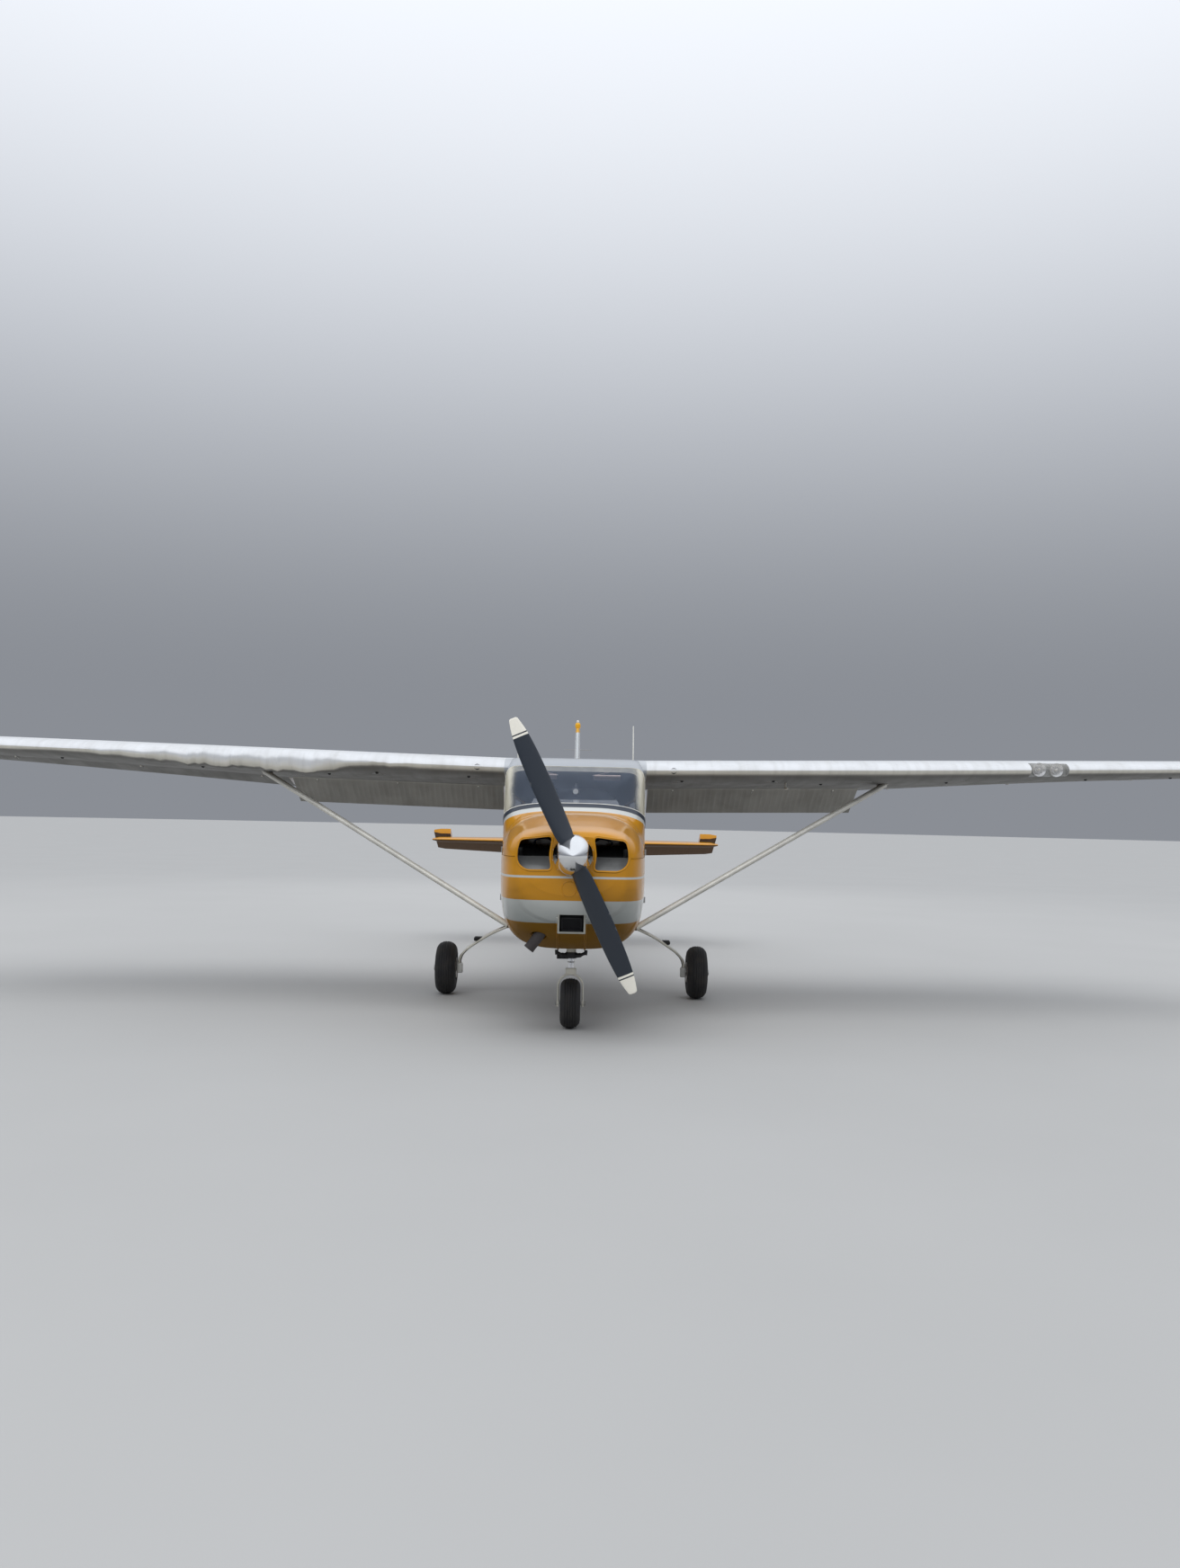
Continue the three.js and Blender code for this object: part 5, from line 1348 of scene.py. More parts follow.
def blade_ring(radius, side, grow=0.0, count=28):
    chord, thick, angle = smooth_rows(BLADE_ROWS, max(radius, BLADE_ROWS[0, 0]))[0]
    turn = round_angles(count)
    across = (chord / 2 + grow) * np.cos(turn)
    deep = (thick / 2 + 1.5 * grow) * np.sin(turn) * np.where(np.sin(turn) > 0, FLAT_FACE, ROUND_BACK)
    twist = math.radians(angle) * side
    x, y = across * math.cos(twist) - deep * math.sin(twist), across * math.sin(twist) + deep * math.cos(twist)
    z = radius * side
    c, s = math.cos(PROP_LEAN), math.sin(PROP_LEAN)
    return np.stack([x * c - z * s, PROP_Y + y, PROP_HEIGHT + x * s + z * c], 1)


def blade(side):
    """One blade, cut off nearly square at the tip with its corners rounded."""
    radii = np.concatenate([[0, 0.06], np.arange(0.1, 0.97, 0.03), [0.978, 0.985, 0.990, 0.993, 0.995]])
    rings = []
    for radius in radii:
        ring = blade_ring(radius, side)
        middle = ring.mean(0)
        near_tip = max(0, (radius - 0.978) / 0.017)
        rings.append(middle + (ring - middle) * math.sqrt(max(0.3, 1 - 0.7 * near_tip ** 4)))
    return loft("blade", rings, blade_paint)


propeller = blade(1)
hub_ends = [(0, PROP_Y + 0.0677, PROP_HEIGHT), (0, PROP_Y - 0.052, PROP_HEIGHT)]
shaft = tube("hub", hub_ends, HUB_RADIUS, black_steel, sides=64)
carve(propeller, [blade(-1), shaft], "UNION")
belongs(propeller, "blade_black", "propeller", body="propeller_set")
print("propeller faces", len(propeller.data.polygons))

# %% [markdown]
# The spinner is a thin polished cone. It is turned on a lathe too, cored for the hub and slotted for
# the blades, and a ring of screws holds it to its back plate.

# %% Spinner
SPINNER_TIP = -1.200 + FIREWALL
SPINNER_BACK = -0.935 + FIREWALL
SPINNER_ROWS = np.array([
    # behind the tip, radius
    (0, 0.0), (0.003, 0.010), (0.030, 0.040), (0.078, 0.077), (0.140, 0.111), (0.205, 0.133), (0.257, 0.140)])
SCREWS = 12
SCREW_RING = (0.252, 0.1403)
SCREW = [(0.004, -0.002), (0.004, 0.0004), (0.003, 0.0010)]
depths = np.concatenate([[0.0005, 0.002], np.linspace(0.005, 0.257, 26)])
profile = [(r, d) for d, (r,) in zip(depths, smooth_rows(SPINNER_ROWS, depths))]
profile += [(0.140, 0.262), (0.1385, 0.265)]
spinner = turned_part("spinner_shell", profile, (0, SPINNER_TIP, PROP_HEIGHT), (0, 1, 0), spinner_polish, sides=96)
core = [(0, SPINNER_BACK + 0.001, PROP_HEIGHT), (0, SPINNER_TIP + 0.1285, PROP_HEIGHT)]
cutters = [tube("core", core, HUB_RADIUS + 0.0004, sides=64)]
for side in (1, -1):
    cutters.append(loft("slot", [blade_ring(r, side, 0.005) for r in (0, 0.06, 0.09, 0.12, 0.15, 0.17)]))
carve(spinner, cutters, angle=40)
screws = []
for i in range(SCREWS):
    angle = 2 * math.pi * (i + 0.5) / SCREWS
    way = Vector((math.cos(angle), 0, math.sin(angle)))
    spot = Vector((SCREW_RING[1] * math.cos(angle), SPINNER_TIP + SCREW_RING[0],
                   PROP_HEIGHT + SCREW_RING[1] * math.sin(angle)))
    screws.append(turned_part("screw", SCREW, spot, way, plain_steel, sides=12))
belongs(weld("spinner_skin", spinner, *screws), "polished_metal", "spinner", body="propeller_set")
print("spinner faces", len(spinner.data.polygons))

# %% [markdown]
# Tyres and rims are turned shapes. Ribbed tyres have grooves that run right round, so the profile
# itself carries them. The rim has a recess on each side.

# %% Wheels
MAIN_WHEEL = dict(x=1.070, station=1.480, radius=0.2225, half=0.085, rim=0.080, bore=0.019)
NOSE_WHEEL = dict(x=0.0, station=-0.170, radius=0.1805, half=0.073, rim=0.064, bore=0.012)
GROOVES = (-0.48, -0.24, 0.0, 0.24, 0.48)
CROWN_HALF = 0.61


def tyre_profile(radius, half, rim):
    """Radius and offset of a ribbed tyre's section, from bead to bead."""
    side = np.array([(rim + 0.0003, 0.76), (rim + 0.12 * (radius - rim), 0.88), (rim + 0.3 * (radius - rim), 0.97),
                     (rim + 0.5 * (radius - rim), 1.0), (rim + 0.68 * (radius - rim), 0.945),
                     (rim + 0.80 * (radius - rim), 0.82), (rim + 0.89 * (radius - rim), 0.67)])
    crown = []
    for share in np.linspace(CROWN_HALF, -CROWN_HALF, 67):
        height = radius - (radius - rim) * 0.092 * abs(share / CROWN_HALF) ** 2.4
        depth = sum(max(0, 1 - (abs(share - g) / 0.055) ** 4) for g in GROOVES) * 0.0045
        crown.append((height - depth, share))
    points = list(map(tuple, side)) + crown + [(r, -o) for r, o in side[::-1]]
    return [(r, o * half) for r, o in points]


def wheel_pieces(name, x, station, radius, half, rim, bore):
    centre = at(x, station, radius)
    profile = tyre_profile(radius, half, rim)
    outline = profile + [(rim + 0.0003, -0.76 * half + 0.001), (rim + 0.0003, 0.76 * half - 0.001)]
    tyre = turned_part(name + "_tyre_skin", outline, centre, (1, 0, 0), tyre_rubber, sides=112)
    face, dish = 0.76 * half, 0.3 * half
    hub = face + 0.004
    lip = rim - 0.008
    shape = [(bore + 0.0006, hub), (bore + 0.016, hub), (bore + 0.018, hub - 0.002), (bore + 0.020, dish + 0.006),
             (bore + 0.026, dish), (lip - 0.006, dish), (lip, dish + 0.006), (lip, face - 0.002), (lip + 0.002, face),
             (rim - 0.001, face), (rim, face - 0.001)]
    shape += [(r, -o) for r, o in shape[::-1]]
    rim_piece = turned_part(name + "_rim_skin", shape, centre, (1, 0, 0), wheel_alloy, sides=72)
    return tyre, rim_piece


def open_ring(piece):
    """Removes the end caps of a lathe part that closes on itself, and joins its first and last rings."""
    work = bmesh.new()
    work.from_mesh(piece.data)
    caps = [f for f in work.faces if len(f.verts) > 4]
    ends = [e for f in caps for e in f.edges]
    bmesh.ops.delete(work, geom=caps, context="FACES_ONLY")
    bmesh.ops.bridge_loops(work, edges=ends)
    work.to_mesh(piece.data)
    work.free()
    return smoothed(piece)


wheels = {}
for name, facts in (("main_left", MAIN_WHEEL), ("nose", NOSE_WHEEL)):
    wheels[name] = [open_ring(p) for p in wheel_pieces(name, **facts)]
    print(name, "faces", [len(p.data.polygons) for p in wheels[name]])

# %% [markdown]
# Six bolts hold the halves of each wheel together, and a brake disc turns with each main wheel.

# %% Wheel bolts and brake discs
BOLTS = 6
BOLT_CIRCLE = 0.043
BOLT = [(0.007, -0.002), (0.007, 0.007), (0.005, 0.009)]


def bolt_ring(x, station, radius, half, rim, bore, side):
    """Hexagon bolts on one face of a wheel."""
    bolts = []
    for i in range(BOLTS):
        angle = 2 * math.pi * i / BOLTS
        spot = Vector((x + side * 0.3 * half, station + FIREWALL + BOLT_CIRCLE * math.cos(angle),
                       radius + BOLT_CIRCLE * math.sin(angle)))
        bolts.append(turned_part("bolt", BOLT, spot, (side, 0, 0), plain_steel, sides=6))
    return bolts


hub_spot = at(MAIN_WHEEL["x"], MAIN_WHEEL["station"], MAIN_WHEEL["radius"])
disc_profile = [(0.0196, -0.087), (0.0196, -0.0676), (0.044, -0.0676), (0.044, -0.081), (0.0855, -0.081),
                (0.0855, -0.087)]
disc = open_ring(turned_part("brake_disc_left", disc_profile, hub_spot, (1, 0, 0), disc_steel, sides=72))
main_tyre, main_rim = wheels["main_left"]
nose_tyre, nose_rim = wheels["nose"]
main_rim = weld("main_left_rim_skin", main_rim, *bolt_ring(**MAIN_WHEEL, side=1), disc)
nose_bolts = [b for pair in zip(bolt_ring(**NOSE_WHEEL, side=1), bolt_ring(**NOSE_WHEEL, side=-1)) for b in pair]
nose_rim = weld("nose_rim_skin", nose_rim, *nose_bolts)
both_sides(main_tyre, "tyre_rubber", "main_tyre_left", body="main_wheel_left")
both_sides(main_rim, "wheel_alloy", "main_rim_left", body="main_wheel_left")
belongs(nose_tyre, "tyre_rubber", "nose_tyre", body="nose_wheel")
belongs(nose_rim, "wheel_alloy", "nose_rim", body="nose_wheel")
print("tyre faces", len(main_tyre.data.polygons))

# %% [markdown]
# A spring leg is one flat tapering bar, bent down at both ends. It carries the axle, a brake housing
# behind and inside the wheel, and a step on a short stalk.

# %% Main gear legs
LEG_ROWS = np.array([
    # run, out, height, station, width, thick
    (0, 0.400, 0.640, 1.400, 0.150, 0.026), (1, 0.550, 0.592, 1.405, 0.146, 0.025),
    (2, 0.700, 0.520, 1.425, 0.128, 0.024), (3, 0.815, 0.446, 1.448, 0.112, 0.023),
    (4, 0.905, 0.376, 1.468, 0.100, 0.022), (5, 0.956, 0.302, 1.478, 0.092, 0.022),
    (6, 0.965, 0.195, 1.480, 0.084, 0.022)])


def leg_rings():
    runs = np.linspace(0, 6, 49)
    rows = smooth_rows(LEG_ROWS, runs)
    way = np.gradient(rows[:, :2], axis=0)
    way /= np.linalg.norm(way, axis=1)[:, None]
    turn = round_angles(28)
    rings = []
    for (out, height, station, width, thick), (dx, dz) in zip(rows, way):
        w = np.sign(np.cos(turn)) * np.abs(np.cos(turn)) ** 0.45 * width / 2
        t = np.sign(np.sin(turn)) * np.abs(np.sin(turn)) ** 0.75 * thick / 2
        rings.append(np.stack([out - dz * t, station + FIREWALL + w, height + dx * t], 1))
    return rings


_, axle_y, axle_z = hub_spot
wheel_end = MAIN_WHEEL["x"] + MAIN_WHEEL["half"] + 0.014
brake_line = curve_through([at(0.43, 1.335, 0.645), at(0.56, 1.340, 0.601), at(0.70, 1.372, 0.524),
                            at(0.82, 1.404, 0.446), at(0.912, 1.425, 0.362), at(0.945, 1.448, 0.290),
                            at(0.950, 1.50, 0.236)])
leg = weld(
    "main_leg_left_skin",
    loft("leg_spring", leg_rings(), white_gear),
    tube("axle", [(0.950, axle_y, axle_z), (wheel_end, axle_y, axle_z)], 0.0188, plain_steel, sides=24),
    tube("axle_nut", [(wheel_end + x, axle_y, axle_z) for x in (-0.008, 0.006)], 0.027, plain_steel, sides=6),
    block("step_pad", at(0.766, 1.395, 0.460), at(0.836, 1.500, 0.492), black_rubber, edge=0.010, steps=4),
    block("calliper_arm", at(0.947, 1.500, 0.205), at(0.967, 1.575, 0.262), white_gear, edge=0.004),
    block("calliper", at(0.953, 1.545, 0.180), at(0.971, 1.580, 0.290), wheel_alloy, edge=0.005),
    block("calliper_cylinder", at(0.926, 1.385, 0.188), at(0.972, 1.436, 0.268), wheel_alloy, edge=0.008, steps=3),
    tube("brake_line", brake_line, 0.0035, black_rubber, sides=8))
both_sides(leg, "white_gear", "main_leg_left")
print("leg faces", len(leg.data.polygons))

# %% [markdown]
# The windscreen and windows are sheets of acrylic just under the skin, so each is the same loft as the
# body, once a little way in and once a little further, cut to its outline. The side windows are made
# for the left and mirrored.

# %% Windows
PANE_FACES = (0.003, 0.008)
STRIP_WIDTH = 0.017
STRIP_FACES = (-0.0018, 0.0028)


def wall_part(name, outline, radius, x, stations, faces, *finishes, edge=0.0):
    """Part of the body's wall between two depths under the skin, cut to a side outline."""
    outer_finish, inner_finish = (finishes * 2)[:2]
    piece = body_loft(name, stations, faces[0], finish=outer_finish)
    step = stations[1] - stations[0]
    longer = np.concatenate([[stations[0] - step], stations, [stations[-1] + step]])
    carve(piece, [body_loft("inside", longer, faces[1], finish=inner_finish)])
    return carve(piece, [side_cutter(outline, radius, x, edge, inner_finish)], "INTERSECT")


def window_strip(name, outline, stations):
    """A rubber strip that laps the edge of a window, inside and out."""
    ring = wall_part(name, outline, WINDOW_CORNER, LEFT, stations, STRIP_FACES, black_rubber, edge=STRIP_WIDTH)
    return carve(ring, [side_cutter(outline, WINDOW_CORNER, LEFT, -0.003)])


def pane(name, outline, corner, x, stations, finish):
    return wall_part(name, outline, corner, x, stations, PANE_FACES, finish, edge=-0.001)


screen = pane("windscreen_pane", WINDSCREEN, 0, BOTH, np.arange(-0.08, 0.64, 0.02), screen_acrylic)
belongs(screen, "clear_plastic", "windscreen")
rear = pane("rear_pane", REAR_GLASS, HATCH_CORNER, BOTH, np.arange(2.38, 3.24, 0.03), dark_acrylic)
belongs(rear, "clear_plastic", "rear_glass")
door_stations = np.arange(0.40, 1.46, 0.035)
both_sides(pane("door_left_pane", DOOR_WINDOW, WINDOW_CORNER, LEFT, door_stations, acrylic),
           "clear_plastic", "door_glass_left", body="cabin_door_left")
side_stations = np.arange(1.36, 2.36, 0.035)
both_sides(pane("side_left_pane", REAR_WINDOW, WINDOW_CORNER, LEFT, side_stations, acrylic),
           "clear_plastic", "side_glass_left")
both_sides(window_strip("side_window_strip_left", REAR_WINDOW, side_stations), "tyre_rubber")
print("windscreen faces", len(screen.data.polygons))

# %% [markdown]
# A hinge is three knuckles round a pin. The door carries the middle one and the fuselage the other two,
# on plates of their own. A handle is a short lever on a flush plate.

# %% Hinges and handles
KNUCKLE = 0.046 / 3
DOOR_PINS = (0.556, 0.457), (0.900, 1.270)
HATCH_PINS = (0.498, 2.427), (1.060, 1.300)
LINING_FACE = 0.508


def hinge_leaves(pin, thirds, plate):
    """Knuckles round the pins of a row of hinges, and the plates that carry them, which lie behind the
    pins where plate is positive and ahead of them where it is negative."""
    (x, station), heights = pin
    y = station + FIREWALL
    parts = []
    for height in heights:
        parts.append(block("plate", (x - 0.008, y + min(0, plate), height - 0.022),
                           (x + 0.0035, y + max(0, plate), height + 0.022), plain_steel, edge=0.001))
        for k in thirds:
            low = height - 0.023 + k * KNUCKLE
            ends = [at(x, station, low + 0.0004), at(x, station, low + KNUCKLE - 0.0004)]
            parts.append(tube("knuckle", ends, 0.0085, plain_steel, sides=20))
    return parts


def lever_handle(x, station, height, length):
    """A flush plate with a short lever that points aft."""
    y = station + FIREWALL
    lever = [(x + 0.004, y, height), (x + 0.020, y, height), (x + 0.024, y + 0.012, height),
             (x + 0.021, y + length * 0.6, height - 0.002), (x + 0.017, y + length, height - 0.004)]
    return [block("handle_plate", (x - 0.004, y - 0.030, height - 0.024), (x + 0.003, y + 0.030, height + 0.024),
                  plain_steel, edge=0.002),
            tube("lever", curve_through(lever, 5), [0.007] * 6 + [0.0062] * 10 + [0.0055] * 5, chrome, sides=12)]


def side_at(station):
    """The fuselage's half width at a station."""
    return smooth_rows(BODY_ROWS, station)[0][0]


print("half width at the door's handle", round(float(side_at(1.22)), 3))

# %% [markdown]
# A door is the wall between the skin and its lining, which is painted dark navy as painted shade, cut to
# the doorway. It carries a rubber strip, a handle, an arm rest, a map pocket and its share of the hinges.
# The baggage door is on the left only, so the fuselage's leaves for it are cut away on the right.

# %% Doors
door = wall_part("door_left_skin", DOOR, DOOR_CORNER, LEFT, door_stations, (0, 0.040), fuselage_paint, shaded_lining)
carve(door, [side_cutter(DOOR_WINDOW, WINDOW_CORNER, LEFT, 0, shaded_lining)])
door = weld("door_left_skin", door, window_strip("window_strip", DOOR_WINDOW, door_stations),
            *lever_handle(side_at(1.22) - 0.002, 1.20, 1.080, 0.085),
            *hinge_leaves(DOOR_PINS, (1,), 0.036),
            block("arm_rest", at(LINING_FACE - 0.045, 0.78, 1.02), at(LINING_FACE + 0.006, 1.13, 1.075), dark_trim,
                  edge=0.014, steps=4),
            block("map_pocket", at(LINING_FACE - 0.022, 0.62, 0.83), at(LINING_FACE + 0.006, 1.02, 0.965), carpet,
                  edge=0.010, steps=3))
both_sides(door, "amber_skin", "door_left", body="cabin_door_left")

baggage = wall_part("baggage_door_skin", BAGGAGE_DOOR, HATCH_CORNER, LEFT, np.arange(2.36, 2.94, 0.035), (0, 0.024),
                    fuselage_paint, shaded_lining)
baggage = weld("baggage_door_skin", baggage, *lever_handle(side_at(2.78) - 0.008, 2.76, 1.23, 0.060),
               *hinge_leaves(HATCH_PINS, (1,), 0.036))
belongs(baggage, "amber_skin", "baggage_door", body="baggage_lid")

left_leaves = weld("hinge_leaves_left", *hinge_leaves(DOOR_PINS, (0, 2), -0.036),
                   *hinge_leaves(HATCH_PINS, (0, 2), -0.036))
right_leaves = carve(mirror(left_leaves), [block("baggage_side", (-1, -1, 0.5), (1, 0, 2), edge=0)])
for piece in (left_leaves, right_leaves):
    belongs(piece, "polished_metal")
print("door faces", len(door.data.polygons), "baggage door faces", len(baggage.data.polygons))

# %% [markdown]
# The air box sits in the chin: a painted frame, a dark throat and a filter of fine mesh.

# %% Air box
BOX_HALF, BOX_LOW, BOX_HIGH, BOX_FRONT = 0.095, 0.748, 0.888, -0.872 + FIREWALL
FRAME_WALL = 0.013
MESH_HALF, MESH_LOW, MESH_HIGH = 0.066, 0.766, 0.850
air_box = block("air_box", (-BOX_HALF, BOX_FRONT, BOX_LOW), (BOX_HALF, BOX_FRONT + 0.232, BOX_HIGH), frame_paint,
                edge=0.003)
carve(air_box, [block("throat", (-BOX_HALF + FRAME_WALL, BOX_FRONT - 0.02, BOX_LOW + FRAME_WALL),
                      (BOX_HALF - FRAME_WALL, BOX_FRONT + 0.21, BOX_HIGH - FRAME_WALL), black_steel, edge=0)])


def wire(x_low, x_high, z_low, z_high, near=0.024, far=0.034, finish=black_rubber, edge=0.001):
    """A bar of the filter, between two depths inside the box."""
    return block("wire", (x_low, BOX_FRONT + near, z_low), (x_high, BOX_FRONT + far, z_high), finish, edge=edge)


wires = [wire(-MESH_HALF, MESH_HALF, z - 0.003, z + 0.003) for z in (MESH_LOW, MESH_HIGH)]
wires += [wire(x - 0.003, x + 0.003, MESH_LOW, MESH_HIGH) for x in (-MESH_HALF, MESH_HALF)]
for x in [-MESH_HALF + k * 0.0066 for k in range(1, 20)]:
    wires.append(wire(x - 0.0005, x + 0.0005, 0.768, 0.848, 0.028, 0.0295, black_steel, 0))
for z in [MESH_LOW + k * 0.0065 for k in range(1, 13)]:
    wires.append(wire(-0.065, 0.065, z - 0.0005, z + 0.0005, 0.0295, 0.031, black_steel, 0))
air_box = weld("air_box_skin", air_box, *wires)
belongs(air_box, "amber_skin")
print("air box faces", len(air_box.data.polygons))

# %% [markdown]
# Two pressed ribs run back from the air box under the cowl, and a round pressing under the spinner
# closes the cowl's front.

# %% Cowl ribs and pressing
def under_cowl(x, stations, lift):
    """Points just under the cowl, along a line at X."""
    points = []
    for station in stations:
        half, _, bottom, widest, _, square = smooth_rows(BODY_ROWS, station)[0]
        drop = (widest - bottom) * (1 - (abs(x) / half) ** square) ** (1 / square)
        points.append(at(x, station, widest - drop - lift))
    return points


ribs = [tube("cowl_rib", under_cowl(x, np.arange(-0.86, -0.2, 0.03), -0.001), 0.0085, fuselage_paint, sides=12)
        for x in (-BOX_HALF, BOX_HALF)]
belongs(weld("cowl_ribs", *ribs), "amber_skin")
pressing = []
for angle in 2 * np.pi * np.arange(48) / 48:
    x, z = -0.022 + 0.050 * math.cos(angle), 1.052 + 0.050 * math.sin(angle)
    pressing.append((x, front_station(x, z) + FIREWALL + 0.0012, z))
belongs(tube("cowl_pressing", pressing, 0.0045, fuselage_paint, sides=8, closed=True), "amber_skin")
print("pressing reaches back to", round(max(p[1] for p in pressing) - FIREWALL, 3))

# %% [markdown]
# A navy strip with a white bead along its top covers the foot of the windscreen.

# %% Windscreen foot
foot_line = np.array([(s, SCREEN_FOOT[1] - (s - SCREEN_FOOT[0]) * SCREEN_SLOPE) for s in (-0.075, 0.36)])
foot_stations = np.arange(-0.10, 0.40, 0.0125)


def foot_part(name, heights, faces, finish):
    """A strip along the windscreen's foot, between heights over its line: first the lower edge's front
    and rear, then the upper edge's rear and front."""
    outline = [foot_line[end] + (0, height) for end, height in zip((0, 1, 1, 0), heights)]
    return wall_part(name, outline, 0, BOTH, foot_stations, faces, finish)


foot_strip = foot_part("windscreen_foot_strip", (-0.010, -0.010, 0.026, 0.042), (-0.0028, 0.0026), screen_navy)
bead_strip = foot_part("bead_strip", (0.038, 0.023, 0.029, 0.046), (-0.0048, -0.001), strip_white)
belongs(weld("windscreen_foot_strip", foot_strip, bead_strip), "white_skin")
print("foot strip faces", len(foot_strip.data.polygons))

# %% [markdown]
# Through the intakes the front cylinders show. Each is a barrel and head ringed with thin cooling fins,
# so its lathe profile goes in and out once for each fin. Black leads and pipes cross the dark space
# above them.

# %% Engine
CRANK_HEIGHT = PROP_HEIGHT - 0.02
CYLINDERS = ((-0.62, 1), (-0.60, -1), (-0.40, 1), (-0.38, -1))
FIN_PITCH = 0.0075
FINS_FROM, FINS_TO = 0.135, 0.375


def cylinder(station, side):
    profile = [(0.062, 0.118)]
    place = FINS_FROM
    while place < FINS_TO:
        radius = 0.078 if place < 0.25 else 0.090
        profile += [(0.060, place), (radius, place + 0.0012), (radius, place + 0.0036), (0.060, place + 0.0048)]
        place += FIN_PITCH
    profile += [(0.060, 0.380), (0.066, 0.384), (0.066, 0.396), (0.058, 0.400)]
    return turned_part("cylinder", profile, at(0, station, CRANK_HEIGHT - 0.015), (side, 0, 0), engine_grey, sides=40)


engine_parts = [
    block("crankcase", at(-0.130, -0.755, 1.085), at(0.130, -0.205, 1.370), engine_grey, edge=0.03, steps=3),
    block("sump", at(-0.148, -0.638, 0.962), at(0.148, -0.262, 1.10), engine_grey, edge=0.02, steps=3),
    turned_part("nose_case", [(0.105, 0), (0.100, 0.03), (0.075, 0.06), (0.060, 0.10), (0.060, 0.11)],
                at(0, -0.745, PROP_HEIGHT), (0, -1, 0), engine_grey, sides=48),
    tube("crankshaft", [at(0, -0.745, PROP_HEIGHT), at(0, -0.9517, PROP_HEIGHT)], 0.0448, plain_steel, sides=40),
    turned_part("ring_gear", [(0.118, 0), (0.128, 0.001), (0.128, 0.011), (0.118, 0.012)],
                at(0, -0.868, PROP_HEIGHT), (0, 1, 0), plain_steel, sides=96)]
engine_parts += [cylinder(station, side) for station, side in CYLINDERS]
for station, side in CYLINDERS:
    cover = sorted((0.345 * side, 0.345 * side + 0.055 * side))
    lead = [at(0.27 * side, station - 0.02, CRANK_HEIGHT + 0.078), at(0.26 * side, station - 0.03, CRANK_HEIGHT + 0.11),
            at(0.16 * side, station, CRANK_HEIGHT + 0.125), at(0.05 * side, -0.30, CRANK_HEIGHT + 0.11)]
    intake = [at(0.25 * side, station, CRANK_HEIGHT - 0.08), at(0.22 * side, station, CRANK_HEIGHT - 0.19),
              at(0.14 * side, station + 0.02, CRANK_HEIGHT - 0.24)]
    engine_parts += [
        block("rocker_cover", at(cover[0], station - 0.062, CRANK_HEIGHT - 0.085),
              at(cover[1], station + 0.062, CRANK_HEIGHT + 0.06), baffle_grey, edge=0.014, steps=3),
        tube("lead", curve_through(lead, 6), 0.004, black_rubber, sides=8),
        tube("induction", curve_through(intake, 6), 0.019, baffle_grey, sides=16)]
for x, z in ((-0.150, 1.080), (0.150, 1.080), (-0.150, 1.350), (0.150, 1.350)):
    end = at(x * 1.5, -0.0004, z + (0.048 if z > 1.2 else -0.077))
    engine_parts += [tube("mount_leg", [at(x * 0.85, -0.22, z), end], 0.0125, black_steel, sides=16),
                     tube("mount_foot", [(end[0], end[1] - 0.016, end[2]), end], 0.026, black_rubber, sides=24)]
belongs(weld("engine_block", *engine_parts), "engine_iron", "engine")
print("cylinder fins", int((FINS_TO - FINS_FROM) / FIN_PITCH))

# %% [markdown]
# A pale sheet baffle runs from the lower lip of each intake up to the cylinders and ends in a low
# wall, so the air can't pass under them.

# %% Baffles
SHEET = [(0.132, -0.868, 1.176), (0.376, -0.868, 1.176), (0.388, -0.800, 1.205), (0.395, -0.735, 1.262),
         (0.132, -0.735, 1.262), (0.128, -0.800, 1.205)]
SHEET_FACES = ((0, 1, 2, 5), (5, 2, 3, 4))
SHEET_EDGES = ((0, 1), (1, 2), (2, 3), (3, 4), (4, 5), (5, 0))
baffle_faces = [*SHEET_FACES, *(tuple(i + 6 for i in f[::-1]) for f in SHEET_FACES),
                *((a, b, b + 6, a + 6) for a, b in SHEET_EDGES)]

baffles = []
for side in (1, -1):
    low = [at(x * side, station, z) for x, station, z in SHEET]
    wall = sorted((0.132 * side, 0.395 * side))
    baffles += [make("baffle", low + [(x, y, z - 0.0016) for x, y, z in low], baffle_faces, baffle_grey),
                block("baffle_wall", at(wall[0], -0.738, 1.10), at(wall[1], -0.734, 1.262), baffle_grey, edge=0.001)]
belongs(weld("engine_baffles", *baffles), "wheel_alloy")
print("baffles", len(baffles) // 2)

# %% [markdown]
# The exhaust pipe is a bent tube with a thin wall, blackened at its mouth.

# %% Exhaust pipe
PIPE_RADIUS = 0.0375
PIPE = np.array([(-0.115, -0.560, 0.958), (-0.140, -0.615, 0.870), (-0.185, -0.675, 0.775), (-0.238, -0.690, 0.694),
                 (-0.292, -0.695, 0.622)]) + (0, FIREWALL, 0)
path = curve_through(PIPE, 10)
radii = np.full(len(path), PIPE_RADIUS)
radii[-3:] = (PIPE_RADIUS + 0.0003, PIPE_RADIUS + 0.0012, PIPE_RADIUS + 0.0004)
pipe = tube("exhaust_pipe_skin", path, radii, exhaust_steel, sides=48)
bore = np.vstack([path[-14:], path[-1] + (path[-1] - path[-2])])
carve(pipe, [tube("bore", bore, PIPE_RADIUS - 0.0025, black_steel, sides=48)])
belongs(pipe, "exhaust_steel", "exhaust_pipe")
print("exhaust faces", len(pipe.data.polygons))

# %% [markdown]
# The nose leg is a bright piston between an off-white fork and a black steering collar. The fork is one
# strap bent over the tyre, so it is a loft along its arch; bosses, axle nuts, the torque links behind
# the piston and the steering arms are small parts, all laid along the leaning steering axis.

# %% Nose gear
FORK_MIDDLE, FORK_HEIGHT, FORK_FOOT = 0.090, 0.300, 0.1805
FORK_HALF_THICK = 0.0068


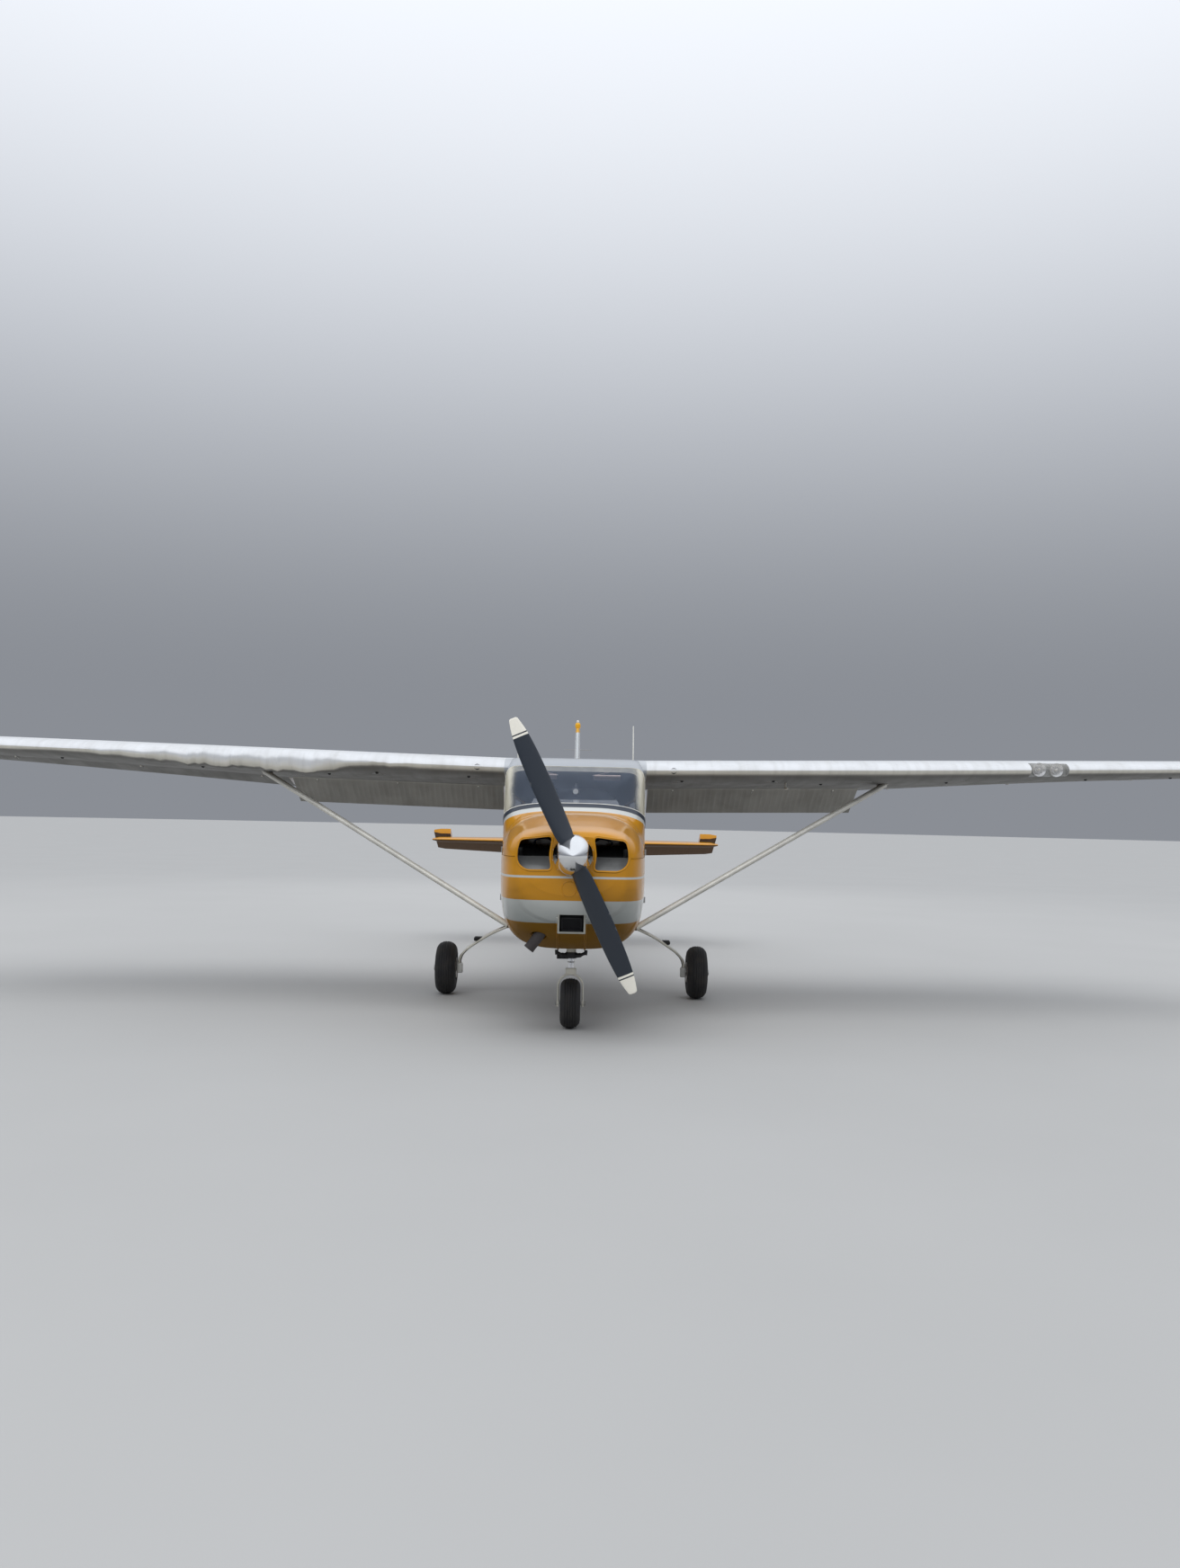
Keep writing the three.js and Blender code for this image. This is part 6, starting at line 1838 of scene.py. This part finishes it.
def fork_ring(centre, out, half_depth, half_thick):
    """A strap's section: its depth runs fore and aft, its thickness along 'out'."""
    turn = round_angles(28)
    aft = half_depth * np.sign(np.cos(turn)) * np.abs(np.cos(turn)) ** 0.3
    thick = half_thick * np.sign(np.sin(turn)) * np.abs(np.sin(turn)) ** 0.6
    return [on_steer(centre[1] + out[1] * t, centre[0] + out[0] * t, a) for a, t in zip(aft, thick)]


def fork_side(height, side):
    taper = 0.0185 + 0.0085 * min(1, max(0, (height - 0.17) / 0.09))
    return fork_ring((FORK_MIDDLE * side, height), (side, 0), taper, FORK_HALF_THICK)


rings = [fork_side(height, 1) for height in np.linspace(0.1555, FORK_HEIGHT, 14)[:-1]]
for angle in np.linspace(0, math.pi, 41):
    out = (math.cos(angle), math.sin(angle))
    rings.append(fork_ring((FORK_MIDDLE * out[0], FORK_HEIGHT + FORK_MIDDLE * out[1]), out, 0.0268, FORK_HALF_THICK))
rings += [fork_side(height, -1) for height in np.linspace(FORK_HEIGHT, 0.1555, 14)[1:]]
fork_parts = [loft("nose_fork_skin", rings, white_gear)]


def steer_part(name, profile, *finishes):
    """A part turned about the steering axis; the profile is radius and height."""
    foot, head = on_steer(0.2), on_steer(1.2)
    return turned_part(name, [(r, h - 0.2) for r, h in profile], foot, head - foot, *finishes)


def steer_bar(name, spots, radius, finish, sides):
    """A round bar between spots of the nose gear, each a height, an X and a distance aft."""
    return tube(name, [on_steer(*spot) for spot in spots], radius, finish, sides=sides)


fork_parts += [
    steer_part("crown", [(0.037, 0.386), (0.040, 0.390), (0.0395, 0.429), (0.036, 0.434)], white_gear),
    steer_part("piston", [(0.0233, 0.430), (0.0233, 0.6915)], chrome),
    steer_part("piston_ring", [(0.0245, 0.474), (0.0262, 0.476), (0.0262, 0.480), (0.0245, 0.482)], plain_steel),
    steer_part("steering_collar", [(0.032, 0.503), (0.044, 0.508), (0.044, 0.546), (0.0385, 0.5478)], black_steel)]
for side in (1, -1):
    arm = [on_steer(0.526, 0.030 * side, -0.018), on_steer(0.530, 0.068 * side, -0.030),
           on_steer(0.545, 0.102 * side, -0.034)]
    fork_parts += [
        tube("steering_arm", curve_through(arm, 5), [0.017] * 6 + [0.012] * 5, black_steel, sides=14),
        steer_bar("rod_end", [(0.530, 0.104 * side, -0.034), (0.566, 0.107 * side, -0.034)], 0.0125, black_steel, 20),
        steer_bar("axle_nut", [(FORK_FOOT, 0.097 * side), (FORK_FOOT, 0.108 * side)], 0.0165, plain_steel, 6),
        steer_bar("fork_boss", [(FORK_FOOT, 0.0825 * side), (FORK_FOOT, 0.099 * side)], 0.023, white_gear, 32)]
fork_parts.append(steer_bar("nose_axle", [(FORK_FOOT, -0.111), (FORK_FOOT, 0.111)], 0.0118, plain_steel, 24))
for low, high in (((0.418, 0.036), (0.462, 0.098)), ((0.532, 0.040), (0.466, 0.102))):
    for x in (-0.017, 0.017):
        link = [(low[0], x * 1.25, low[1]), (high[0], x * 0.6, high[1])]
        fork_parts.append(steer_bar("torque_link", link, [0.0085, 0.006], black_steel, 12))
fork_parts += [
    steer_bar("link_pin", [(0.464, -0.020, 0.100), (0.464, 0.020, 0.100)], 0.007, plain_steel, 16),
    steer_bar("shimmy_damper", [(0.516, -0.105, 0.040), (0.516, -0.015, 0.046)], 0.019, black_steel, 24)]
belongs(weld("nose_fork_skin", *fork_parts), "white_gear", "nose_fork", body="nose_gear")
print("fork parts", len(fork_parts))

# %% [markdown]
# Above the collar the leg is a tube that two brackets bolt to the firewall. It doesn't turn.

# %% Nose strut
STRUT_PROFILE = [(0.0238, 0.5485), (0.0355, 0.549), (0.0355, 0.8995), (0.0238, 0.8998)]
strut_tube = steer_part("nose_strut_skin", STRUT_PROFILE, white_gear)
carve(strut_tube, [steer_part("bore", [(0.0238, 0.53), (0.0238, 0.70)])])
mounts = []
for height in (0.720, 0.850):
    front, level = on_steer(height).y, on_steer(height, 0, 0.17).z
    mounts.append(block("strut_mount", (-0.030, front, level - 0.020), (0.030, FIREWALL - 0.0004, level + 0.020),
                        black_steel, edge=0.004))
belongs(weld("nose_strut_skin", strut_tube, *mounts), "white_gear", "nose_strut")
print("strut mounts", len(mounts))

# %% [markdown]
# Each seat cushion starts as a rounded block a little smaller than its cover. It is remeshed into even
# squares and blown up as cloth with air pressure, so its faces crown and its edges pull in, then the
# sewn channels of the cover are pressed into it. The frame under a seat is of tube and rails.

# %% Seats
VOXEL = 0.0105
SWELL_CAP = 0.020
PRESSURE = 4.0
SIMULATED_FRAMES = 20
CHANNEL_PITCH = 0.072
GROOVE_HALF = 0.0055
SIDE_BORDER, END_BORDER = 0.055, 0.050


def swollen(piece):
    """Blows a closed mesh up as cloth, and caps how far each point moves."""
    change = piece.modifiers.new("even", "REMESH")
    change.mode = "VOXEL"
    change.voxel_size = VOXEL
    evaluated(piece)
    start = np.array([v.co for v in piece.data.vertices])
    cloth = piece.modifiers.new("air", "CLOTH")
    cloth.settings.quality = 4
    cloth.settings.use_pressure = True
    cloth.settings.uniform_pressure_force = PRESSURE
    cloth.settings.effector_weights.gravity = 0
    cloth.point_cache.frame_end = SIMULATED_FRAMES
    for moment in range(1, SIMULATED_FRAMES + 1):
        bpy.context.scene.frame_set(moment)
    evaluated(piece)
    bpy.context.scene.frame_set(1)
    moved = np.array([v.co for v in piece.data.vertices]) - start
    reach = np.linalg.norm(moved, axis=1)[:, None]
    capped = start + moved * np.minimum(1, SWELL_CAP / np.maximum(reach, 1e-9))
    piece.data.vertices.foreach_set("co", capped.astype(np.float32).ravel())
    piece.data.update()
    return piece


def cushion(name, size, middle, lean):
    """A cushion of a given size about its middle, leaned back by an angle in degrees. Its sewn
    channels run along the second axis, inside a border."""
    half = Vector(size) / 2 - Vector((SWELL_CAP, SWELL_CAP, SWELL_CAP)) * 0.8
    piece = swollen(block(name, -half, half, seat_cloth, edge=min(half) * 0.55, steps=5))
    change = piece.modifiers.new("fine", "SUBSURF")
    change.levels = 1
    evaluated(piece)
    points = np.array([v.co for v in piece.data.vertices])
    normals = np.array([v.normal for v in piece.data.vertices])
    limit = np.array(size) / 2
    across, along = np.abs(points[:, 0]), np.abs(points[:, 1])
    inside = np.clip((limit[0] - SIDE_BORDER - across) / 0.02, 0, 1)
    ends = np.clip((limit[1] - END_BORDER - along) / 0.02, 0, 1)
    faces_up = np.clip((normals[:, 2] - 0.35) * 3, 0, 1)
    line = np.abs((points[:, 0] / CHANNEL_PITCH + 0.5) % 1 - 0.5) * CHANNEL_PITCH
    press = np.exp(-(line / GROOVE_HALF) ** 2) * 0.0065 * inside * ends * faces_up
    border = np.abs(np.maximum(across - (limit[0] - SIDE_BORDER), along - (limit[1] - END_BORDER)))
    press += np.exp(-(border / GROOVE_HALF) ** 2) * 0.005 * faces_up
    points -= normals * press[:, None]
    piece.data.vertices.foreach_set("co", np.clip(points, -limit, limit).astype(np.float32).ravel())
    piece.data.update()
    smoothed(piece, 60)
    piece.data.transform(Matrix.Translation(middle) @ Matrix.Rotation(math.radians(lean), 4, "X"))
    return piece


SEAT_OUT = 0.262
seat_base = cushion("front_seat_left_base", (0.424, 0.440, 0.132), at(SEAT_OUT, 1.212, 0.934), 0)
seat_back = cushion("front_seat_left_back", (0.424, 0.480, 0.088), at(SEAT_OUT, 1.532, 1.222), 108)
bench_base = cushion("rear_seat_base", (0.870, 0.395, 0.132), at(0, 2.042, 0.934), 0)
bench_back = cushion("rear_seat_back", (0.870, 0.440, 0.080), at(0, 2.330, 1.208), 107)
print("cushion faces", len(seat_base.data.polygons), len(bench_base.data.polygons))

# %% [markdown]
# The front seats stand on tube frames that slide on floor rails, and the bench on a carpeted box.

# %% Seat frames
RAIL_OUT = 0.125
frame_parts = [block("seat_pan", at(SEAT_OUT - 0.190, 1.010, 0.856), at(SEAT_OUT + 0.190, 1.420, 0.872), black_steel,
                     edge=0.004)]
for x in (SEAT_OUT - RAIL_OUT, SEAT_OUT + RAIL_OUT):
    frame_parts.append(block("rail", at(x - 0.011, 0.98, 0.7103), at(x + 0.011, 1.44, 0.728), plain_steel, edge=0.003))
    for station in (1.055, 1.365):
        frame_parts.append(tube("leg", [at(x, station, 0.722), at(x, station, 0.860)], 0.011, black_steel, sides=14))
    upright = [at(x, 1.402, 0.865), at(x, 1.470, 1.000), at(x, 1.606, 1.400)]
    frame_parts.append(tube("upright", upright, 0.010, black_steel, sides=14))
rod = [at(SEAT_OUT - RAIL_OUT, 1.055, 0.79), at(SEAT_OUT + RAIL_OUT, 1.055, 0.79)]
frame_parts.append(tube("rod", rod, 0.007, plain_steel, sides=12))
seat_frame = weld("front_seat_left_frame", *frame_parts)
both_sides(seat_frame, "seat_cloth", "front_seat_left")
for piece in (seat_base, seat_back):
    both_sides(piece, "seat_cloth", "front_seat_left")
bench_frame = weld(
    "rear_seat_frame", block("bench_box", at(-0.330, 1.890, 0.7103), at(0.330, 2.200, 0.872), carpet, edge=0.012),
    block("bench_pan", at(-0.425, 1.850, 0.856), at(0.425, 2.235, 0.874), black_steel, edge=0.004))
for piece in (bench_base, bench_back, bench_frame):
    belongs(piece, "seat_cloth", "rear_seat")
print("seat frame parts", len(frame_parts))

# %% [markdown]
# The panel spans the cabin ahead of the front seats under a padded shelf. A dial is a turned bezel over
# a black face, with short white marks that one loop sets round it, and a needle.

# %% Dials
PANEL_FACE = 0.400 + FIREWALL
AFT = (0, 1, 0)


def fitted(name, low, high):
    """A block trimmed to the inside of the cabin."""
    piece = block(name, low, high, dark_trim, edge=0)
    stations = np.arange(0.03, 0.52, 0.03)
    return carve(piece, [body_loft("cabin_inside", stations, 0.0412, 0.063, dark_trim)], "INTERSECT")


def on_panel(name, x, height, profile, finish, sides, out=0.0):
    """A part turned about a line out of the panel; the profile is radius and distance out."""
    return turned_part(name, profile, Vector((x, PANEL_FACE + out, height)), AFT, finish, sides=sides)


def panel_block(name, x, half_wide, heights, depths, finish, edge):
    """A block on the panel, between two distances out of its face."""
    return block(name, (x - half_wide, PANEL_FACE + depths[0], heights[0]),
                 (x + half_wide, PANEL_FACE + depths[1], heights[1]), finish, edge=edge)


def pointer(name, middle, angle, ends, depths, half_wide):
    """A white bar on a dial, between two distances from its middle."""
    bar = block(name, (ends[0], depths[0], -half_wide), (ends[1], depths[1], half_wide), dial_white, edge=0)
    bar.data.transform(Matrix.Translation(middle) @ Matrix.Rotation(-math.radians(angle), 4, "Y"))
    return bar


def dial(x, z, radius, start, marks, needle):
    """A round instrument with marks from a start angle, and its needle at another."""
    middle = (x, PANEL_FACE, z)
    bezel = [(radius - 0.005, 0.0), (radius, 0.001), (radius, 0.005), (radius - 0.004, 0.0075),
             (radius - 0.006, 0.0035), (radius - 0.006, 0.002)]
    face = [(radius - 0.0055, 0.0015), (radius - 0.0055, 0.0028)]
    parts = [on_panel("bezel", x, z, bezel, knob_plastic, 36), on_panel("face", x, z, face, black_rubber, 36)]
    for k in range(marks):
        angle = start - k * 300 / (marks - 1)
        parts.append(pointer("mark", middle, angle, (radius * 0.62, radius * 0.78), (0.0028, 0.0034), 0.0006))
    return parts + [pointer("needle", middle, needle, (-radius * 0.15, radius * 0.66), (0.0036, 0.0043), 0.0009)]


dials = []
for k, (x, z) in enumerate([(c, r) for r in (1.400, 1.302) for c in (0.165, 0.262, 0.359)]):
    dials += dial(x, z, 0.042, 240, 11, 200 - 47 * k)
SMALL_DIALS = ((-0.165, 1.400, 0.036), (-0.250, 1.400, 0.036), (-0.165, 1.312, 0.030), (-0.236, 1.312, 0.030),
               (0.165, 1.208, 0.033), (0.359, 1.208, 0.033))
for k, (x, z, radius) in enumerate(SMALL_DIALS):
    dials += dial(x, z, radius, 230, 9, 150 - 31 * k)
print("dial parts", len(dials))

# %% [markdown]
# Three radios stand in the middle, with engine controls and a row of switches below. Each yoke is one
# bent tube on a column that comes out of the panel.

# %% Instrument panel and yokes
panel_parts = [fitted("panel", at(-0.6, 0.332, 1.072), (0.6, PANEL_FACE, 1.478)),
               fitted("shelf", at(-0.6, 0.062, 1.453), at(0.6, 0.344, 1.481)),
               tube("shelf_roll", [at(x, 0.398, 1.474) for x in (-0.470, 0.470)], 0.015, dark_trim, sides=20), *dials]
KNOB = [(0.009, 0), (0.009, 0.012), (0.006, 0.014), (0.006, 0.020)]
for z in (1.412, 1.352, 1.292):
    panel_parts.append(panel_block("radio", 0, 0.078, (z - 0.025, z + 0.025), (-0.002, 0.006), knob_plastic, 0.002))
    panel_parts.append(panel_block("window", 0, 0.045, (z + 0.002, z + 0.018), (0.004, 0.0068), black_rubber, 0.001))
    for x in (-0.060, 0.060):
        panel_parts.append(on_panel("knob", x, z - 0.008, KNOB, knob_plastic, 20, out=0.005))
CONTROL_KNOB = [(0.010, 0), (0.017, 0.004), (0.017, 0.012), (0.011, 0.016)]
for x, finish in ((0.055, knob_plastic), (0.0, black_rubber), (-0.055, red_glass)):
    rod = [(x, PANEL_FACE + out, 1.135) for out in (-0.002, 0.050)]
    panel_parts.append(tube("control_rod", rod, 0.004, chrome, sides=12))
    panel_parts.append(on_panel("control_knob", x, 1.135, CONTROL_KNOB, finish, 24, out=0.048))
for x in 0.300 - 0.024 * np.arange(8):
    panel_parts.append(panel_block("switch", x, 0.006, (1.118, 1.136), (-0.002, 0.012), dial_white, 0.003))
HALF_GRIP = [(0.116, 1.348), (0.117, 1.300), (0.112, 1.264), (0.070, 1.250)]
for x in (-SEAT_OUT, SEAT_OUT):
    grip = ([at(x - out, 0.563, z) for out, z in HALF_GRIP] + [at(x, 0.563, 1.249)]
            + [at(x + out, 0.563, z) for out, z in HALF_GRIP[::-1]])
    panel_parts += [
        tube("yoke", curve_through(grip, 6), 0.0108, knob_plastic, sides=16),
        tube("column", [at(x, 0.385, 1.240), at(x, 0.556, 1.2497)], 0.0108, plain_steel, sides=20),
        block("yoke_hub", at(x - 0.028, 0.552, 1.234), at(x + 0.028, 0.574, 1.264), knob_plastic, edge=0.006, steps=3)]
belongs(weld("instrument_panel_skin", *panel_parts), "panel_trim", "instrument_panel")
print("panel parts", len(panel_parts))

# %% [markdown]
# A small compass hangs behind the windscreen's middle.

# %% Compass
COMPASS = Vector(at(0.006, 0.262, 1.728))
CASE_HALF = Vector((0.028, 0.022, 0.026))
compass_stay = [COMPASS + Vector((0, 0, 0.020)), at(0.006, 0.290, 1.790)]
compass = weld(
    "compass",
    block("compass_case", COMPASS - CASE_HALF, COMPASS + CASE_HALF, knob_plastic, edge=0.008, steps=3),
    turned_part("compass_face", [(0.019, 0.0), (0.0205, 0.0015), (0.019, 0.003)], COMPASS + Vector((0, -0.0215, 0)),
                (0, -1, 0), dial_white, sides=32),
    tube("compass_stay", compass_stay, 0.006, knob_plastic, sides=12))
belongs(compass, "panel_trim")
print("compass faces", len(compass.data.polygons))

# %% [markdown]
# The beacon stands on the fin's cap. Two thin rods point out to the sides of the fin, and two whip
# aerials lean back over the cabin.

# %% Beacon and aerials
BEACON_FOOT = at(0, 6.480, 2.600)
BEACON_BASE = [(0.024, -0.002), (0.030, 0.006), (0.022, 0.020), (0.020, 0.036), (0.0315, 0.046), (0.0335, 0.060),
               (0.0335, 0.082), (0.030, 0.100), (0.021, 0.110)]
BEACON_LENS = [(0.017, 0.106), (0.0175, 0.122), (0.015, 0.136), (0.009, 0.143), (0.003, 0.1448)]
beacon = weld("beacon", turned_part("beacon_base", BEACON_BASE, BEACON_FOOT, UP, beacon_amber, sides=40),
              turned_part("beacon_lens", BEACON_LENS, BEACON_FOOT, UP, white_glass, sides=32))
belongs(beacon, "clear_plastic")

WHIP_FOOT = 2.000
FOOT_PROFILE = [(0.018, -0.006), (0.018, 0.006), (0.009, 0.022), (0.006, 0.034)]
aerials = []
for side, reach in ((1, 0.185), (-1, 0.165)):
    rod = [at(0.012 * side, 6.40, 2.368), at(reach * side, 6.47, 2.372)]
    aerials.append(tube("nav_rod", rod, [0.0045, 0.0028], plain_steel, sides=10))
for x, top in ((0.497, 2.340), (-0.505, 2.300)):
    whip = [at(x, 1.60, WHIP_FOOT + 0.02), at(x, 1.64, WHIP_FOOT + 0.18), at(x, 1.70, top)]
    aerials += [turned_part("aerial_foot", FOOT_PROFILE, at(x, 1.60, WHIP_FOOT), UP, black_rubber, sides=24),
                tube("whip", whip, [0.0058, 0.0054, 0.0050], strip_white, sides=10)]
belongs(weld("aerials", *aerials), "silver_strut")
print("beacon faces", len(beacon.data.polygons))

# %% [markdown]
# The pitot tube hangs from a thin blade under the left wing. Each wing tip carries a lamp, and so does
# the tail's end.

# %% Pitot tube and lamps
PITOT_OUT, PITOT_HEIGHT = 1.718, 1.800
BLADE_SIDE = [(share * 0.046 + 0.900 + FIREWALL, half)
              for share, half in ((0, 0.0015), (0.12, 0.005), (0.35, 0.0068), (0.7, 0.005), (1, 0.001))]
ring = [(PITOT_OUT + h, y) for y, h in BLADE_SIDE] + [(PITOT_OUT - h, y) for y, h in BLADE_SIDE[::-1]]
blade = loft("pitot_blade", [[(x, y, z) for x, y in ring] for z in (1.7955, 1.85, 1.902)], silver_tube)
pitot = tube("pitot", [at(PITOT_OUT, station, PITOT_HEIGHT) for station in (0.930, 0.900, 0.83, 0.795, 0.790)],
             [0.007, 0.0088, 0.0086, 0.0080, 0.0068], silver_tube, sides=24)
bore = [at(PITOT_OUT, station, PITOT_HEIGHT) for station in (0.84, 0.78)]
carve(pitot, [tube("pitot_bore", bore, 0.0042, black_steel, sides=16)])
belongs(weld("pitot_tube_skin", blade, pitot), "silver_strut", "pitot_tube")

LAMP_BASE = [(0.020, 0), (0.020, 0.010), (0.016, 0.014)]
LAMP_LENS = [(0.0155, 0.012), (0.0150, 0.024), (0.0115, 0.034), (0.006, 0.0405), (0.002, 0.0425)]
for side, name, glass in ((1, "left", red_glass), (-1, "right", green_glass)):
    lamp = [turned_part("lamp", profile, at(5.442 * side, 0.905, 2.032), (side, 0, 0), finish, sides=28)
            for profile, finish in ((LAMP_BASE, silver_tube), (LAMP_LENS, glass))]
    belongs(weld(f"wing_lamp_{name}", *lamp), "clear_plastic")
TAIL_LENS = [(0.013, -0.004), (0.013, 0.008), (0.010, 0.016), (0.004, 0.020)]
tail_lamp = turned_part("tail_lamp", TAIL_LENS, at(0, TAIL_END - 0.01, 1.02), (0, 0.3, -1), white_glass, sides=24)
belongs(tail_lamp, "clear_plastic")
print("tail lamp faces", len(tail_lamp.data.polygons))

# %% [markdown]
# Caps, covers and drains are set on the wing by their place out along the span and their share of the
# chord, and stand square to the skin there.

# %% Wing fittings
def wing_place(out, share, upper=True):
    """A point on the wing's skin."""
    section = section_at(WING_ROWS, out)
    half, line = aerofoil(np.array(share), section[5], WING_CAMBER)
    return Vector(chord_place(section, np.array(share), (line + half if upper else line - half) * section[3]))


def on_wing(out, share, upper=False):
    """A point on the skin and the way out of it."""
    here, ahead = wing_place(out, share, upper), wing_place(out, share + 0.02, upper)
    across = wing_place(out + 0.02, share, upper) - here
    normal = across.cross(ahead - here).normalized()
    return here, normal if (normal.z > 0) == upper else -normal


FUEL_CAP = [(0.048, -0.003), (0.048, 0.0004), (0.040, 0.0015), (0.018, 0.002), (0.004, 0.0024)]
INSPECTION_COVER = [(0.052, -0.002), (0.052, 0.0006), (0.047, 0.0016), (0.003, 0.0020)]
DRAIN = [(0.013, -0.001), (0.013, 0.003), (0.008, 0.009), (0.003, 0.010)]
DRAINS_AT = ((0.86, 0.12), (1.60, 0.12), (2.02, 0.24), (3.05, 0.22), (4.20, 0.20), (4.90, 0.18))
ROOT_VENT = [(0.012, 0.004), (0.020, 0.0), (0.023, -0.004), (0.0235, 0.010), (0.021, 0.018), (0.013, 0.016)]
spot, way = on_wing(1.15, 0.22, upper=True)
cap_tab = [spot + way * 0.003 + Vector((x, 0, 0)) for x in (-0.03, 0.03)]
fittings = [turned_part("fuel_cap", FUEL_CAP, spot, way, plain_steel, sides=40),
            tube("cap_tab", cap_tab, 0.0025, plain_steel, sides=10)]
for out in np.arange(0.83, 5.2, 0.7672):
    for share in (0.17, 0.50):
        if not 3.5 < out < 4.1 or share > 0.3:
            fittings.append(turned_part("cover", INSPECTION_COVER, *on_wing(out, share), wing_metal, sides=36))
for out, share in DRAINS_AT:
    fittings.append(turned_part("drain", DRAIN, *on_wing(out, share), black_rubber, sides=20))
ring_spot, _ = on_wing(2.5, 0.27)
loop = [ring_spot + Vector((0, 0.017 * math.sin(a), -0.016 + 0.017 * math.cos(a))) for a in round_angles(24)]
fittings.append(tube("tie_down_ring", loop, 0.0042, plain_steel, sides=10, closed=True))
for station in (0.985, 1.700):
    wall = smooth_rows(BODY_ROWS, station)[0][0]
    fittings.append(block("roof_fairing", at(wall - 0.004, station - 0.34, 1.905),
                          at(wall + 0.0125, station + 0.34, 1.921), silver_tube, edge=0.004))
vent_spot = wing_place(0.78, 0.0) + Vector((0, 0.006, -0.004))
fittings.append(turned_part("root_vent", ROOT_VENT, vent_spot, AFT, black_rubber, sides=32))
both_sides(weld("wing_fittings_left", *fittings), "silver_skin")
tail_loop = [at(0.012 * math.sin(a), 6.30, 0.970 + 0.013 * math.cos(a)) for a in round_angles(20)]
belongs(tube("tail_tie_down", tail_loop, 0.0035, plain_steel, sides=10, closed=True), "polished_metal")
print("fittings a side", len(fittings))

# %% [markdown]
# The two landing lamps sit in a bay of the left wing's nose, behind a worn cover that carries on the
# nose's curve.

# %% Landing lamps
BAY_LOW, BAY_HIGH = LAMP_BAY
COVER_SHARE = 0.055
bay_sections = [section_at(WING_ROWS, out) for out in (BAY_LOW + 0.002, (BAY_LOW + BAY_HIGH) / 2, BAY_HIGH - 0.002)]
bay_front, bay_height = bay_sections[1][1] + FIREWALL, bay_sections[1][2]


def nose_shell(shrink):
    """The front of the wing's nose as a closed bar, drawn in towards its middle."""
    shares = COVER_SHARE * (1 - np.cos(np.pi * np.arange(13) / 12)) / 2
    rings = []
    for section in bay_sections:
        half, line = aerofoil(shares, section[5], WING_CAMBER)
        ring = np.vstack([chord_place(section, shares, (line + half) * section[3]),
                          chord_place(section, shares, (line - half) * section[3])[1:][::-1]])
        rings.append(ring.mean(0) + (ring - ring.mean(0)) * shrink)
    return rings


carve(wing_left, [block("lamp_bay", (BAY_LOW, bay_front - 0.05, 1.80), (BAY_HIGH, bay_front + 0.085, 2.20),
                        baffle_grey, edge=0)])
cover = loft("lamp_bay_cover", nose_shell(1.0), lamp_cover)
inside = [ring + (0, 0.006, 0) for ring in nose_shell(0.95)]
inside[0][:, 0] -= 0.01
inside[-1][:, 0] += 0.01
carve(cover, [loft("inner", inside, lamp_cover)])
belongs(cover, "clear_plastic")
REFLECTOR = [(0.030, 0.020), (0.052, 0.0), (0.055, -0.002), (0.055, 0.004), (0.034, 0.024)]
BULB = [(0.012, 0.020), (0.012, 0.002), (0.006, -0.004)]
lamps = []
for x in (BAY_LOW + 0.085, BAY_HIGH - 0.085):
    centre = (x, bay_front + 0.062, bay_height + 0.004)
    lamps += [turned_part("landing_lamp", REFLECTOR, centre, AFT, chrome, sides=40),
              turned_part("lamp_bulb", BULB, centre, AFT, white_glass, sides=20)]
belongs(weld("landing_lamps", *lamps), "polished_metal")
print("cover faces", len(cover.data.polygons))

# %% [markdown]
# Flaps and ailerons hang from small brackets under the wing, which turn with them.

# %% Hinge brackets
BRACKETS_AT = {"flap": (0.86, 1.57, 2.28), "aileron": (2.80, 3.85, 4.92)}
BRACKET_SIDES = [(0, 1, 2, 3), (7, 6, 5, 4), (0, 4, 5, 1), (1, 5, 6, 2), (2, 6, 7, 3), (3, 7, 4, 0)]
for kind, outs_at in BRACKETS_AT.items():
    brackets = []
    for out in outs_at:
        centre, radius = hinge_end(section_at(WING_ROWS, out), WING_SURFACES[kind][0], WING_CAMBER)
        points = [(out, centre[1] + a, centre[2] + b) for a, b in (
            (0.024, -radius * 0.9), (0.036, -radius - 0.008), (0.080, -radius - 0.008), (0.125, -radius * 0.55))]
        low, high = ([np.array(p) + (half, 0, 0) for p in points] for half in (-0.006, 0.006))
        brackets.append(make("bracket", low + high, BRACKET_SIDES, wing_metal))
    hung(kind, weld(kind + "_brackets_left", *brackets), "silver_strut")
    print(kind, "brackets a side", len(brackets))

# %% [markdown]
# Two sun visors fold down over the windscreen from the roof.

# %% Sun visors
for side, name in ((1, "left"), (-1, "right")):
    x = 0.250 * side
    visor = block("visor", (x - 0.105, -0.008, -0.065), (x + 0.105, 0.006, 0.065), visor_pink, edge=0.006, steps=3)
    visor.data.transform(Matrix.Translation(at(0, 0.515, 1.848)) @ Matrix.Rotation(math.radians(78), 4, "X"))
    arm_path = [at(x - 0.115 * side, 0.535, 1.862), at(x + 0.02 * side, 0.56, 1.895), at(x + 0.04 * side, 0.60, 1.925)]
    visor = weld(f"sun_visor_{name}", visor, tube("visor_arm", arm_path, 0.005, chrome, sides=10))
    belongs(visor, "panel_trim")
print("visor faces", len(visor.data.polygons))

# %% Count of pieces
print("pieces", len(made_pieces))
